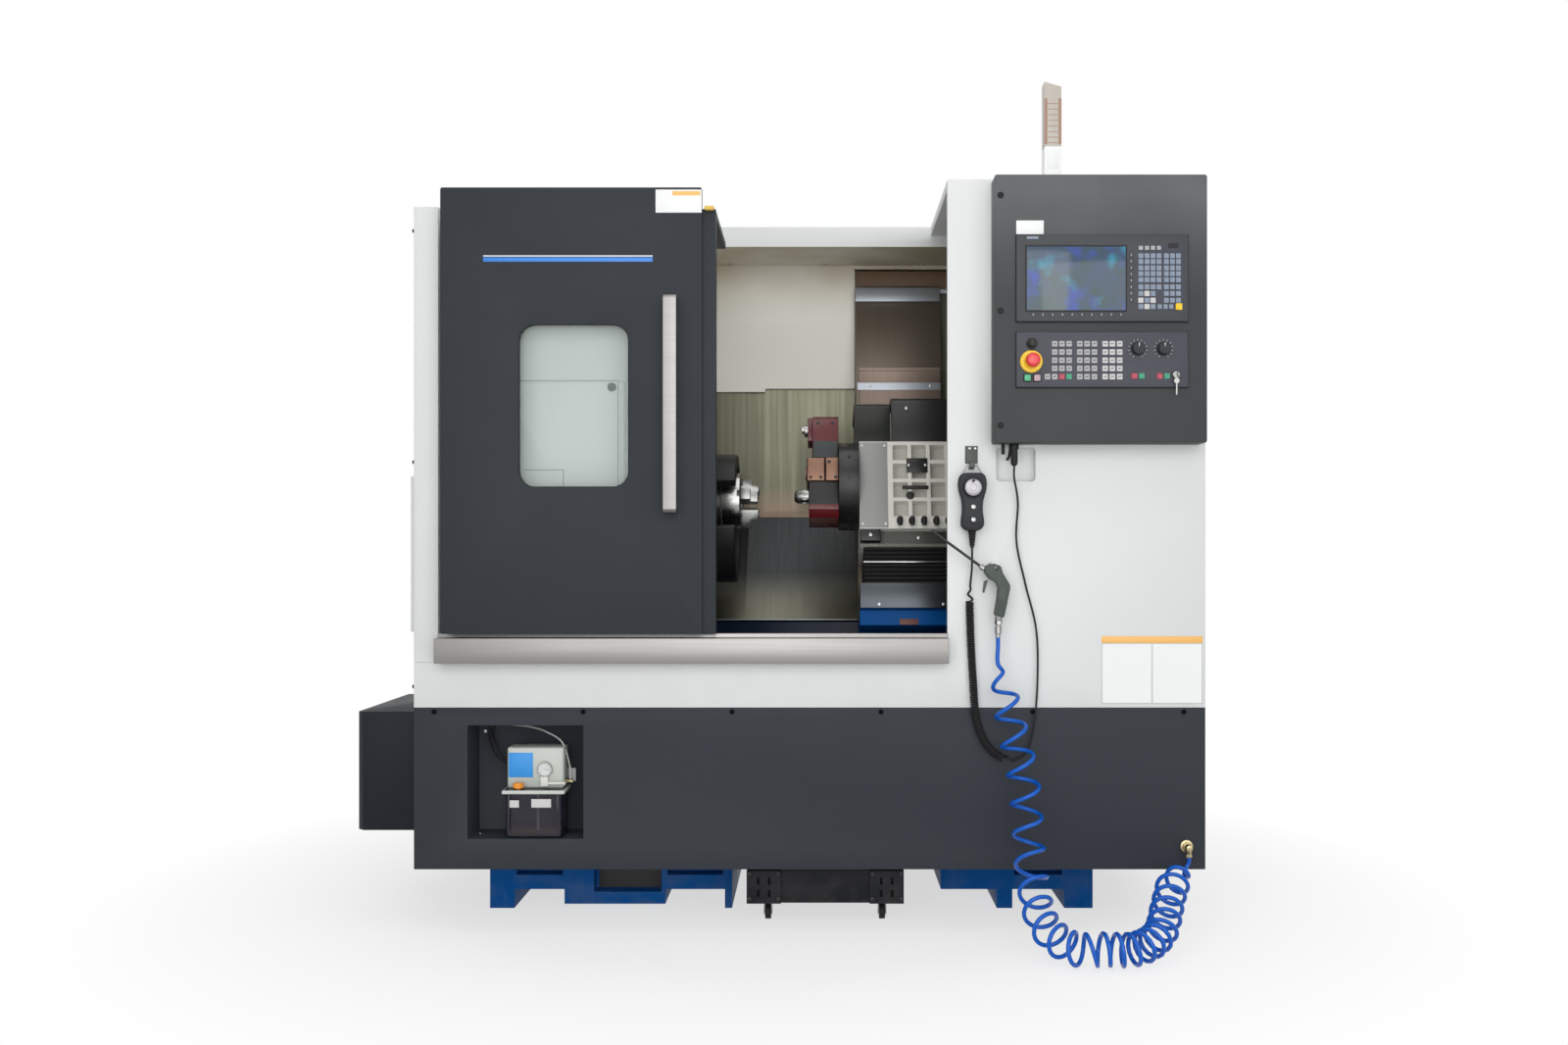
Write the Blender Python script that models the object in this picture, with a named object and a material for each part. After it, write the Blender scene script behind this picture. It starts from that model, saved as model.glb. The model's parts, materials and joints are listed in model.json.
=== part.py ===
"""CNC turning lathe with a sliding door, slanted carriage, control box, pendant, air gun and chip tank.

Metres, +Z up. X runs along the spindle, -Y is the operator's side, the floor is z = 0 and the origin
is the middle of the footprint. Depths are measured back from the plane of the front panels.
"""

from math import cos, pi, radians, sin

import bmesh
import bpy
from mathutils import Euler, Matrix, Vector

# Whole machine
OVERALL_WIDTH = 2.464
OVERALL_DEPTH = 1.760
SIDE_BOX_REACH = 0.202
RIGHT = OVERALL_WIDTH / 2
BOX_LEFT = -OVERALL_WIDTH / 2
BODY_LEFT = BOX_LEFT + SIDE_BOX_REACH
REAR = OVERALL_DEPTH / 2
ROOF_TOP = 2.155
SKIRT_BOTTOM = 0.183
SKIRT_TOP = 0.645
BAND_TOP = 0.774
SILL_TOP = 0.858
SEAT_GAP = 0.0003
OVERRUN = 0.010
WELD_LAP = 0.002
PANEL_DEPTH = 0.025
SHEET = 0.012
ROUND_SIDES = 32
SMALL_ROUND_SIDES = 16

# Control box and what stands on it; the emergency stop reaches furthest to the front
CONTROL_BOX_MARGIN = 0.016
CONTROL_BOX_WIDTH = 0.596
CONTROL_BOX_LEFT = RIGHT - CONTROL_BOX_MARGIN - CONTROL_BOX_WIDTH
CONTROL_BOX_BOTTOM = 1.396
CONTROL_BOX_TOP = 2.148
CONTROL_BOX_DEPTH = 0.080
CONTROL_BOX_CORNER = 0.006
UNIT_THICKNESS = 0.010
UNIT_WIDTH = 0.480
UNIT_MARGIN = 0.060
UNIT_LEFT = CONTROL_BOX_LEFT + UNIT_MARGIN
DISPLAY_BOTTOM = 1.735
DISPLAY_HEIGHT = 0.241
SCREEN_INSET = 0.003
SCREEN_LEFT_MARGIN = 0.030
SCREEN_TOP_MARGIN = 0.031
SCREEN_WIDTH = 0.277
SCREEN_HEIGHT = 0.178
OPERATOR_BOTTOM = 1.551
OPERATOR_HEIGHT = 0.154
STEM_CLEARANCE = 0.0004
ESTOP_MARGIN = 0.041
ESTOP_X = UNIT_LEFT + ESTOP_MARGIN
ESTOP_Z = 1.622
ESTOP_REACH = 0.050
ESTOP_HEAD_RADIUS = 0.020
ESTOP_HEAD_DEPTH = 0.022
ESTOP_NECK_RADIUS = 0.013
ESTOP_STEM_RADIUS = 0.011
ESTOP_COLLAR_RADIUS = 0.0315
ESTOP_COLLAR_DEPTH = 0.008
OVERRIDE_Z = 1.658
OVERRIDE_MARGINS = (0.339, 0.411)
OVERRIDE_X = (UNIT_LEFT + OVERRIDE_MARGINS[0], UNIT_LEFT + OVERRIDE_MARGINS[1])
OVERRIDE_RADIUS = 0.019
OVERRIDE_DEPTH = 0.022
OVERRIDE_SPINDLE_RADIUS = 0.005
KEY_SWITCH_MARGIN = 0.445
KEY_SWITCH_X = UNIT_LEFT + KEY_SWITCH_MARGIN
KEY_SWITCH_Z = 1.584
KEY_BARREL_RADIUS = 0.011
KEY_BARREL_DEPTH = 0.010
KEY_BOW_WIDTH = 0.020
KEY_BOW_LENGTH = 0.026
KEY_BOW_THICKNESS = 0.003
PUSH_BUTTON_MARGINS = (0.030, 0.057)
PUSH_BUTTON_X = (UNIT_LEFT + PUSH_BUTTON_MARGINS[0], UNIT_LEFT + PUSH_BUTTON_MARGINS[1])
PUSH_BUTTON_Z = 1.576
PUSH_BUTTON_RADIUS = 0.010
PUSH_BUTTON_DEPTH = 0.009
PUSH_STEM_RADIUS = 0.007
KEY_SIZE = 0.015
KEY_PITCH = 0.0206
KEY_RISE = 0.0025
KEY_BLOCK_MARGINS = (0.106, 0.176, 0.246)
KEY_COLUMNS = 3
KEY_ROWS = 5
KEY_TOP_Z = 1.674
KEY_ROW_PITCH = 0.0232
MENU_KEY_COUNT = 8
MENU_KEY_SIZE = 0.013
MENU_KEY_MARGIN = 0.009
PAD_KEY_COUNT = 5
PAD_ROW_COUNT = 7
PAD_LEFT_MARGIN = 0.343
PAD_KEY_SIZE = 0.017
PAD_PITCH = 0.0262
PAD_ROW_PITCH = 0.0275

FRONT_REACH = CONTROL_BOX_DEPTH + UNIT_THICKNESS + ESTOP_REACH
FRONT = -OVERALL_DEPTH / 2 + FRONT_REACH

# Enclosure
DOORWAY_RIGHT = 0.495
DOORWAY_LEFT = -0.210
LEFT_COLUMN_WIDTH = 0.070
LEFT_HOUSING_TOP = 2.030
LEFT_COLUMN_TOP = 2.076
LEFT_PANEL_SETBACK = 0.030
SIDE_WALL_X = -0.258
NOSE_CLEARANCE = 0.004
HATCH_RIGHT = -0.425
HATCH_LEFT = -0.800
HATCH_TOP = 1.582
HATCH_BOTTOM = 0.980
HATCH_GROOVE = 0.004
HATCH_GROOVE_DEPTH = 0.003
REAR_COVER_DEPTH = 0.020
VENT_COUNT = 6
VENT_WIDTH = 0.300
VENT_HEIGHT = 0.012
VENT_PITCH = 0.034
VENT_DEPTH = 0.008
VENT_TOP = 1.700
VENT_LEFT = 0.560
BEAM_SETBACK = 0.620
BEAM_BOTTOM = 2.090
ROOF_SHEET = 0.030
CEILING_BACK = 0.940
INNER_PANEL_BOTTOM = 1.660
INNER_PANEL_RIGHT = 0.253
NOTCH_LEFT = 0.634
NOTCH_WIDTH = 0.112
NOTCH_BOTTOM = 1.292
NOTCH_HEIGHT = 0.096
NOTCH_CORNER = 0.010
SIDE_POCKET_REACH = 0.017
SIDE_POCKET_BOTTOM = 0.860
SIDE_POCKET_TOP = 1.308
SIDE_POCKET_SETBACK = 0.030
SIDE_POCKET_DEPTH = 0.480
SIDE_BOX_BOTTOM = 0.271
SIDE_BOX_TOP = 0.620
SIDE_BOX_SETBACK = 0.126
SIDE_BOX_DEPTH = 0.544
SIDE_BOX_CHAMFER = 0.018

# Skirt and the recess for the lubrication pump
RECESS_LEFT = -0.877
RECESS_WIDTH = 0.331
RECESS_BOTTOM = 0.270
RECESS_HEIGHT = 0.324
RECESS_DEPTH = 0.150
RECESS_WALL = 0.004

# Sill that carries the door
SILL_LEFT = -0.960
SILL_REACH = 0.052
SILL_RAIL_HEIGHT = 0.012
SILL_RAIL_THICKNESS = 0.008

# Sliding door
DOOR_LEFT = -0.942
DOOR_SKIN_WIDTH = 0.739
DOOR_TOP = 2.119
DOOR_PROUD = 0.050
DOOR_SKIN = 0.020
DOOR_FRAME_DEPTH = 0.040
DOOR_FRAME_BAR = 0.048
DOOR_LIP = 0.038
DOOR_ROOF_TOP = 2.062
DOOR_ROOF_SHEET = 0.020
DOOR_ROOF_BACK = 0.420
DOOR_EDGE_ROUND = 0.004
WINDOW_LEFT = -0.720
WINDOW_WIDTH = 0.310
WINDOW_BOTTOM = 1.273
WINDOW_HEIGHT = 0.459
WINDOW_CORNER = 0.046
PANE_THICKNESS = 0.008
PANE_LAP = 0.015
HANDLE_LEFT = -0.308
HANDLE_WIDTH = 0.039
HANDLE_BOTTOM = 1.199
HANDLE_LENGTH = 0.609
HANDLE_STANDOFF = 0.045
HANDLE_THICKNESS = 0.018
HANDLE_LEG = 0.030

# Base casting, in the XZ plane as the front shows it
BASE_INSET = 0.151
BASE_LEFT = BODY_LEFT + BASE_INSET
BASE_RIGHT_INSET = 0.266
BASE_RIGHT = RIGHT - BASE_RIGHT_INSET
BASE_SETBACK = 0.300
BASE_REAR_GAP = 0.240
BASE_DEPTH = REAR - FRONT - BASE_SETBACK - BASE_REAR_GAP
BASE_TOP = 0.620
BAR_BOTTOM = 0.058
TUNNEL_LEFT = -0.138
TUNNEL_RIGHT = 0.501
TUNNEL_TOP = 0.190
LEFT_FOOT_WIDTH = 0.075
LEFT_FOOT_END = BASE_LEFT + LEFT_FOOT_WIDTH
INNER_FOOT_WIDTH = 0.022
INNER_FOOT_LEFT = TUNNEL_LEFT - INNER_FOOT_WIDTH
BLOCK_START_SHARE = 0.2376
BLOCK_WIDTH_SHARE = 0.4798
BLOCK_LEFT = LEFT_FOOT_END + (INNER_FOOT_LEFT - LEFT_FOOT_END) * BLOCK_START_SHARE
BLOCK_WIDTH = (INNER_FOOT_LEFT - LEFT_FOOT_END) * BLOCK_WIDTH_SHARE
BLOCK_BOTTOM = 0.013
RIGHT_FOOT_WIDTH = 0.087
RIGHT_FOOT_LEFT = BASE_RIGHT - RIGHT_FOOT_WIDTH
MIDDLE_FOOT_WIDTH = 0.048
MIDDLE_FOOT_SHARE = 0.4524
MIDDLE_FOOT_LEFT = TUNNEL_RIGHT + (RIGHT_FOOT_LEFT - TUNNEL_RIGHT) * MIDDLE_FOOT_SHARE
MIDDLE_FOOT_END = MIDDLE_FOOT_LEFT + MIDDLE_FOOT_WIDTH
POCKET_DEPTH = 0.060
POCKET_START_SHARE = 0.291
POCKET_WIDTH_SHARE = 0.670
POCKET_LEFT = BLOCK_LEFT + BLOCK_WIDTH * POCKET_START_SHARE
POCKET_WIDTH = BLOCK_WIDTH * POCKET_WIDTH_SHARE
POCKET_BOTTOM = 0.050
POCKET_HEIGHT = 0.069
SLOT_HEIGHT = 0.016
SLOT_BOTTOM = 0.102
SLOT_MARGIN = 0.006
SLOT_SPANS = (
    (LEFT_FOOT_END + SLOT_MARGIN, BLOCK_LEFT - SLOT_MARGIN),
    (BLOCK_LEFT + BLOCK_WIDTH + SLOT_MARGIN, INNER_FOOT_LEFT - SLOT_MARGIN),
    (MIDDLE_FOOT_END + SLOT_MARGIN, RIGHT_FOOT_LEFT - SLOT_MARGIN),
)
BED_LEFT = -0.300
BED_RIGHT = BASE_RIGHT
BED_SETBACK = 1.000
BED_TOP = 1.640
BED_TOP_THICKNESS = 0.220
CHUTE_LEFT = 0.020
CHUTE_WIDTH = 0.330
CHUTE_SETBACK = 0.310
CHUTE_DEPTH = 0.220

# Way cover, rear wall and trough
COVER_RIGHT_INSET = 0.042
COVER_RIGHT = RIGHT - COVER_RIGHT_INSET
COVER_LEFT = SIDE_WALL_X + SHEET + SEAT_GAP
WAY_FOOT_SETBACK = 0.600
WAY_FOOT_Z = 0.868
REAR_WALL_SETBACK = 0.957
WAY_KNEE_Z = 1.212
REAR_WALL_TOP = 2.074
KEEL_SLOT_LEFT = 0.150
KEEL_SLOT_RIGHT = 0.960
KEEL_Z = 1.290
KEEL_THICKNESS = 0.050
KEEL_CLEARANCE = 0.006
TROUGH_SHEET = 0.008
TROUGH_FRONT_SETBACK = 0.034
TROUGH_LIP_Z = 0.850
TROUGH_FLOOR_FRONT = 0.270
TROUGH_FLOOR_BACK = 0.560

# Spindle
SPINDLE_SETBACK = 0.450
SPINDLE_Z = 1.250
HEADSTOCK_INSET = 0.100
HEADSTOCK_LEFT = BODY_LEFT + HEADSTOCK_INSET
HEADSTOCK_RIGHT = -0.300
HEADSTOCK_FRONT = 0.220
HEADSTOCK_BACK = 0.940
HEADSTOCK_TOP = 1.480
HEADSTOCK_CHAMFER = 0.160
NOSE_RADIUS = 0.110
NOSE_END_X = -0.250
CHUCK_FLANGE_RADIUS = 0.068
CHUCK_FLANGE_LENGTH = 0.072
CHUCK_RADIUS = 0.090
CHUCK_LENGTH = 0.062
CHUCK_CHAMFER = 0.004
CHUCK_BORE = 0.026
JAW_SLOT_WIDTH = 0.020
JAW_SLOT_DEPTH = 0.012
JAW_WIDTH = 0.036
JAW_INNER = 0.024
JAW_OUTER = 0.088
JAW_STEP = 0.056
JAW_HEIGHT = 0.052
JAW_STEP_HEIGHT = 0.030
JAW_KEY_CLEARANCE = 0.0004
JAW_STROKE = 0.004
JAW_TURN_DEG = 75.0
GUARD_LENGTH = 0.130
GUARD_INNER = 0.166
GUARD_OUTER = 0.202
GUARD_DROP = 0.054
GUARD_GAP_TOP_DEG = 34.0
GUARD_GAP_BOTTOM_DEG = -8.0
GUARD_STEPS = 20

# Carriage, in a frame at the turret's centre that leans back with the slant of the bed
TURRET_SETBACK = 0.500
TURRET_Z = 1.298
SLANT_DEG = 72.0
DISC_LEFT = 0.1905
DISC_THICKNESS = 0.064
DISC_RADIUS = 0.140
DISC_STATIONS = 12
DISC_HUB_RADIUS = 0.040
DISC_HUB_LENGTH = 0.012
STATION_RADIUS = 0.100
STATION_BORE = 0.013
STATION_DEPTH = 0.006
HOUSING_WIDTH = 0.292
HOUSING_FRONT = 0.100
SLIDE_PLANE = 0.160
HOUSING_BOTTOM = 0.175
HOUSING_TOP = 0.115
COVER_CAP_TOP = 0.260
COVER_CAP_FRONT = 0.050
COVER_CAP_BACK = 0.030
COVER_CAP_CHAMFER = 0.030
RIB_LEFT = 0.105
RIB_COLUMNS = 3
RIB_ROWS = 4
RIB_WALL = 0.012
RIB_DEPTH = 0.030
ELBOW_COUNT = 5
ELBOW_RADIUS = 0.009
ELBOW_LENGTH = 0.024
ELBOW_Z = -0.150
SLIDE_PLATE_HEIGHT = 0.040
SLIDE_PLATE_FRONT = 0.070
BELLOWS_BOTTOM = -0.323
BELLOWS_FRONT = 0.050
BELLOWS_FOLDS = 6
BELLOWS_FOLD_DEPTH = 0.012
BELLOWS_MARGIN = 0.010
SADDLE_INSET = 0.015
LOWER_COVER_HEIGHT = 0.081
LOWER_COVER_FRONT = 0.070
NOSE_CASTING_HEIGHT = 0.066
NOSE_CASTING_FRONT = 0.045
SADDLE_TOP_Z = 2.000
SADDLE_STEP_Z = 1.630
SADDLE_STEP_SETBACK = 0.934
KEEL_INSET = 0.030
SLIDING_COVER_BOTTOM = 0.150
SLIDING_COVER_TOP = 0.480
SLIDING_COVER_THICKNESS = 0.026
SLIDING_COVER_INSET = 0.008
SLIDING_COVER_BEAD = 0.006
STATIC_BLOCK_LEFT = 0.107
STATIC_BLOCK_INNER = 0.085
STATIC_BLOCK_OUTER = 0.232
STATIC_BLOCK_WIDTH = 0.084
STATIC_BLOCK_CHAMFER = 0.016
SPIGOT_RADIUS = 0.020
SPIGOT_LENGTH = 0.026
LIVE_BLOCK_LEFT = 0.097
LIVE_BLOCK_FRONT = 0.100
LIVE_BLOCK_BACK = 0.020
LIVE_BLOCK_BOTTOM = -0.132
LIVE_BLOCK_TOP = 0.010
LIVE_BLOCK_CHAMFER = 0.022
LIVE_BLOCK_STEP_Z = -0.030
LIVE_BLOCK_STEP_FRONT = 0.047
LIVE_BLOCK_REAR_Z = -0.062
COLLET_RADIUS = 0.022
COLLET_LENGTH = 0.046
COLLET_FRONT = 0.034
COLLET_Z = -0.057
HOLDER_LEFT = 0.105
HOLDER_RADIUS = 0.030
HOLDER_CENTRE_FRONT = 0.055
HOLDER_CENTRE_Z = 0.048

# Signal tower
TOWER_MARGIN = 0.185
TOWER_X = CONTROL_BOX_LEFT + TOWER_MARGIN
TOWER_SETBACK = 0.055
TOWER_WIDTH = 0.049
TOWER_DEPTH = 0.050
TOWER_FOOT_WIDTH = 0.073
TOWER_FOOT_HEIGHT = 0.012
TOWER_TOP = 2.451
TOWER_TOP_DROP = 0.014
LENS_BOTTOM = 2.262
LENS_TOP = 2.404
LENS_GROOVE = 0.0015
LENS_GROOVE_HEIGHT = 0.003

# Lubrication pump in the recess
PUMP_LEFT = -0.771
PUMP_WIDTH = 0.163
PUMP_BOTTOM = 0.4085
PUMP_TOP = 0.527
PUMP_FRONT_SETBACK = 0.040
PUMP_BODY_DEPTH = 0.076
PUMP_CORNER = 0.004
PUMP_BRACKET_WIDTH = 0.090
PUMP_BRACKET_HEIGHT = 0.060
GAUGE_X = -0.661
GAUGE_Z = 0.465
GAUGE_RADIUS = 0.021
GAUGE_DEPTH = 0.014
GAUGE_RIM = 0.003
RESERVOIR_BOTTOM = 0.2745
RESERVOIR_FRONT_SETBACK = 0.008
RESERVOIR_DEPTH = 0.110
RESERVOIR_CORNER = 0.012
RESERVOIR_LID_LAP = 0.004
RESERVOIR_LID_HEIGHT = 0.010
CAP_X = -0.736
CAP_RADIUS = 0.012
CAP_HEIGHT = 0.019
CAP_NECK_RADIUS = 0.008
CAP_NECK_HEIGHT = 0.004
CAP_SETBACK = 0.024

# Pendant
PENDANT_LEFT = 0.523
PENDANT_WIDTH = 0.080
PENDANT_BOTTOM = 1.1535
PENDANT_HEIGHT = 0.160
PENDANT_THICKNESS = 0.045
PENDANT_HALF_SHARES = (
    (0.3125, 1.0),
    (0.431, 0.966),
    (0.481, 0.891),
    (0.5, 0.797),
    (0.475, 0.691),
    (0.375, 0.516),
    (0.356, 0.416),
    (0.356, 0.316),
    (0.4, 0.166),
    (0.4, 0.066),
    (0.275, 0.0),
)
LOOP_WIDTH = 0.030
LOOP_HEIGHT = 0.024
LOOP_BAR = 0.005
BRACKET_BOTTOM = 1.325
BRACKET_HEIGHT = 0.050
BRACKET_WIDTH = 0.036
BRACKET_SHEET = 0.003
HOOK_LIP = 0.012
DIAL_Z = 1.272
DIAL_RADIUS = 0.0275
DIAL_DEPTH = 0.012
DIAL_GRIP_RADIUS = 0.004
DIAL_GRIP_DEPTH = 0.010
DIAL_GRIP_OFFSET_SHARE = 0.68
SELECTOR_Z = (1.217, 1.181)
SELECTOR_RADIUS = 0.008
SELECTOR_DEPTH = 0.014
RELIEF_LENGTH = 0.052
RELIEF_RADIUS = 0.011
RELIEF_TIP_RADIUS = 0.006
GLAND_INSET = 0.061
GLAND_X = CONTROL_BOX_LEFT + GLAND_INSET
GLAND_FRONT = 0.034
GLAND_LENGTH = 0.062
GLAND_RADIUS = 0.010
GLAND_NUT_RADIUS = 0.013
GLAND_NUT_LENGTH = 0.016
CORD_RADIUS = 0.0033
CURL_RADIUS = 0.0125
CURL_CLEARANCE = 0.002
LEAD_SIDES = 3

# Air gun and its hose
GUN_HOOK_X = 0.628
GUN_HOOK_WIDTH = 0.022
GUN_HOOK_HEIGHT = 0.030
GUN_OUTLINE = (
    (0.5935, 1.0470),
    (0.6080, 1.0555),
    (0.6240, 1.0570),
    (0.6420, 1.0490),
    (0.6470, 1.0300),
    (0.6680, 0.9955),
    (0.6675, 0.9860),
    (0.6505, 0.8985),
    (0.6215, 0.9000),
    (0.6290, 0.9560),
    (0.6325, 0.9880),
    (0.6250, 0.9980),
    (0.6060, 1.0120),
    (0.5940, 1.0300),
)
GUN_NOZZLE_START = (0.600, 1.038)
GUN_NOZZLE_END = (0.445, 1.150)
GUN_NOZZLE_LEAN = 0.020
GUN_CONNECTOR_X = 0.634
GUN_CONNECTOR_TOP = 0.902
GUN_CONNECTOR_BOTTOM = 0.848
GUN_HANG_Z = 1.046
TRIGGER_PIVOT = (0.6059, 1.0116)
TRIGGER_OUTLINE = (
    (0, 0),
    (-0.012, -0.004),
    (-0.016, -0.036),
    (-0.011, -0.038),
    (-0.004, -0.014),
)
GUN_FRONT = 0.056
GUN_THICKNESS = 0.026
GUN_TRIGGER_WIDTH = 0.010
GUN_NOZZLE_RADIUS = 0.004
GUN_CONNECTOR_RADIUS = 0.008
HOSE_RADIUS = 0.0055
HOSE_COIL_RADIUS = 0.048
HOSE_FLOOR_GAP = 0.0045
FITTING_X = 1.177
FITTING_Z = 0.250
FITTING_FLANGE_RADIUS = 0.018
FITTING_FLANGE_DEPTH = 0.006
FITTING_RADIUS = 0.009
FITTING_REACH = 0.040
FITTING_DROP = 0.024

# Chip and coolant tank on casters
TANK_LEFT = -0.083
TANK_WIDTH = 0.458
TANK_SETBACK = 0.090
TANK_LENGTH = 1.000
TANK_BOTTOM = 0.066
TANK_TOP = 0.175
TANK_WALL = 0.006
TANK_BRACKET_WIDTH = 0.100
TANK_BRACKET_DEPTH = 0.012
CASTER_INSET = 0.060
CASTER_SETBACK = 0.070
WHEEL_RADIUS = 0.024
WHEEL_WIDTH = 0.018
AXLE_RADIUS = 0.004
FORK_SHEET = 0.003
FORK_GAP = 0.001
CASTER_TRAIL = 0.014



def back(depth):
    """The Y of a plane this far behind the front panels."""
    return FRONT + depth


def material(name, colour, roughness, metallic=0.0, alpha=1.0):
    """A Principled material, made once for each finish."""
    made = bpy.data.materials.get(name)
    if made is None:
        made = bpy.data.materials.new(name)
        made.use_nodes = True
        shader = made.node_tree.nodes["Principled BSDF"]
        shader.inputs["Base Color"].default_value = (*colour, 1.0)
        shader.inputs["Roughness"].default_value = roughness
        shader.inputs["Metallic"].default_value = metallic
        shader.inputs["Alpha"].default_value = alpha
    return made


def charcoal():
    return material("charcoal_paint", (0.045, 0.048, 0.056), 0.45)


def white():
    return material("white_paint", (0.72, 0.74, 0.74), 0.4)


def blue():
    return material("blue_paint", (0.010, 0.110, 0.390), 0.4)


def stainless():
    return material("stainless_steel", (0.60, 0.58, 0.55), 0.32, 1.0)


def bright_steel():
    return material("bright_steel", (0.66, 0.66, 0.65), 0.2, 1.0)


def cast_grey():
    return material("grey_casting", (0.40, 0.39, 0.35), 0.5)


def black_plastic():
    return material("black_plastic", (0.02, 0.02, 0.02), 0.5)


def black_rubber():
    return material("black_rubber", (0.025, 0.025, 0.025), 0.8)


def added(name, mesh, finish, smooth_deg=None):
    """An object in the scene for this mesh, with sharp or smooth edges."""
    thing = bpy.data.objects.new(name, mesh)
    bpy.context.collection.objects.link(thing)
    mesh.materials.clear()
    mesh.materials.append(finish)
    if smooth_deg:
        mesh.shade_smooth()
        mesh.set_sharp_from_angle(angle=radians(smooth_deg))
    return thing


def closed(name, bm, finish, smooth_deg=None):
    """Turn the bmesh into an object, its faces pointing out."""
    bmesh.ops.recalc_face_normals(bm, faces=bm.faces)
    mesh = bpy.data.meshes.new(name)
    bm.to_mesh(mesh)
    bm.free()
    return added(name, mesh, finish, smooth_deg)


AXIS_TURNS = {
    "x": Matrix(((0, 0, 1, 0), (1, 0, 0, 0), (0, 1, 0, 0), (0, 0, 0, 1))),
    "y": Matrix(((1, 0, 0, 0), (0, 0, 1, 0), (0, 1, 0, 0), (0, 0, 0, 1))),
    "z": Matrix.Identity(4),
}


def profile(name, outline, axis, span, finish, holes=(), smooth_deg=None):
    """Extrude an outline, with holes in it, along an axis from span[0] to span[1].

    The outline's points are (y, z) along x, (x, z) along y and (x, y) along z.
    """
    bm = bmesh.new()
    for ring in (outline, *holes):
        corners = [bm.verts.new((a, b, span[0])) for a, b in ring]
        for near, far in zip(corners, corners[1:] + corners[:1]):
            bm.edges.new((near, far))
    bmesh.ops.triangle_fill(bm, edges=bm.edges[:], use_beauty=True)
    bmesh.ops.dissolve_limit(bm, angle_limit=radians(0.1), verts=bm.verts[:], edges=bm.edges[:])
    grown = bmesh.ops.extrude_face_region(bm, geom=bm.faces[:])
    moved = [part for part in grown["geom"] if isinstance(part, bmesh.types.BMVert)]
    bmesh.ops.translate(bm, verts=moved, vec=(0, 0, span[1] - span[0]))
    bmesh.ops.transform(bm, matrix=AXIS_TURNS[axis], verts=bm.verts[:])
    return closed(name, bm, finish, smooth_deg)


def block(name, x_span, y_span, z_span, finish, round_edge=0.0):
    """A rectangular block between two corners, its edges rounded if asked."""
    bm = bmesh.new()
    bmesh.ops.create_cube(bm, size=1)
    spans = (x_span, y_span, z_span)
    size = [high - low for low, high in spans]
    middle = Vector([(low + high) / 2 for low, high in spans])
    bmesh.ops.scale(bm, vec=size, verts=bm.verts[:])
    bmesh.ops.translate(bm, vec=middle, verts=bm.verts[:])
    if round_edge:
        bmesh.ops.bevel(
            bm, geom=bm.edges[:], offset=round_edge, offset_type="OFFSET", segments=1, affect="EDGES"
        )
    return closed(name, bm, finish)


def turned(name, rings, centre, axis, finish, sides=ROUND_SIDES, smooth_deg=40.0, hollow=False):
    """Revolve (distance along the axis, radius) pairs; hollow joins the last ring to the first."""
    bm = bmesh.new()
    circles = []
    for along, radius in rings:
        if radius:
            turns = [2 * pi * side / sides for side in range(sides)]
            circles.append([bm.verts.new((radius * cos(t), radius * sin(t), along)) for t in turns])
        else:
            circles.append([bm.verts.new((0, 0, along))])
    pairs = list(zip(circles, circles[1:]))
    if hollow:
        pairs.append((circles[-1], circles[0]))
    for low, high in pairs:
        for side in range(sides):
            after = (side + 1) % sides
            corners = [low[side % len(low)], low[after % len(low)]]
            corners += [high[after % len(high)], high[side % len(high)]]
            corners = list(dict.fromkeys(corners))
            bm.faces.new(corners)
    if not hollow:
        for end in (circles[0], circles[-1]):
            if len(end) > 1:
                bm.faces.new(end)
    bmesh.ops.transform(bm, matrix=AXIS_TURNS[axis], verts=bm.verts[:])
    bmesh.ops.translate(bm, vec=centre, verts=bm.verts[:])
    return closed(name, bm, finish, smooth_deg)


def drum(name, radius, centre, axis, span, finish, sides=ROUND_SIDES):
    """A plain round bar along an axis."""
    return turned(name, [(span[0], radius), (span[1], radius)], centre, axis, finish, sides)


def rounded(x_span, z_span, corner, steps=4):
    """The points of a rectangle with round corners."""
    points = []
    places = (
        (x_span[1] - corner, z_span[1] - corner, 0.0),
        (x_span[0] + corner, z_span[1] - corner, pi / 2),
        (x_span[0] + corner, z_span[0] + corner, pi),
        (x_span[1] - corner, z_span[0] + corner, pi * 3 / 2),
    )
    for x, z, start in places:
        for step in range(steps + 1):
            turn = start + pi / 2 * step / steps
            points.append((x + corner * cos(turn), z + corner * sin(turn)))
    return points


def combine(thing, tools, operation):
    """Cut tools from a thing or unite them with it, keeping the tools as hidden guides."""
    for tool in tools:
        tool.hide_render = True
        tool.display_type = "WIRE"
        step = thing.modifiers.new(operation.lower() + "_" + tool.name, "BOOLEAN")
        step.operation = operation
        step.object = tool
        step.solver = "EXACT"
    return thing


def cut(thing, *tools):
    return combine(thing, tools, "DIFFERENCE")


def unite(thing, *tools):
    return combine(thing, tools, "UNION")


def carried(things, pivot_name, location, turn=(0, 0, 0)):
    """Parent pieces made in local coordinates to an empty at their pivot."""
    empty = bpy.data.objects.get(pivot_name)
    if empty is None:
        empty = bpy.data.objects.new(pivot_name, None)
        empty.location = location
        empty.rotation_euler = Euler(turn)
        bpy.context.collection.objects.link(empty)
    for thing in things:
        thing.parent = empty


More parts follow.
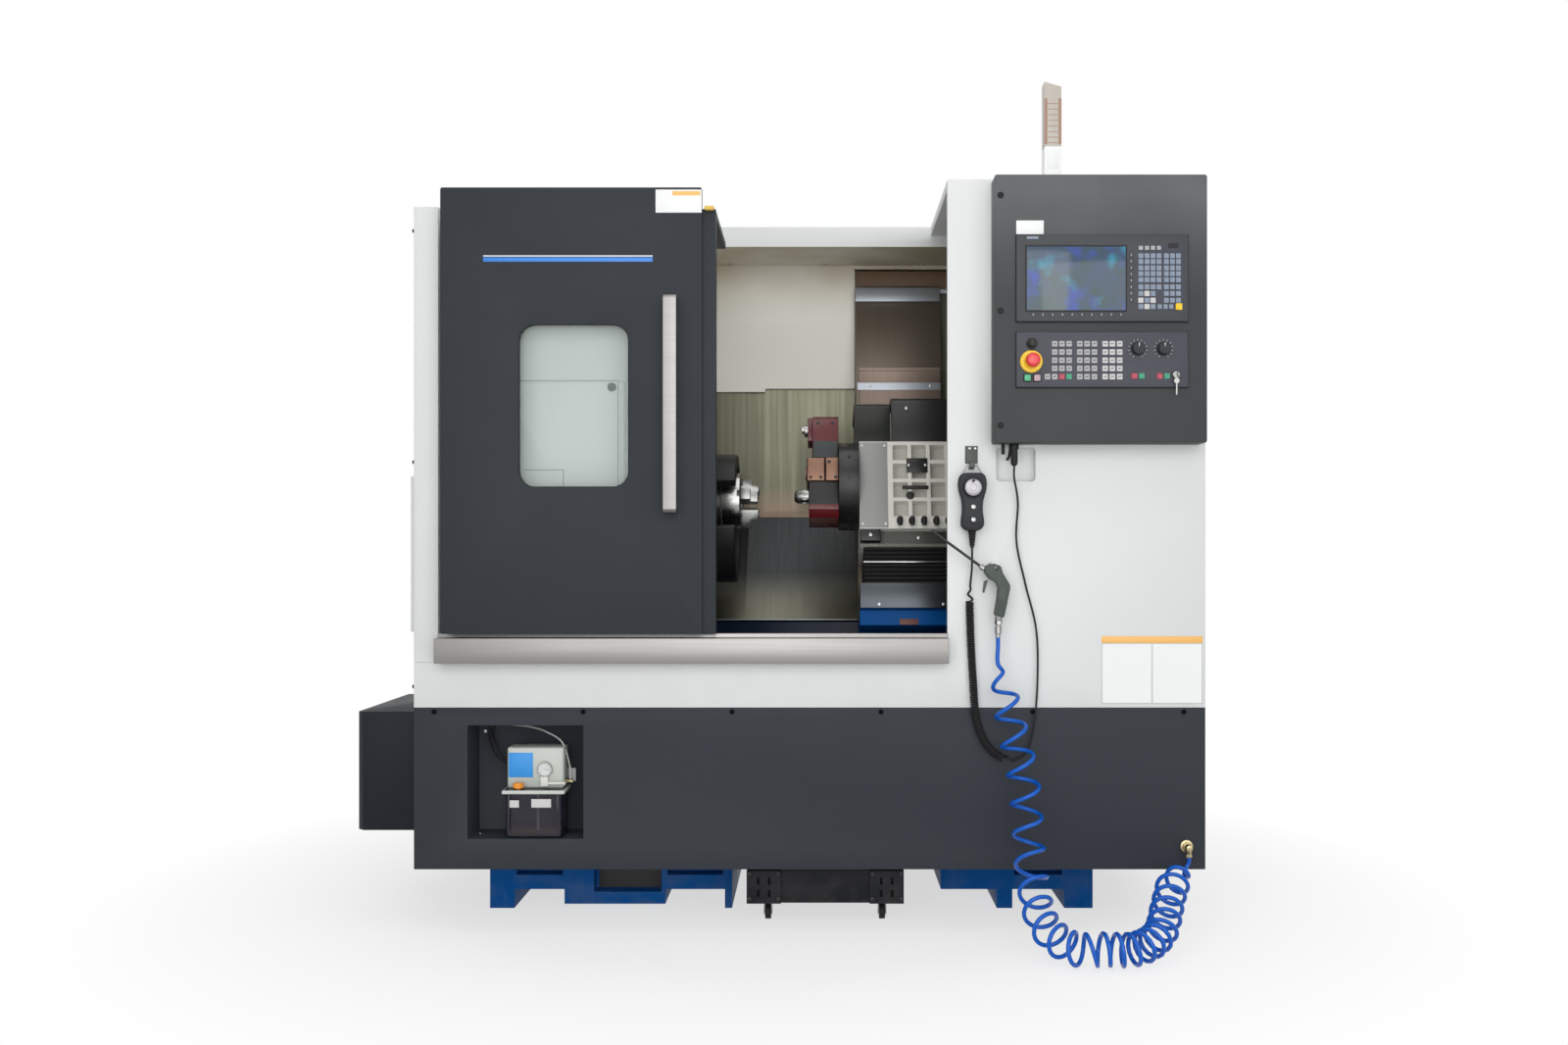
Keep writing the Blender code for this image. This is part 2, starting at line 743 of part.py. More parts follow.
def smooth_path(points, spacing):
    """Points along a smooth curve through the route's own points, about this far apart."""
    route = [Vector(p) for p in points]
    ends = [route[0] * 2 - route[1]] + route + [route[-1] * 2 - route[-2]]
    path = [route[0]]
    for before, start, end, after in zip(ends, ends[1:], ends[2:], ends[3:]):
        steps = max(1, round((end - start).length / spacing))
        for step in range(1, steps + 1):
            t = step / steps
            path.append(
                (start * 2 + (end - before) * t + (before * 2 - start * 5 + end * 4 - after) * t * t
                 + (start * 3 - before - end * 3 + after) * t ** 3) / 2
            )
    return path


def tube(name, points, spacing, thin, fat, fat_from, fat_to, finish):
    """A cord's own solid: a tube along a smooth path, fat where the cord is coiled."""
    path = smooth_path(points, spacing)
    curve = bpy.data.curves.new(name, "CURVE")
    curve.dimensions = "3D"
    curve.bevel_depth = thin
    curve.bevel_resolution = LEAD_SIDES
    curve.use_fill_caps = True
    spline = curve.splines.new("POLY")
    spline.points.add(len(path) - 1)
    first = min(range(len(path)), key=lambda n: (path[n] - Vector(points[fat_from])).length)
    last = min(range(len(path)), key=lambda n: (path[n] - Vector(points[fat_to])).length)
    for number, (point, place) in enumerate(zip(spline.points, path)):
        point.co = (*place, 1.0)
        point.radius = fat / thin if first <= number <= last else 1.0
    thing = bpy.data.objects.new(name, curve)
    bpy.context.collection.objects.link(thing)
    curve.materials.append(finish)
    return thing


def clear_scene():
    for thing in list(bpy.data.objects):
        bpy.data.objects.remove(thing, do_unlink=True)


def base_casting():
    """The cast base: two footed frames, the tank's tunnel, the chip chute and the leaning bed."""
    outline = [
        (BASE_LEFT, 0),
        (LEFT_FOOT_END, 0),
        (LEFT_FOOT_END, BAR_BOTTOM),
        (BLOCK_LEFT, BAR_BOTTOM),
        (BLOCK_LEFT, BLOCK_BOTTOM),
        (BLOCK_LEFT + BLOCK_WIDTH, BLOCK_BOTTOM),
        (BLOCK_LEFT + BLOCK_WIDTH, BAR_BOTTOM),
        (INNER_FOOT_LEFT, BAR_BOTTOM),
        (INNER_FOOT_LEFT, 0),
        (TUNNEL_LEFT, 0),
        (TUNNEL_LEFT, TUNNEL_TOP),
        (TUNNEL_RIGHT, TUNNEL_TOP),
        (TUNNEL_RIGHT, BAR_BOTTOM),
        (MIDDLE_FOOT_LEFT, BAR_BOTTOM),
        (MIDDLE_FOOT_LEFT, 0),
        (MIDDLE_FOOT_END, 0),
        (MIDDLE_FOOT_END, BAR_BOTTOM),
        (RIGHT_FOOT_LEFT, BAR_BOTTOM),
        (RIGHT_FOOT_LEFT, 0),
        (BASE_RIGHT, 0),
        (BASE_RIGHT, BASE_TOP),
        (BASE_LEFT, BASE_TOP),
    ]
    front = back(BASE_SETBACK)
    casting = profile("base_casting", outline, "y", (front, front + BASE_DEPTH), blue())
    bed_face = back(BED_SETBACK)
    bed_back = front + BASE_DEPTH
    bed_outline = [
        (bed_face, BASE_TOP - OVERRUN),
        (bed_back, BASE_TOP - OVERRUN),
        (bed_back - WELD_LAP, BASE_TOP + OVERRUN),
        (bed_face + BED_TOP_THICKNESS, BED_TOP),
        (bed_face, BED_TOP),
    ]
    bed = profile("bed_block", bed_outline, "x", (BED_LEFT, BED_RIGHT), blue())
    chute = block(
        "chute_cutter",
        (CHUTE_LEFT, CHUTE_LEFT + CHUTE_WIDTH),
        (back(CHUTE_SETBACK), back(CHUTE_SETBACK + CHUTE_DEPTH)),
        (TUNNEL_TOP - OVERRUN, BASE_TOP + OVERRUN),
        blue(),
    )
    pocket = block(
        "pocket_cutter",
        (POCKET_LEFT, POCKET_LEFT + POCKET_WIDTH),
        (front - OVERRUN, front + POCKET_DEPTH),
        (POCKET_BOTTOM, POCKET_BOTTOM + POCKET_HEIGHT),
        blue(),
    )
    slots = [
        block(
            f"slot_cutter_{number}",
            span,
            (front - OVERRUN, front + POCKET_DEPTH),
            (SLOT_BOTTOM, SLOT_BOTTOM + SLOT_HEIGHT),
            blue(),
        )
        for number, span in enumerate(SLOT_SPANS)
    ]
    unite(casting, bed)
    cut(casting, chute, pocket, *slots)


def front_skirt():
    """The charcoal skirt, folded inwards to a box that holds the pump."""
    skirt = block(
        "front_skirt",
        (BODY_LEFT, RIGHT),
        (FRONT, FRONT + PANEL_DEPTH),
        (SKIRT_BOTTOM, SKIRT_TOP),
        charcoal(),
    )
    inside_x = (RECESS_LEFT, RECESS_LEFT + RECESS_WIDTH)
    inside_z = (RECESS_BOTTOM, RECESS_BOTTOM + RECESS_HEIGHT)
    shell = block(
        "recess_shell",
        (inside_x[0] - RECESS_WALL, inside_x[1] + RECESS_WALL),
        (FRONT + PANEL_DEPTH - WELD_LAP, back(RECESS_DEPTH + RECESS_WALL)),
        (inside_z[0] - RECESS_WALL, inside_z[1] + RECESS_WALL),
        charcoal(),
    )
    hollow = block("recess_cutter", inside_x, (FRONT - OVERRUN, back(RECESS_DEPTH)), inside_z, charcoal())
    unite(skirt, shell)
    cut(skirt, hollow)


def front_panel():
    """One white sheet: the band under the doorway, the column and the panel behind the control box."""
    outline = [
        (BODY_LEFT, SKIRT_TOP + SEAT_GAP),
        (RIGHT, SKIRT_TOP + SEAT_GAP),
        (RIGHT, ROOF_TOP),
        (DOORWAY_RIGHT, ROOF_TOP),
        (DOORWAY_RIGHT, BAND_TOP),
        (BODY_LEFT, BAND_TOP),
    ]
    notch = rounded(
        (NOTCH_LEFT, NOTCH_LEFT + NOTCH_WIDTH), (NOTCH_BOTTOM, NOTCH_BOTTOM + NOTCH_HEIGHT), NOTCH_CORNER
    )
    profile("front_panel", outline, "y", (FRONT, FRONT + PANEL_DEPTH), white(), holes=[notch])


def door_sill():
    """The stainless sill with the rail that the door's groove runs on."""
    rail_front = FRONT - DOOR_SKIN / 2
    rail_back = rail_front + SILL_RAIL_THICKNESS
    sill_top = SILL_TOP - SILL_RAIL_HEIGHT
    outline = [
        (FRONT - SILL_REACH, BAND_TOP + SEAT_GAP),
        (FRONT + PANEL_DEPTH, BAND_TOP + SEAT_GAP),
        (FRONT + PANEL_DEPTH, sill_top),
        (rail_back, sill_top),
        (rail_back, SILL_TOP),
        (rail_front, SILL_TOP),
        (rail_front, sill_top),
        (FRONT - SILL_REACH, sill_top),
    ]
    profile("door_sill", outline, "x", (SILL_LEFT, DOORWAY_RIGHT - SEAT_GAP), stainless())


def left_front_panel():
    """The fixed white panel behind the door, folded in to the chamber's left wall."""
    face = back(LEFT_PANEL_SETBACK)
    wall_left = SIDE_WALL_X - SHEET
    outline = [
        (BODY_LEFT + LEFT_COLUMN_WIDTH + SEAT_GAP, face),
        (DOORWAY_LEFT, face),
        (DOORWAY_LEFT, face + SHEET),
        (SIDE_WALL_X, face + SHEET),
        (SIDE_WALL_X, back(CEILING_BACK)),
        (wall_left, back(CEILING_BACK)),
        (wall_left, face + SHEET),
        (BODY_LEFT + LEFT_COLUMN_WIDTH + SEAT_GAP, face + SHEET),
    ]
    low = BAND_TOP + SEAT_GAP
    panel = profile("left_front_panel", outline, "z", (SILL_TOP, LEFT_HOUSING_TOP), white())
    foot_outline = [
        (BODY_LEFT + LEFT_COLUMN_WIDTH + SEAT_GAP, face),
        (SIDE_WALL_X, face),
        (SIDE_WALL_X, face + SHEET),
        (BODY_LEFT + LEFT_COLUMN_WIDTH + SEAT_GAP, face + SHEET),
    ]
    foot = profile("panel_foot", foot_outline, "z", (low, SILL_TOP + WELD_LAP), white())
    nose_hole = drum(
        "nose_hole_cutter",
        NOSE_RADIUS + NOSE_CLEARANCE,
        (0, back(SPINDLE_SETBACK), SPINDLE_Z),
        "x",
        (wall_left - OVERRUN, SIDE_WALL_X + OVERRUN),
        white(),
    )
    groove_outer = ((HATCH_LEFT, HATCH_RIGHT), (HATCH_BOTTOM, HATCH_TOP))
    groove_inner = (
        (HATCH_LEFT + HATCH_GROOVE, HATCH_RIGHT - HATCH_GROOVE),
        (HATCH_BOTTOM + HATCH_GROOVE, HATCH_TOP - HATCH_GROOVE),
    )
    groove = profile(
        "hatch_groove_cutter",
        rounded(*groove_outer, NOTCH_CORNER),
        "y",
        (face - OVERRUN, face + HATCH_GROOVE_DEPTH),
        white(),
        holes=[rounded(*groove_inner, NOTCH_CORNER)],
    )
    unite(panel, foot)
    cut(panel, nose_hole, groove)


def side_covers():
    """The left cover with its front column and pocket, the right cover and the vented rear cover."""
    side_front = FRONT + PANEL_DEPTH + SEAT_GAP
    rear_face = REAR - REAR_COVER_DEPTH
    left = block(
        "left_side_cover",
        (BODY_LEFT, BODY_LEFT + PANEL_DEPTH),
        (side_front, rear_face - SEAT_GAP),
        (SKIRT_BOTTOM, LEFT_COLUMN_TOP),
        white(),
    )
    column = block(
        "left_column",
        (BODY_LEFT, BODY_LEFT + LEFT_COLUMN_WIDTH),
        (FRONT, FRONT + PANEL_DEPTH * 2),
        (BAND_TOP + SEAT_GAP, LEFT_COLUMN_TOP),
        white(),
    )
    pocket = block(
        "side_pocket",
        (BODY_LEFT - SIDE_POCKET_REACH, BODY_LEFT + WELD_LAP),
        (back(SIDE_POCKET_SETBACK), back(SIDE_POCKET_SETBACK + SIDE_POCKET_DEPTH)),
        (SIDE_POCKET_BOTTOM, SIDE_POCKET_TOP),
        white(),
    )
    unite(left, column, pocket)
    block(
        "right_side_cover",
        (RIGHT - PANEL_DEPTH, RIGHT),
        (side_front, rear_face - SEAT_GAP),
        (SKIRT_BOTTOM, ROOF_TOP),
        white(),
    )
    rear = block("rear_cover", (BODY_LEFT, RIGHT), (rear_face, REAR), (SKIRT_BOTTOM, ROOF_TOP), white())
    vents = [
        block(
            f"vent_cutter_{number}",
            (VENT_LEFT, VENT_LEFT + VENT_WIDTH),
            (REAR - VENT_DEPTH, REAR + OVERRUN),
            (VENT_TOP - number * VENT_PITCH - VENT_HEIGHT, VENT_TOP - number * VENT_PITCH),
            white(),
        )
        for number in range(VENT_COUNT)
    ]
    cut(rear, *vents)


def roof():
    """The roof sheets, low over the headstock, with the rear beam, ceiling and inner rear panel."""
    inside_left = BODY_LEFT + LEFT_COLUMN_WIDTH + SEAT_GAP
    rear_end = REAR - REAR_COVER_DEPTH - SEAT_GAP
    right_end = RIGHT - PANEL_DEPTH - SEAT_GAP
    roof_under = ROOF_TOP - ROOF_SHEET
    folded = [
        (back(BEAM_SETBACK), ROOF_TOP),
        (back(BEAM_SETBACK), BEAM_BOTTOM),
        (back(CEILING_BACK), BEAM_BOTTOM),
        (back(CEILING_BACK), INNER_PANEL_BOTTOM),
        (back(CEILING_BACK) + SHEET, INNER_PANEL_BOTTOM),
        (back(CEILING_BACK) + SHEET, BEAM_BOTTOM + SHEET),
        (back(BEAM_SETBACK) + SHEET, BEAM_BOTTOM + SHEET),
        (back(BEAM_SETBACK) + SHEET, roof_under),
        (rear_end, roof_under),
        (rear_end, ROOF_TOP),
    ]
    roof_sheet = profile("roof", folded, "x", (SIDE_WALL_X + SEAT_GAP, right_end), white())
    right_sheet = block(
        "right_roof",
        (DOORWAY_RIGHT, right_end),
        (FRONT + PANEL_DEPTH + SEAT_GAP, rear_end),
        (roof_under, ROOF_TOP),
        white(),
    )
    low_sheet = profile(
        "low_roof",
        [
            (inside_left, LEFT_HOUSING_TOP + SEAT_GAP),
            (SIDE_WALL_X + SHEET, LEFT_HOUSING_TOP + SEAT_GAP),
            (SIDE_WALL_X + SHEET, ROOF_TOP),
            (SIDE_WALL_X, ROOF_TOP),
            (SIDE_WALL_X, LEFT_HOUSING_TOP + SHEET),
            (inside_left, LEFT_HOUSING_TOP + SHEET),
        ],
        "y",
        (back(BEAM_SETBACK), rear_end),
        white(),
    )
    low_front = block(
        "low_roof_front",
        (inside_left, DOORWAY_LEFT),
        (back(LEFT_PANEL_SETBACK), back(BEAM_SETBACK) + WELD_LAP),
        (LEFT_HOUSING_TOP + SEAT_GAP, LEFT_HOUSING_TOP + SHEET),
        white(),
    )
    inner_cut = block(
        "inner_panel_cutter",
        (INNER_PANEL_RIGHT, right_end + OVERRUN),
        (back(CEILING_BACK) - OVERRUN, back(CEILING_BACK) + SHEET + OVERRUN),
        (INNER_PANEL_BOTTOM - OVERRUN, BEAM_BOTTOM - SHEET),
        white(),
    )
    cut(roof_sheet, inner_cut)
    unite(roof_sheet, right_sheet, low_sheet, low_front)


def side_box():
    """The charcoal box on the left side, its front edges chamfered."""
    face = back(SIDE_BOX_SETBACK)
    outline = [
        (BOX_LEFT + SIDE_BOX_CHAMFER, face),
        (BODY_LEFT - SEAT_GAP, face),
        (BODY_LEFT - SEAT_GAP, face + SIDE_BOX_DEPTH),
        (BOX_LEFT, face + SIDE_BOX_DEPTH),
        (BOX_LEFT, face + SIDE_BOX_CHAMFER),
    ]
    profile("side_box", outline, "z", (SIDE_BOX_BOTTOM, SIDE_BOX_TOP), charcoal())


def way_line_back(z):
    """How far behind the front the leaning way cover's face is at a height."""
    run = (REAR_WALL_SETBACK - WAY_FOOT_SETBACK) / (WAY_KNEE_Z - WAY_FOOT_Z)
    return WAY_FOOT_SETBACK + (z - WAY_FOOT_Z) * run


def way_cover():
    """The stainless way cover, folded up into the rear wall, with the slot for the saddle's keel."""
    outline = [
        (back(WAY_FOOT_SETBACK), WAY_FOOT_Z),
        (back(REAR_WALL_SETBACK), WAY_KNEE_Z),
        (back(REAR_WALL_SETBACK), REAR_WALL_TOP),
        (back(REAR_WALL_SETBACK) + SHEET, REAR_WALL_TOP),
        (back(REAR_WALL_SETBACK) + SHEET, WAY_KNEE_Z - SHEET / 2),
        (back(WAY_FOOT_SETBACK) + SHEET, WAY_FOOT_Z - SHEET / 2),
    ]
    cover = profile("way_cover", outline, "x", (COVER_LEFT, COVER_RIGHT), stainless())
    half_slot = KEEL_THICKNESS / 2 + KEEL_CLEARANCE
    slot = block(
        "keel_slot_cutter",
        (KEEL_SLOT_LEFT, KEEL_SLOT_RIGHT),
        (back(REAR_WALL_SETBACK) - OVERRUN, back(REAR_WALL_SETBACK) + SHEET + OVERRUN),
        (KEEL_Z - half_slot, KEEL_Z + half_slot),
        stainless(),
    )
    cut(cover, slot)


def chip_trough():
    """The folded trough under the chamber, open over the chute."""
    floor = BASE_TOP + SEAT_GAP
    rear_top = WAY_FOOT_Z - SHEET / 2 - SEAT_GAP
    outline = [
        (back(TROUGH_FRONT_SETBACK), TROUGH_LIP_Z),
        (back(TROUGH_FLOOR_FRONT) - TROUGH_SHEET, floor),
        (back(TROUGH_FLOOR_BACK) + TROUGH_SHEET, floor),
        (back(WAY_FOOT_SETBACK) + SHEET, rear_top),
        (back(WAY_FOOT_SETBACK) + SHEET - TROUGH_SHEET, rear_top),
        (back(TROUGH_FLOOR_BACK), floor + TROUGH_SHEET),
        (back(TROUGH_FLOOR_FRONT), floor + TROUGH_SHEET),
        (back(TROUGH_FRONT_SETBACK) + TROUGH_SHEET * 2, TROUGH_LIP_Z),
    ]
    trough = profile("chip_trough", outline, "x", (COVER_LEFT, COVER_RIGHT), blue())
    mouth = block(
        "trough_mouth_cutter",
        (CHUTE_LEFT, CHUTE_LEFT + CHUTE_WIDTH),
        (back(CHUTE_SETBACK), back(CHUTE_SETBACK + CHUTE_DEPTH)),
        (floor - OVERRUN, floor + TROUGH_SHEET + OVERRUN),
        blue(),
    )
    cut(trough, mouth)


def headstock():
    """The spindle housing on the base, with its round nose through the chamber's wall."""
    outline = [
        (back(HEADSTOCK_FRONT), BASE_TOP + SEAT_GAP),
        (back(HEADSTOCK_BACK), BASE_TOP + SEAT_GAP),
        (back(HEADSTOCK_BACK), HEADSTOCK_TOP),
        (back(HEADSTOCK_FRONT) + HEADSTOCK_CHAMFER, HEADSTOCK_TOP),
        (back(HEADSTOCK_FRONT), HEADSTOCK_TOP - HEADSTOCK_CHAMFER),
    ]
    housing = profile("headstock", outline, "x", (HEADSTOCK_LEFT, HEADSTOCK_RIGHT), cast_grey())
    nose = drum(
        "spindle_nose",
        NOSE_RADIUS,
        (0, back(SPINDLE_SETBACK), SPINDLE_Z),
        "x",
        (HEADSTOCK_RIGHT - OVERRUN, NOSE_END_X),
        cast_grey(),
    )
    unite(housing, nose)


def chuck_guard():
    """The black shroud round the chuck, open towards the operator."""
    centre_y = back(SPINDLE_SETBACK)
    centre_z = SPINDLE_Z - GUARD_DROP
    start = pi - radians(GUARD_GAP_BOTTOM_DEG)
    sweep = 2 * pi - radians(GUARD_GAP_TOP_DEG - GUARD_GAP_BOTTOM_DEG)
    outer = []
    inner = []
    for step in range(GUARD_STEPS + 1):
        turn = start + sweep * step / GUARD_STEPS
        outer.append((centre_y + GUARD_OUTER * cos(turn), centre_z + GUARD_OUTER * sin(turn)))
        inner.append((centre_y + GUARD_INNER * cos(turn), centre_z + GUARD_INNER * sin(turn)))
    left = SIDE_WALL_X + SEAT_GAP
    span = (left, left + GUARD_LENGTH)
    profile("chuck_guard", outer + inner[::-1], "x", span, black_plastic(), smooth_deg=30.0)


def chuck():
    """The chuck on its flange, with the bore through it and three jaw slots."""
    centre = (NOSE_END_X + SEAT_GAP, back(SPINDLE_SETBACK), SPINDLE_Z)
    body_start = CHUCK_FLANGE_LENGTH
    body_end = CHUCK_FLANGE_LENGTH + CHUCK_LENGTH
    rings = [
        (0, CHUCK_BORE),
        (0, CHUCK_FLANGE_RADIUS),
        (body_start, CHUCK_FLANGE_RADIUS),
        (body_start, CHUCK_RADIUS - CHUCK_CHAMFER),
        (body_start + CHUCK_CHAMFER, CHUCK_RADIUS),
        (body_end - CHUCK_CHAMFER, CHUCK_RADIUS),
        (body_end, CHUCK_RADIUS - CHUCK_CHAMFER),
        (body_end, CHUCK_BORE),
    ]
    body = turned("chuck", rings, (0, 0, 0), "x", bright_steel(), hollow=True)
    turns = [radians(JAW_TURN_DEG + 120 * number) for number in range(3)]
    slot_names = ("jaw_slot_cutter_0", "jaw_slot_cutter_1", "jaw_slot_cutter_2")
    slots = []
    for name, turn in zip(slot_names, turns):
        slot = block(
            name,
            (body_end - JAW_SLOT_DEPTH, body_end + OVERRUN),
            (-JAW_SLOT_WIDTH / 2, JAW_SLOT_WIDTH / 2),
            (CHUCK_BORE / 2, CHUCK_RADIUS + OVERRUN),
            bright_steel(),
        )
        slot.rotation_euler.x = turn
        slots.append(slot)
    cut(body, *slots)
    carried([body, *slots], "spindle_axis", centre)
    for name, turn in zip(("jaw_front", "jaw_low", "jaw_rear"), turns):
        jaw = chuck_jaw(name, body_end)
        jaw.rotation_euler.x = turn
        carried([jaw], "spindle_axis", centre)


def chuck_jaw(name, face):
    """One stepped jaw with the key that slides in the chuck's slot."""
    key_half = JAW_SLOT_WIDTH / 2 - JAW_KEY_CLEARANCE
    outline = [
        (face + SEAT_GAP, JAW_INNER),
        (face + JAW_HEIGHT, JAW_INNER),
        (face + JAW_HEIGHT, JAW_STEP),
        (face + JAW_STEP_HEIGHT, JAW_STEP),
        (face + JAW_STEP_HEIGHT, JAW_OUTER - JAW_STROKE),
        (face + SEAT_GAP, JAW_OUTER - JAW_STROKE),
    ]
    jaw = profile(name, outline, "y", (-JAW_WIDTH / 2, JAW_WIDTH / 2), bright_steel())
    key = block(
        name + "_key",
        (face - JAW_SLOT_DEPTH + JAW_KEY_CLEARANCE, face + WELD_LAP),
        (-key_half, key_half),
        (JAW_INNER + JAW_STROKE, JAW_OUTER - JAW_STROKE * 2),
        bright_steel(),
    )
    key.parent = jaw
    return unite(jaw, key)


def lean():
    """The carriage frame's turn about X: its z axis runs up the slant."""
    return (radians(SLANT_DEG - 90.0), 0, 0)


def tilted(things):
    carried(things, "carriage_frame", (0, back(TURRET_SETBACK), TURRET_Z), lean())


def to_carriage(setback, z):
    """A place in the machine's YZ plane, in the carriage frame."""
    run = setback - TURRET_SETBACK
    rise = z - TURRET_Z
    slant = radians(SLANT_DEG)
    return run * sin(slant) - rise * cos(slant), run * cos(slant) + rise * sin(slant)


def saddle():
    """The saddle: slide face, lower cover and nose, stepped back against the rear wall, and the keel."""
    left = DISC_LEFT + DISC_THICKNESS + SADDLE_INSET
    right = left + HOUSING_WIDTH - SADDLE_INSET
    face = SLIDE_PLANE
    cover_top = BELLOWS_BOTTOM
    cover_bottom = cover_top - LOWER_COVER_HEIGHT
    nose_bottom = cover_bottom - NOSE_CASTING_HEIGHT
    wall = REAR_WALL_SETBACK - SEAT_GAP
    foot_z = TURRET_Z + nose_bottom * sin(radians(SLANT_DEG))
    foot_z = max(foot_z, WAY_FOOT_Z + SHEET)
    top_back = to_carriage(SADDLE_STEP_SETBACK, SADDLE_TOP_Z)
    outline = [
        (-NOSE_CASTING_FRONT, nose_bottom),
        (-NOSE_CASTING_FRONT, cover_bottom),
        (-LOWER_COVER_FRONT, cover_bottom),
        (-LOWER_COVER_FRONT, cover_top),
        (face, cover_top),
        (face, top_back[1]),
        top_back,
        to_carriage(SADDLE_STEP_SETBACK, SADDLE_STEP_Z),
        to_carriage(wall, SADDLE_STEP_Z),
        to_carriage(wall, WAY_KNEE_Z),
        to_carriage(way_line_back(foot_z) - SEAT_GAP * 2, foot_z),
        (face, nose_bottom),
    ]
    body = profile("saddle", outline, "x", (left, right), blue())
    keel = block(
        "saddle_keel",
        (left + KEEL_INSET, right - KEEL_INSET),
        (back(REAR_WALL_SETBACK) - OVERRUN, back(BED_SETBACK) - SEAT_GAP),
        (KEEL_Z - KEEL_THICKNESS / 2, KEEL_Z + KEEL_THICKNESS / 2),
        blue(),
    )
    unite(body, keel)
    tilted([body])
    return left, right


def bellows(left, right):
    """The folded rubber cover between the slide's lower plate and the saddle's cover."""
    top = -HOUSING_BOTTOM - SLIDE_PLATE_HEIGHT - SEAT_GAP
    low = BELLOWS_BOTTOM + SEAT_GAP
    fold = (top - low) / BELLOWS_FOLDS
    front = []
    for number in range(BELLOWS_FOLDS):
        front.append((-BELLOWS_FRONT + BELLOWS_FOLD_DEPTH, low + fold * number))
        front.append((-BELLOWS_FRONT, low + fold * (number + 0.5)))
    front.append((-BELLOWS_FRONT + BELLOWS_FOLD_DEPTH, top))
    outline = [(SLIDE_PLANE - SEAT_GAP, top), (SLIDE_PLANE - SEAT_GAP, low), *front]
    span = (left + BELLOWS_MARGIN, right - BELLOWS_MARGIN)
    tilted([profile("bellows", outline, "x", span, black_rubber())])


def turret_housing():
    """The casting that carries the turret: ribbed front, cap over it and the lower plate."""
    left = DISC_LEFT + DISC_THICKNESS + SEAT_GAP * 2
    right = left + HOUSING_WIDTH
    seat = SLIDE_PLANE - SEAT_GAP
    cap_back = SLIDE_PLANE - COVER_CAP_BACK
    plate_bottom = -HOUSING_BOTTOM - SLIDE_PLATE_HEIGHT
    outline = [
        (-HOUSING_FRONT, -HOUSING_BOTTOM),
        (-SLIDE_PLATE_FRONT, -HOUSING_BOTTOM),
        (-SLIDE_PLATE_FRONT, plate_bottom),
        (seat, plate_bottom),
        (seat, HOUSING_TOP),
        (cap_back, HOUSING_TOP),
        (cap_back, COVER_CAP_TOP),
        (-COVER_CAP_FRONT + COVER_CAP_CHAMFER, COVER_CAP_TOP),
        (-COVER_CAP_FRONT, COVER_CAP_TOP - COVER_CAP_CHAMFER),
        (-COVER_CAP_FRONT, HOUSING_TOP),
        (-HOUSING_FRONT, HOUSING_TOP),
    ]
    housing = profile("turret_housing", outline, "x", (left, right), cast_grey())
    cell_x = (right - left - RIB_LEFT - RIB_WALL) / RIB_COLUMNS
    cell_z = (HOUSING_BOTTOM + HOUSING_TOP - SLIDE_PLATE_HEIGHT) / RIB_ROWS
    pockets = []
    for column in range(RIB_COLUMNS):
        for row in range(RIB_ROWS):
            low_x = left + RIB_LEFT + column * cell_x
            low_z = HOUSING_TOP - (row + 1) * cell_z
            pockets.append(
                block(
                    f"rib_pocket_{column}_{row}",
                    (low_x, low_x + cell_x - RIB_WALL),
                    (-HOUSING_FRONT - OVERRUN, -HOUSING_FRONT + RIB_DEPTH),
                    (low_z, low_z + cell_z - RIB_WALL),
                    cast_grey(),
                )
            )
    elbow_pitch = (right - left - RIB_LEFT) / ELBOW_COUNT
    elbows = [
        drum(
            f"coolant_elbow_{number}",
            ELBOW_RADIUS,
            (left + RIB_LEFT + elbow_pitch * (number + 0.5), 0, ELBOW_Z),
            "y",
            (-HOUSING_FRONT - ELBOW_LENGTH, -HOUSING_FRONT + WELD_LAP),
            black_plastic(),
            sides=SMALL_ROUND_SIDES // 2,
        )
        for number in range(ELBOW_COUNT)
    ]
    cut(housing, *pockets)
    unite(housing, *elbows)
    tilted([housing, *pockets, *elbows])


def sliding_cover(left, right):
    """The stainless plate that telescopes over the slide above the turret."""
    back_face = SLIDE_PLANE - SEAT_GAP
    front_face = back_face - SLIDING_COVER_THICKNESS
    outline = [
        (back_face, SLIDING_COVER_BOTTOM),
        (back_face, SLIDING_COVER_TOP),
        (front_face - SLIDING_COVER_BEAD / 2, SLIDING_COVER_TOP),
        (front_face - SLIDING_COVER_BEAD / 2, SLIDING_COVER_TOP - SLIDING_COVER_BEAD * 2),
        (front_face, SLIDING_COVER_TOP - SLIDING_COVER_BEAD * 2),
        (front_face, SLIDING_COVER_BOTTOM),
    ]
    span = (left + SLIDING_COVER_INSET, right - SLIDING_COVER_INSET)
    tilted([profile("sliding_cover", outline, "x", span, stainless())])


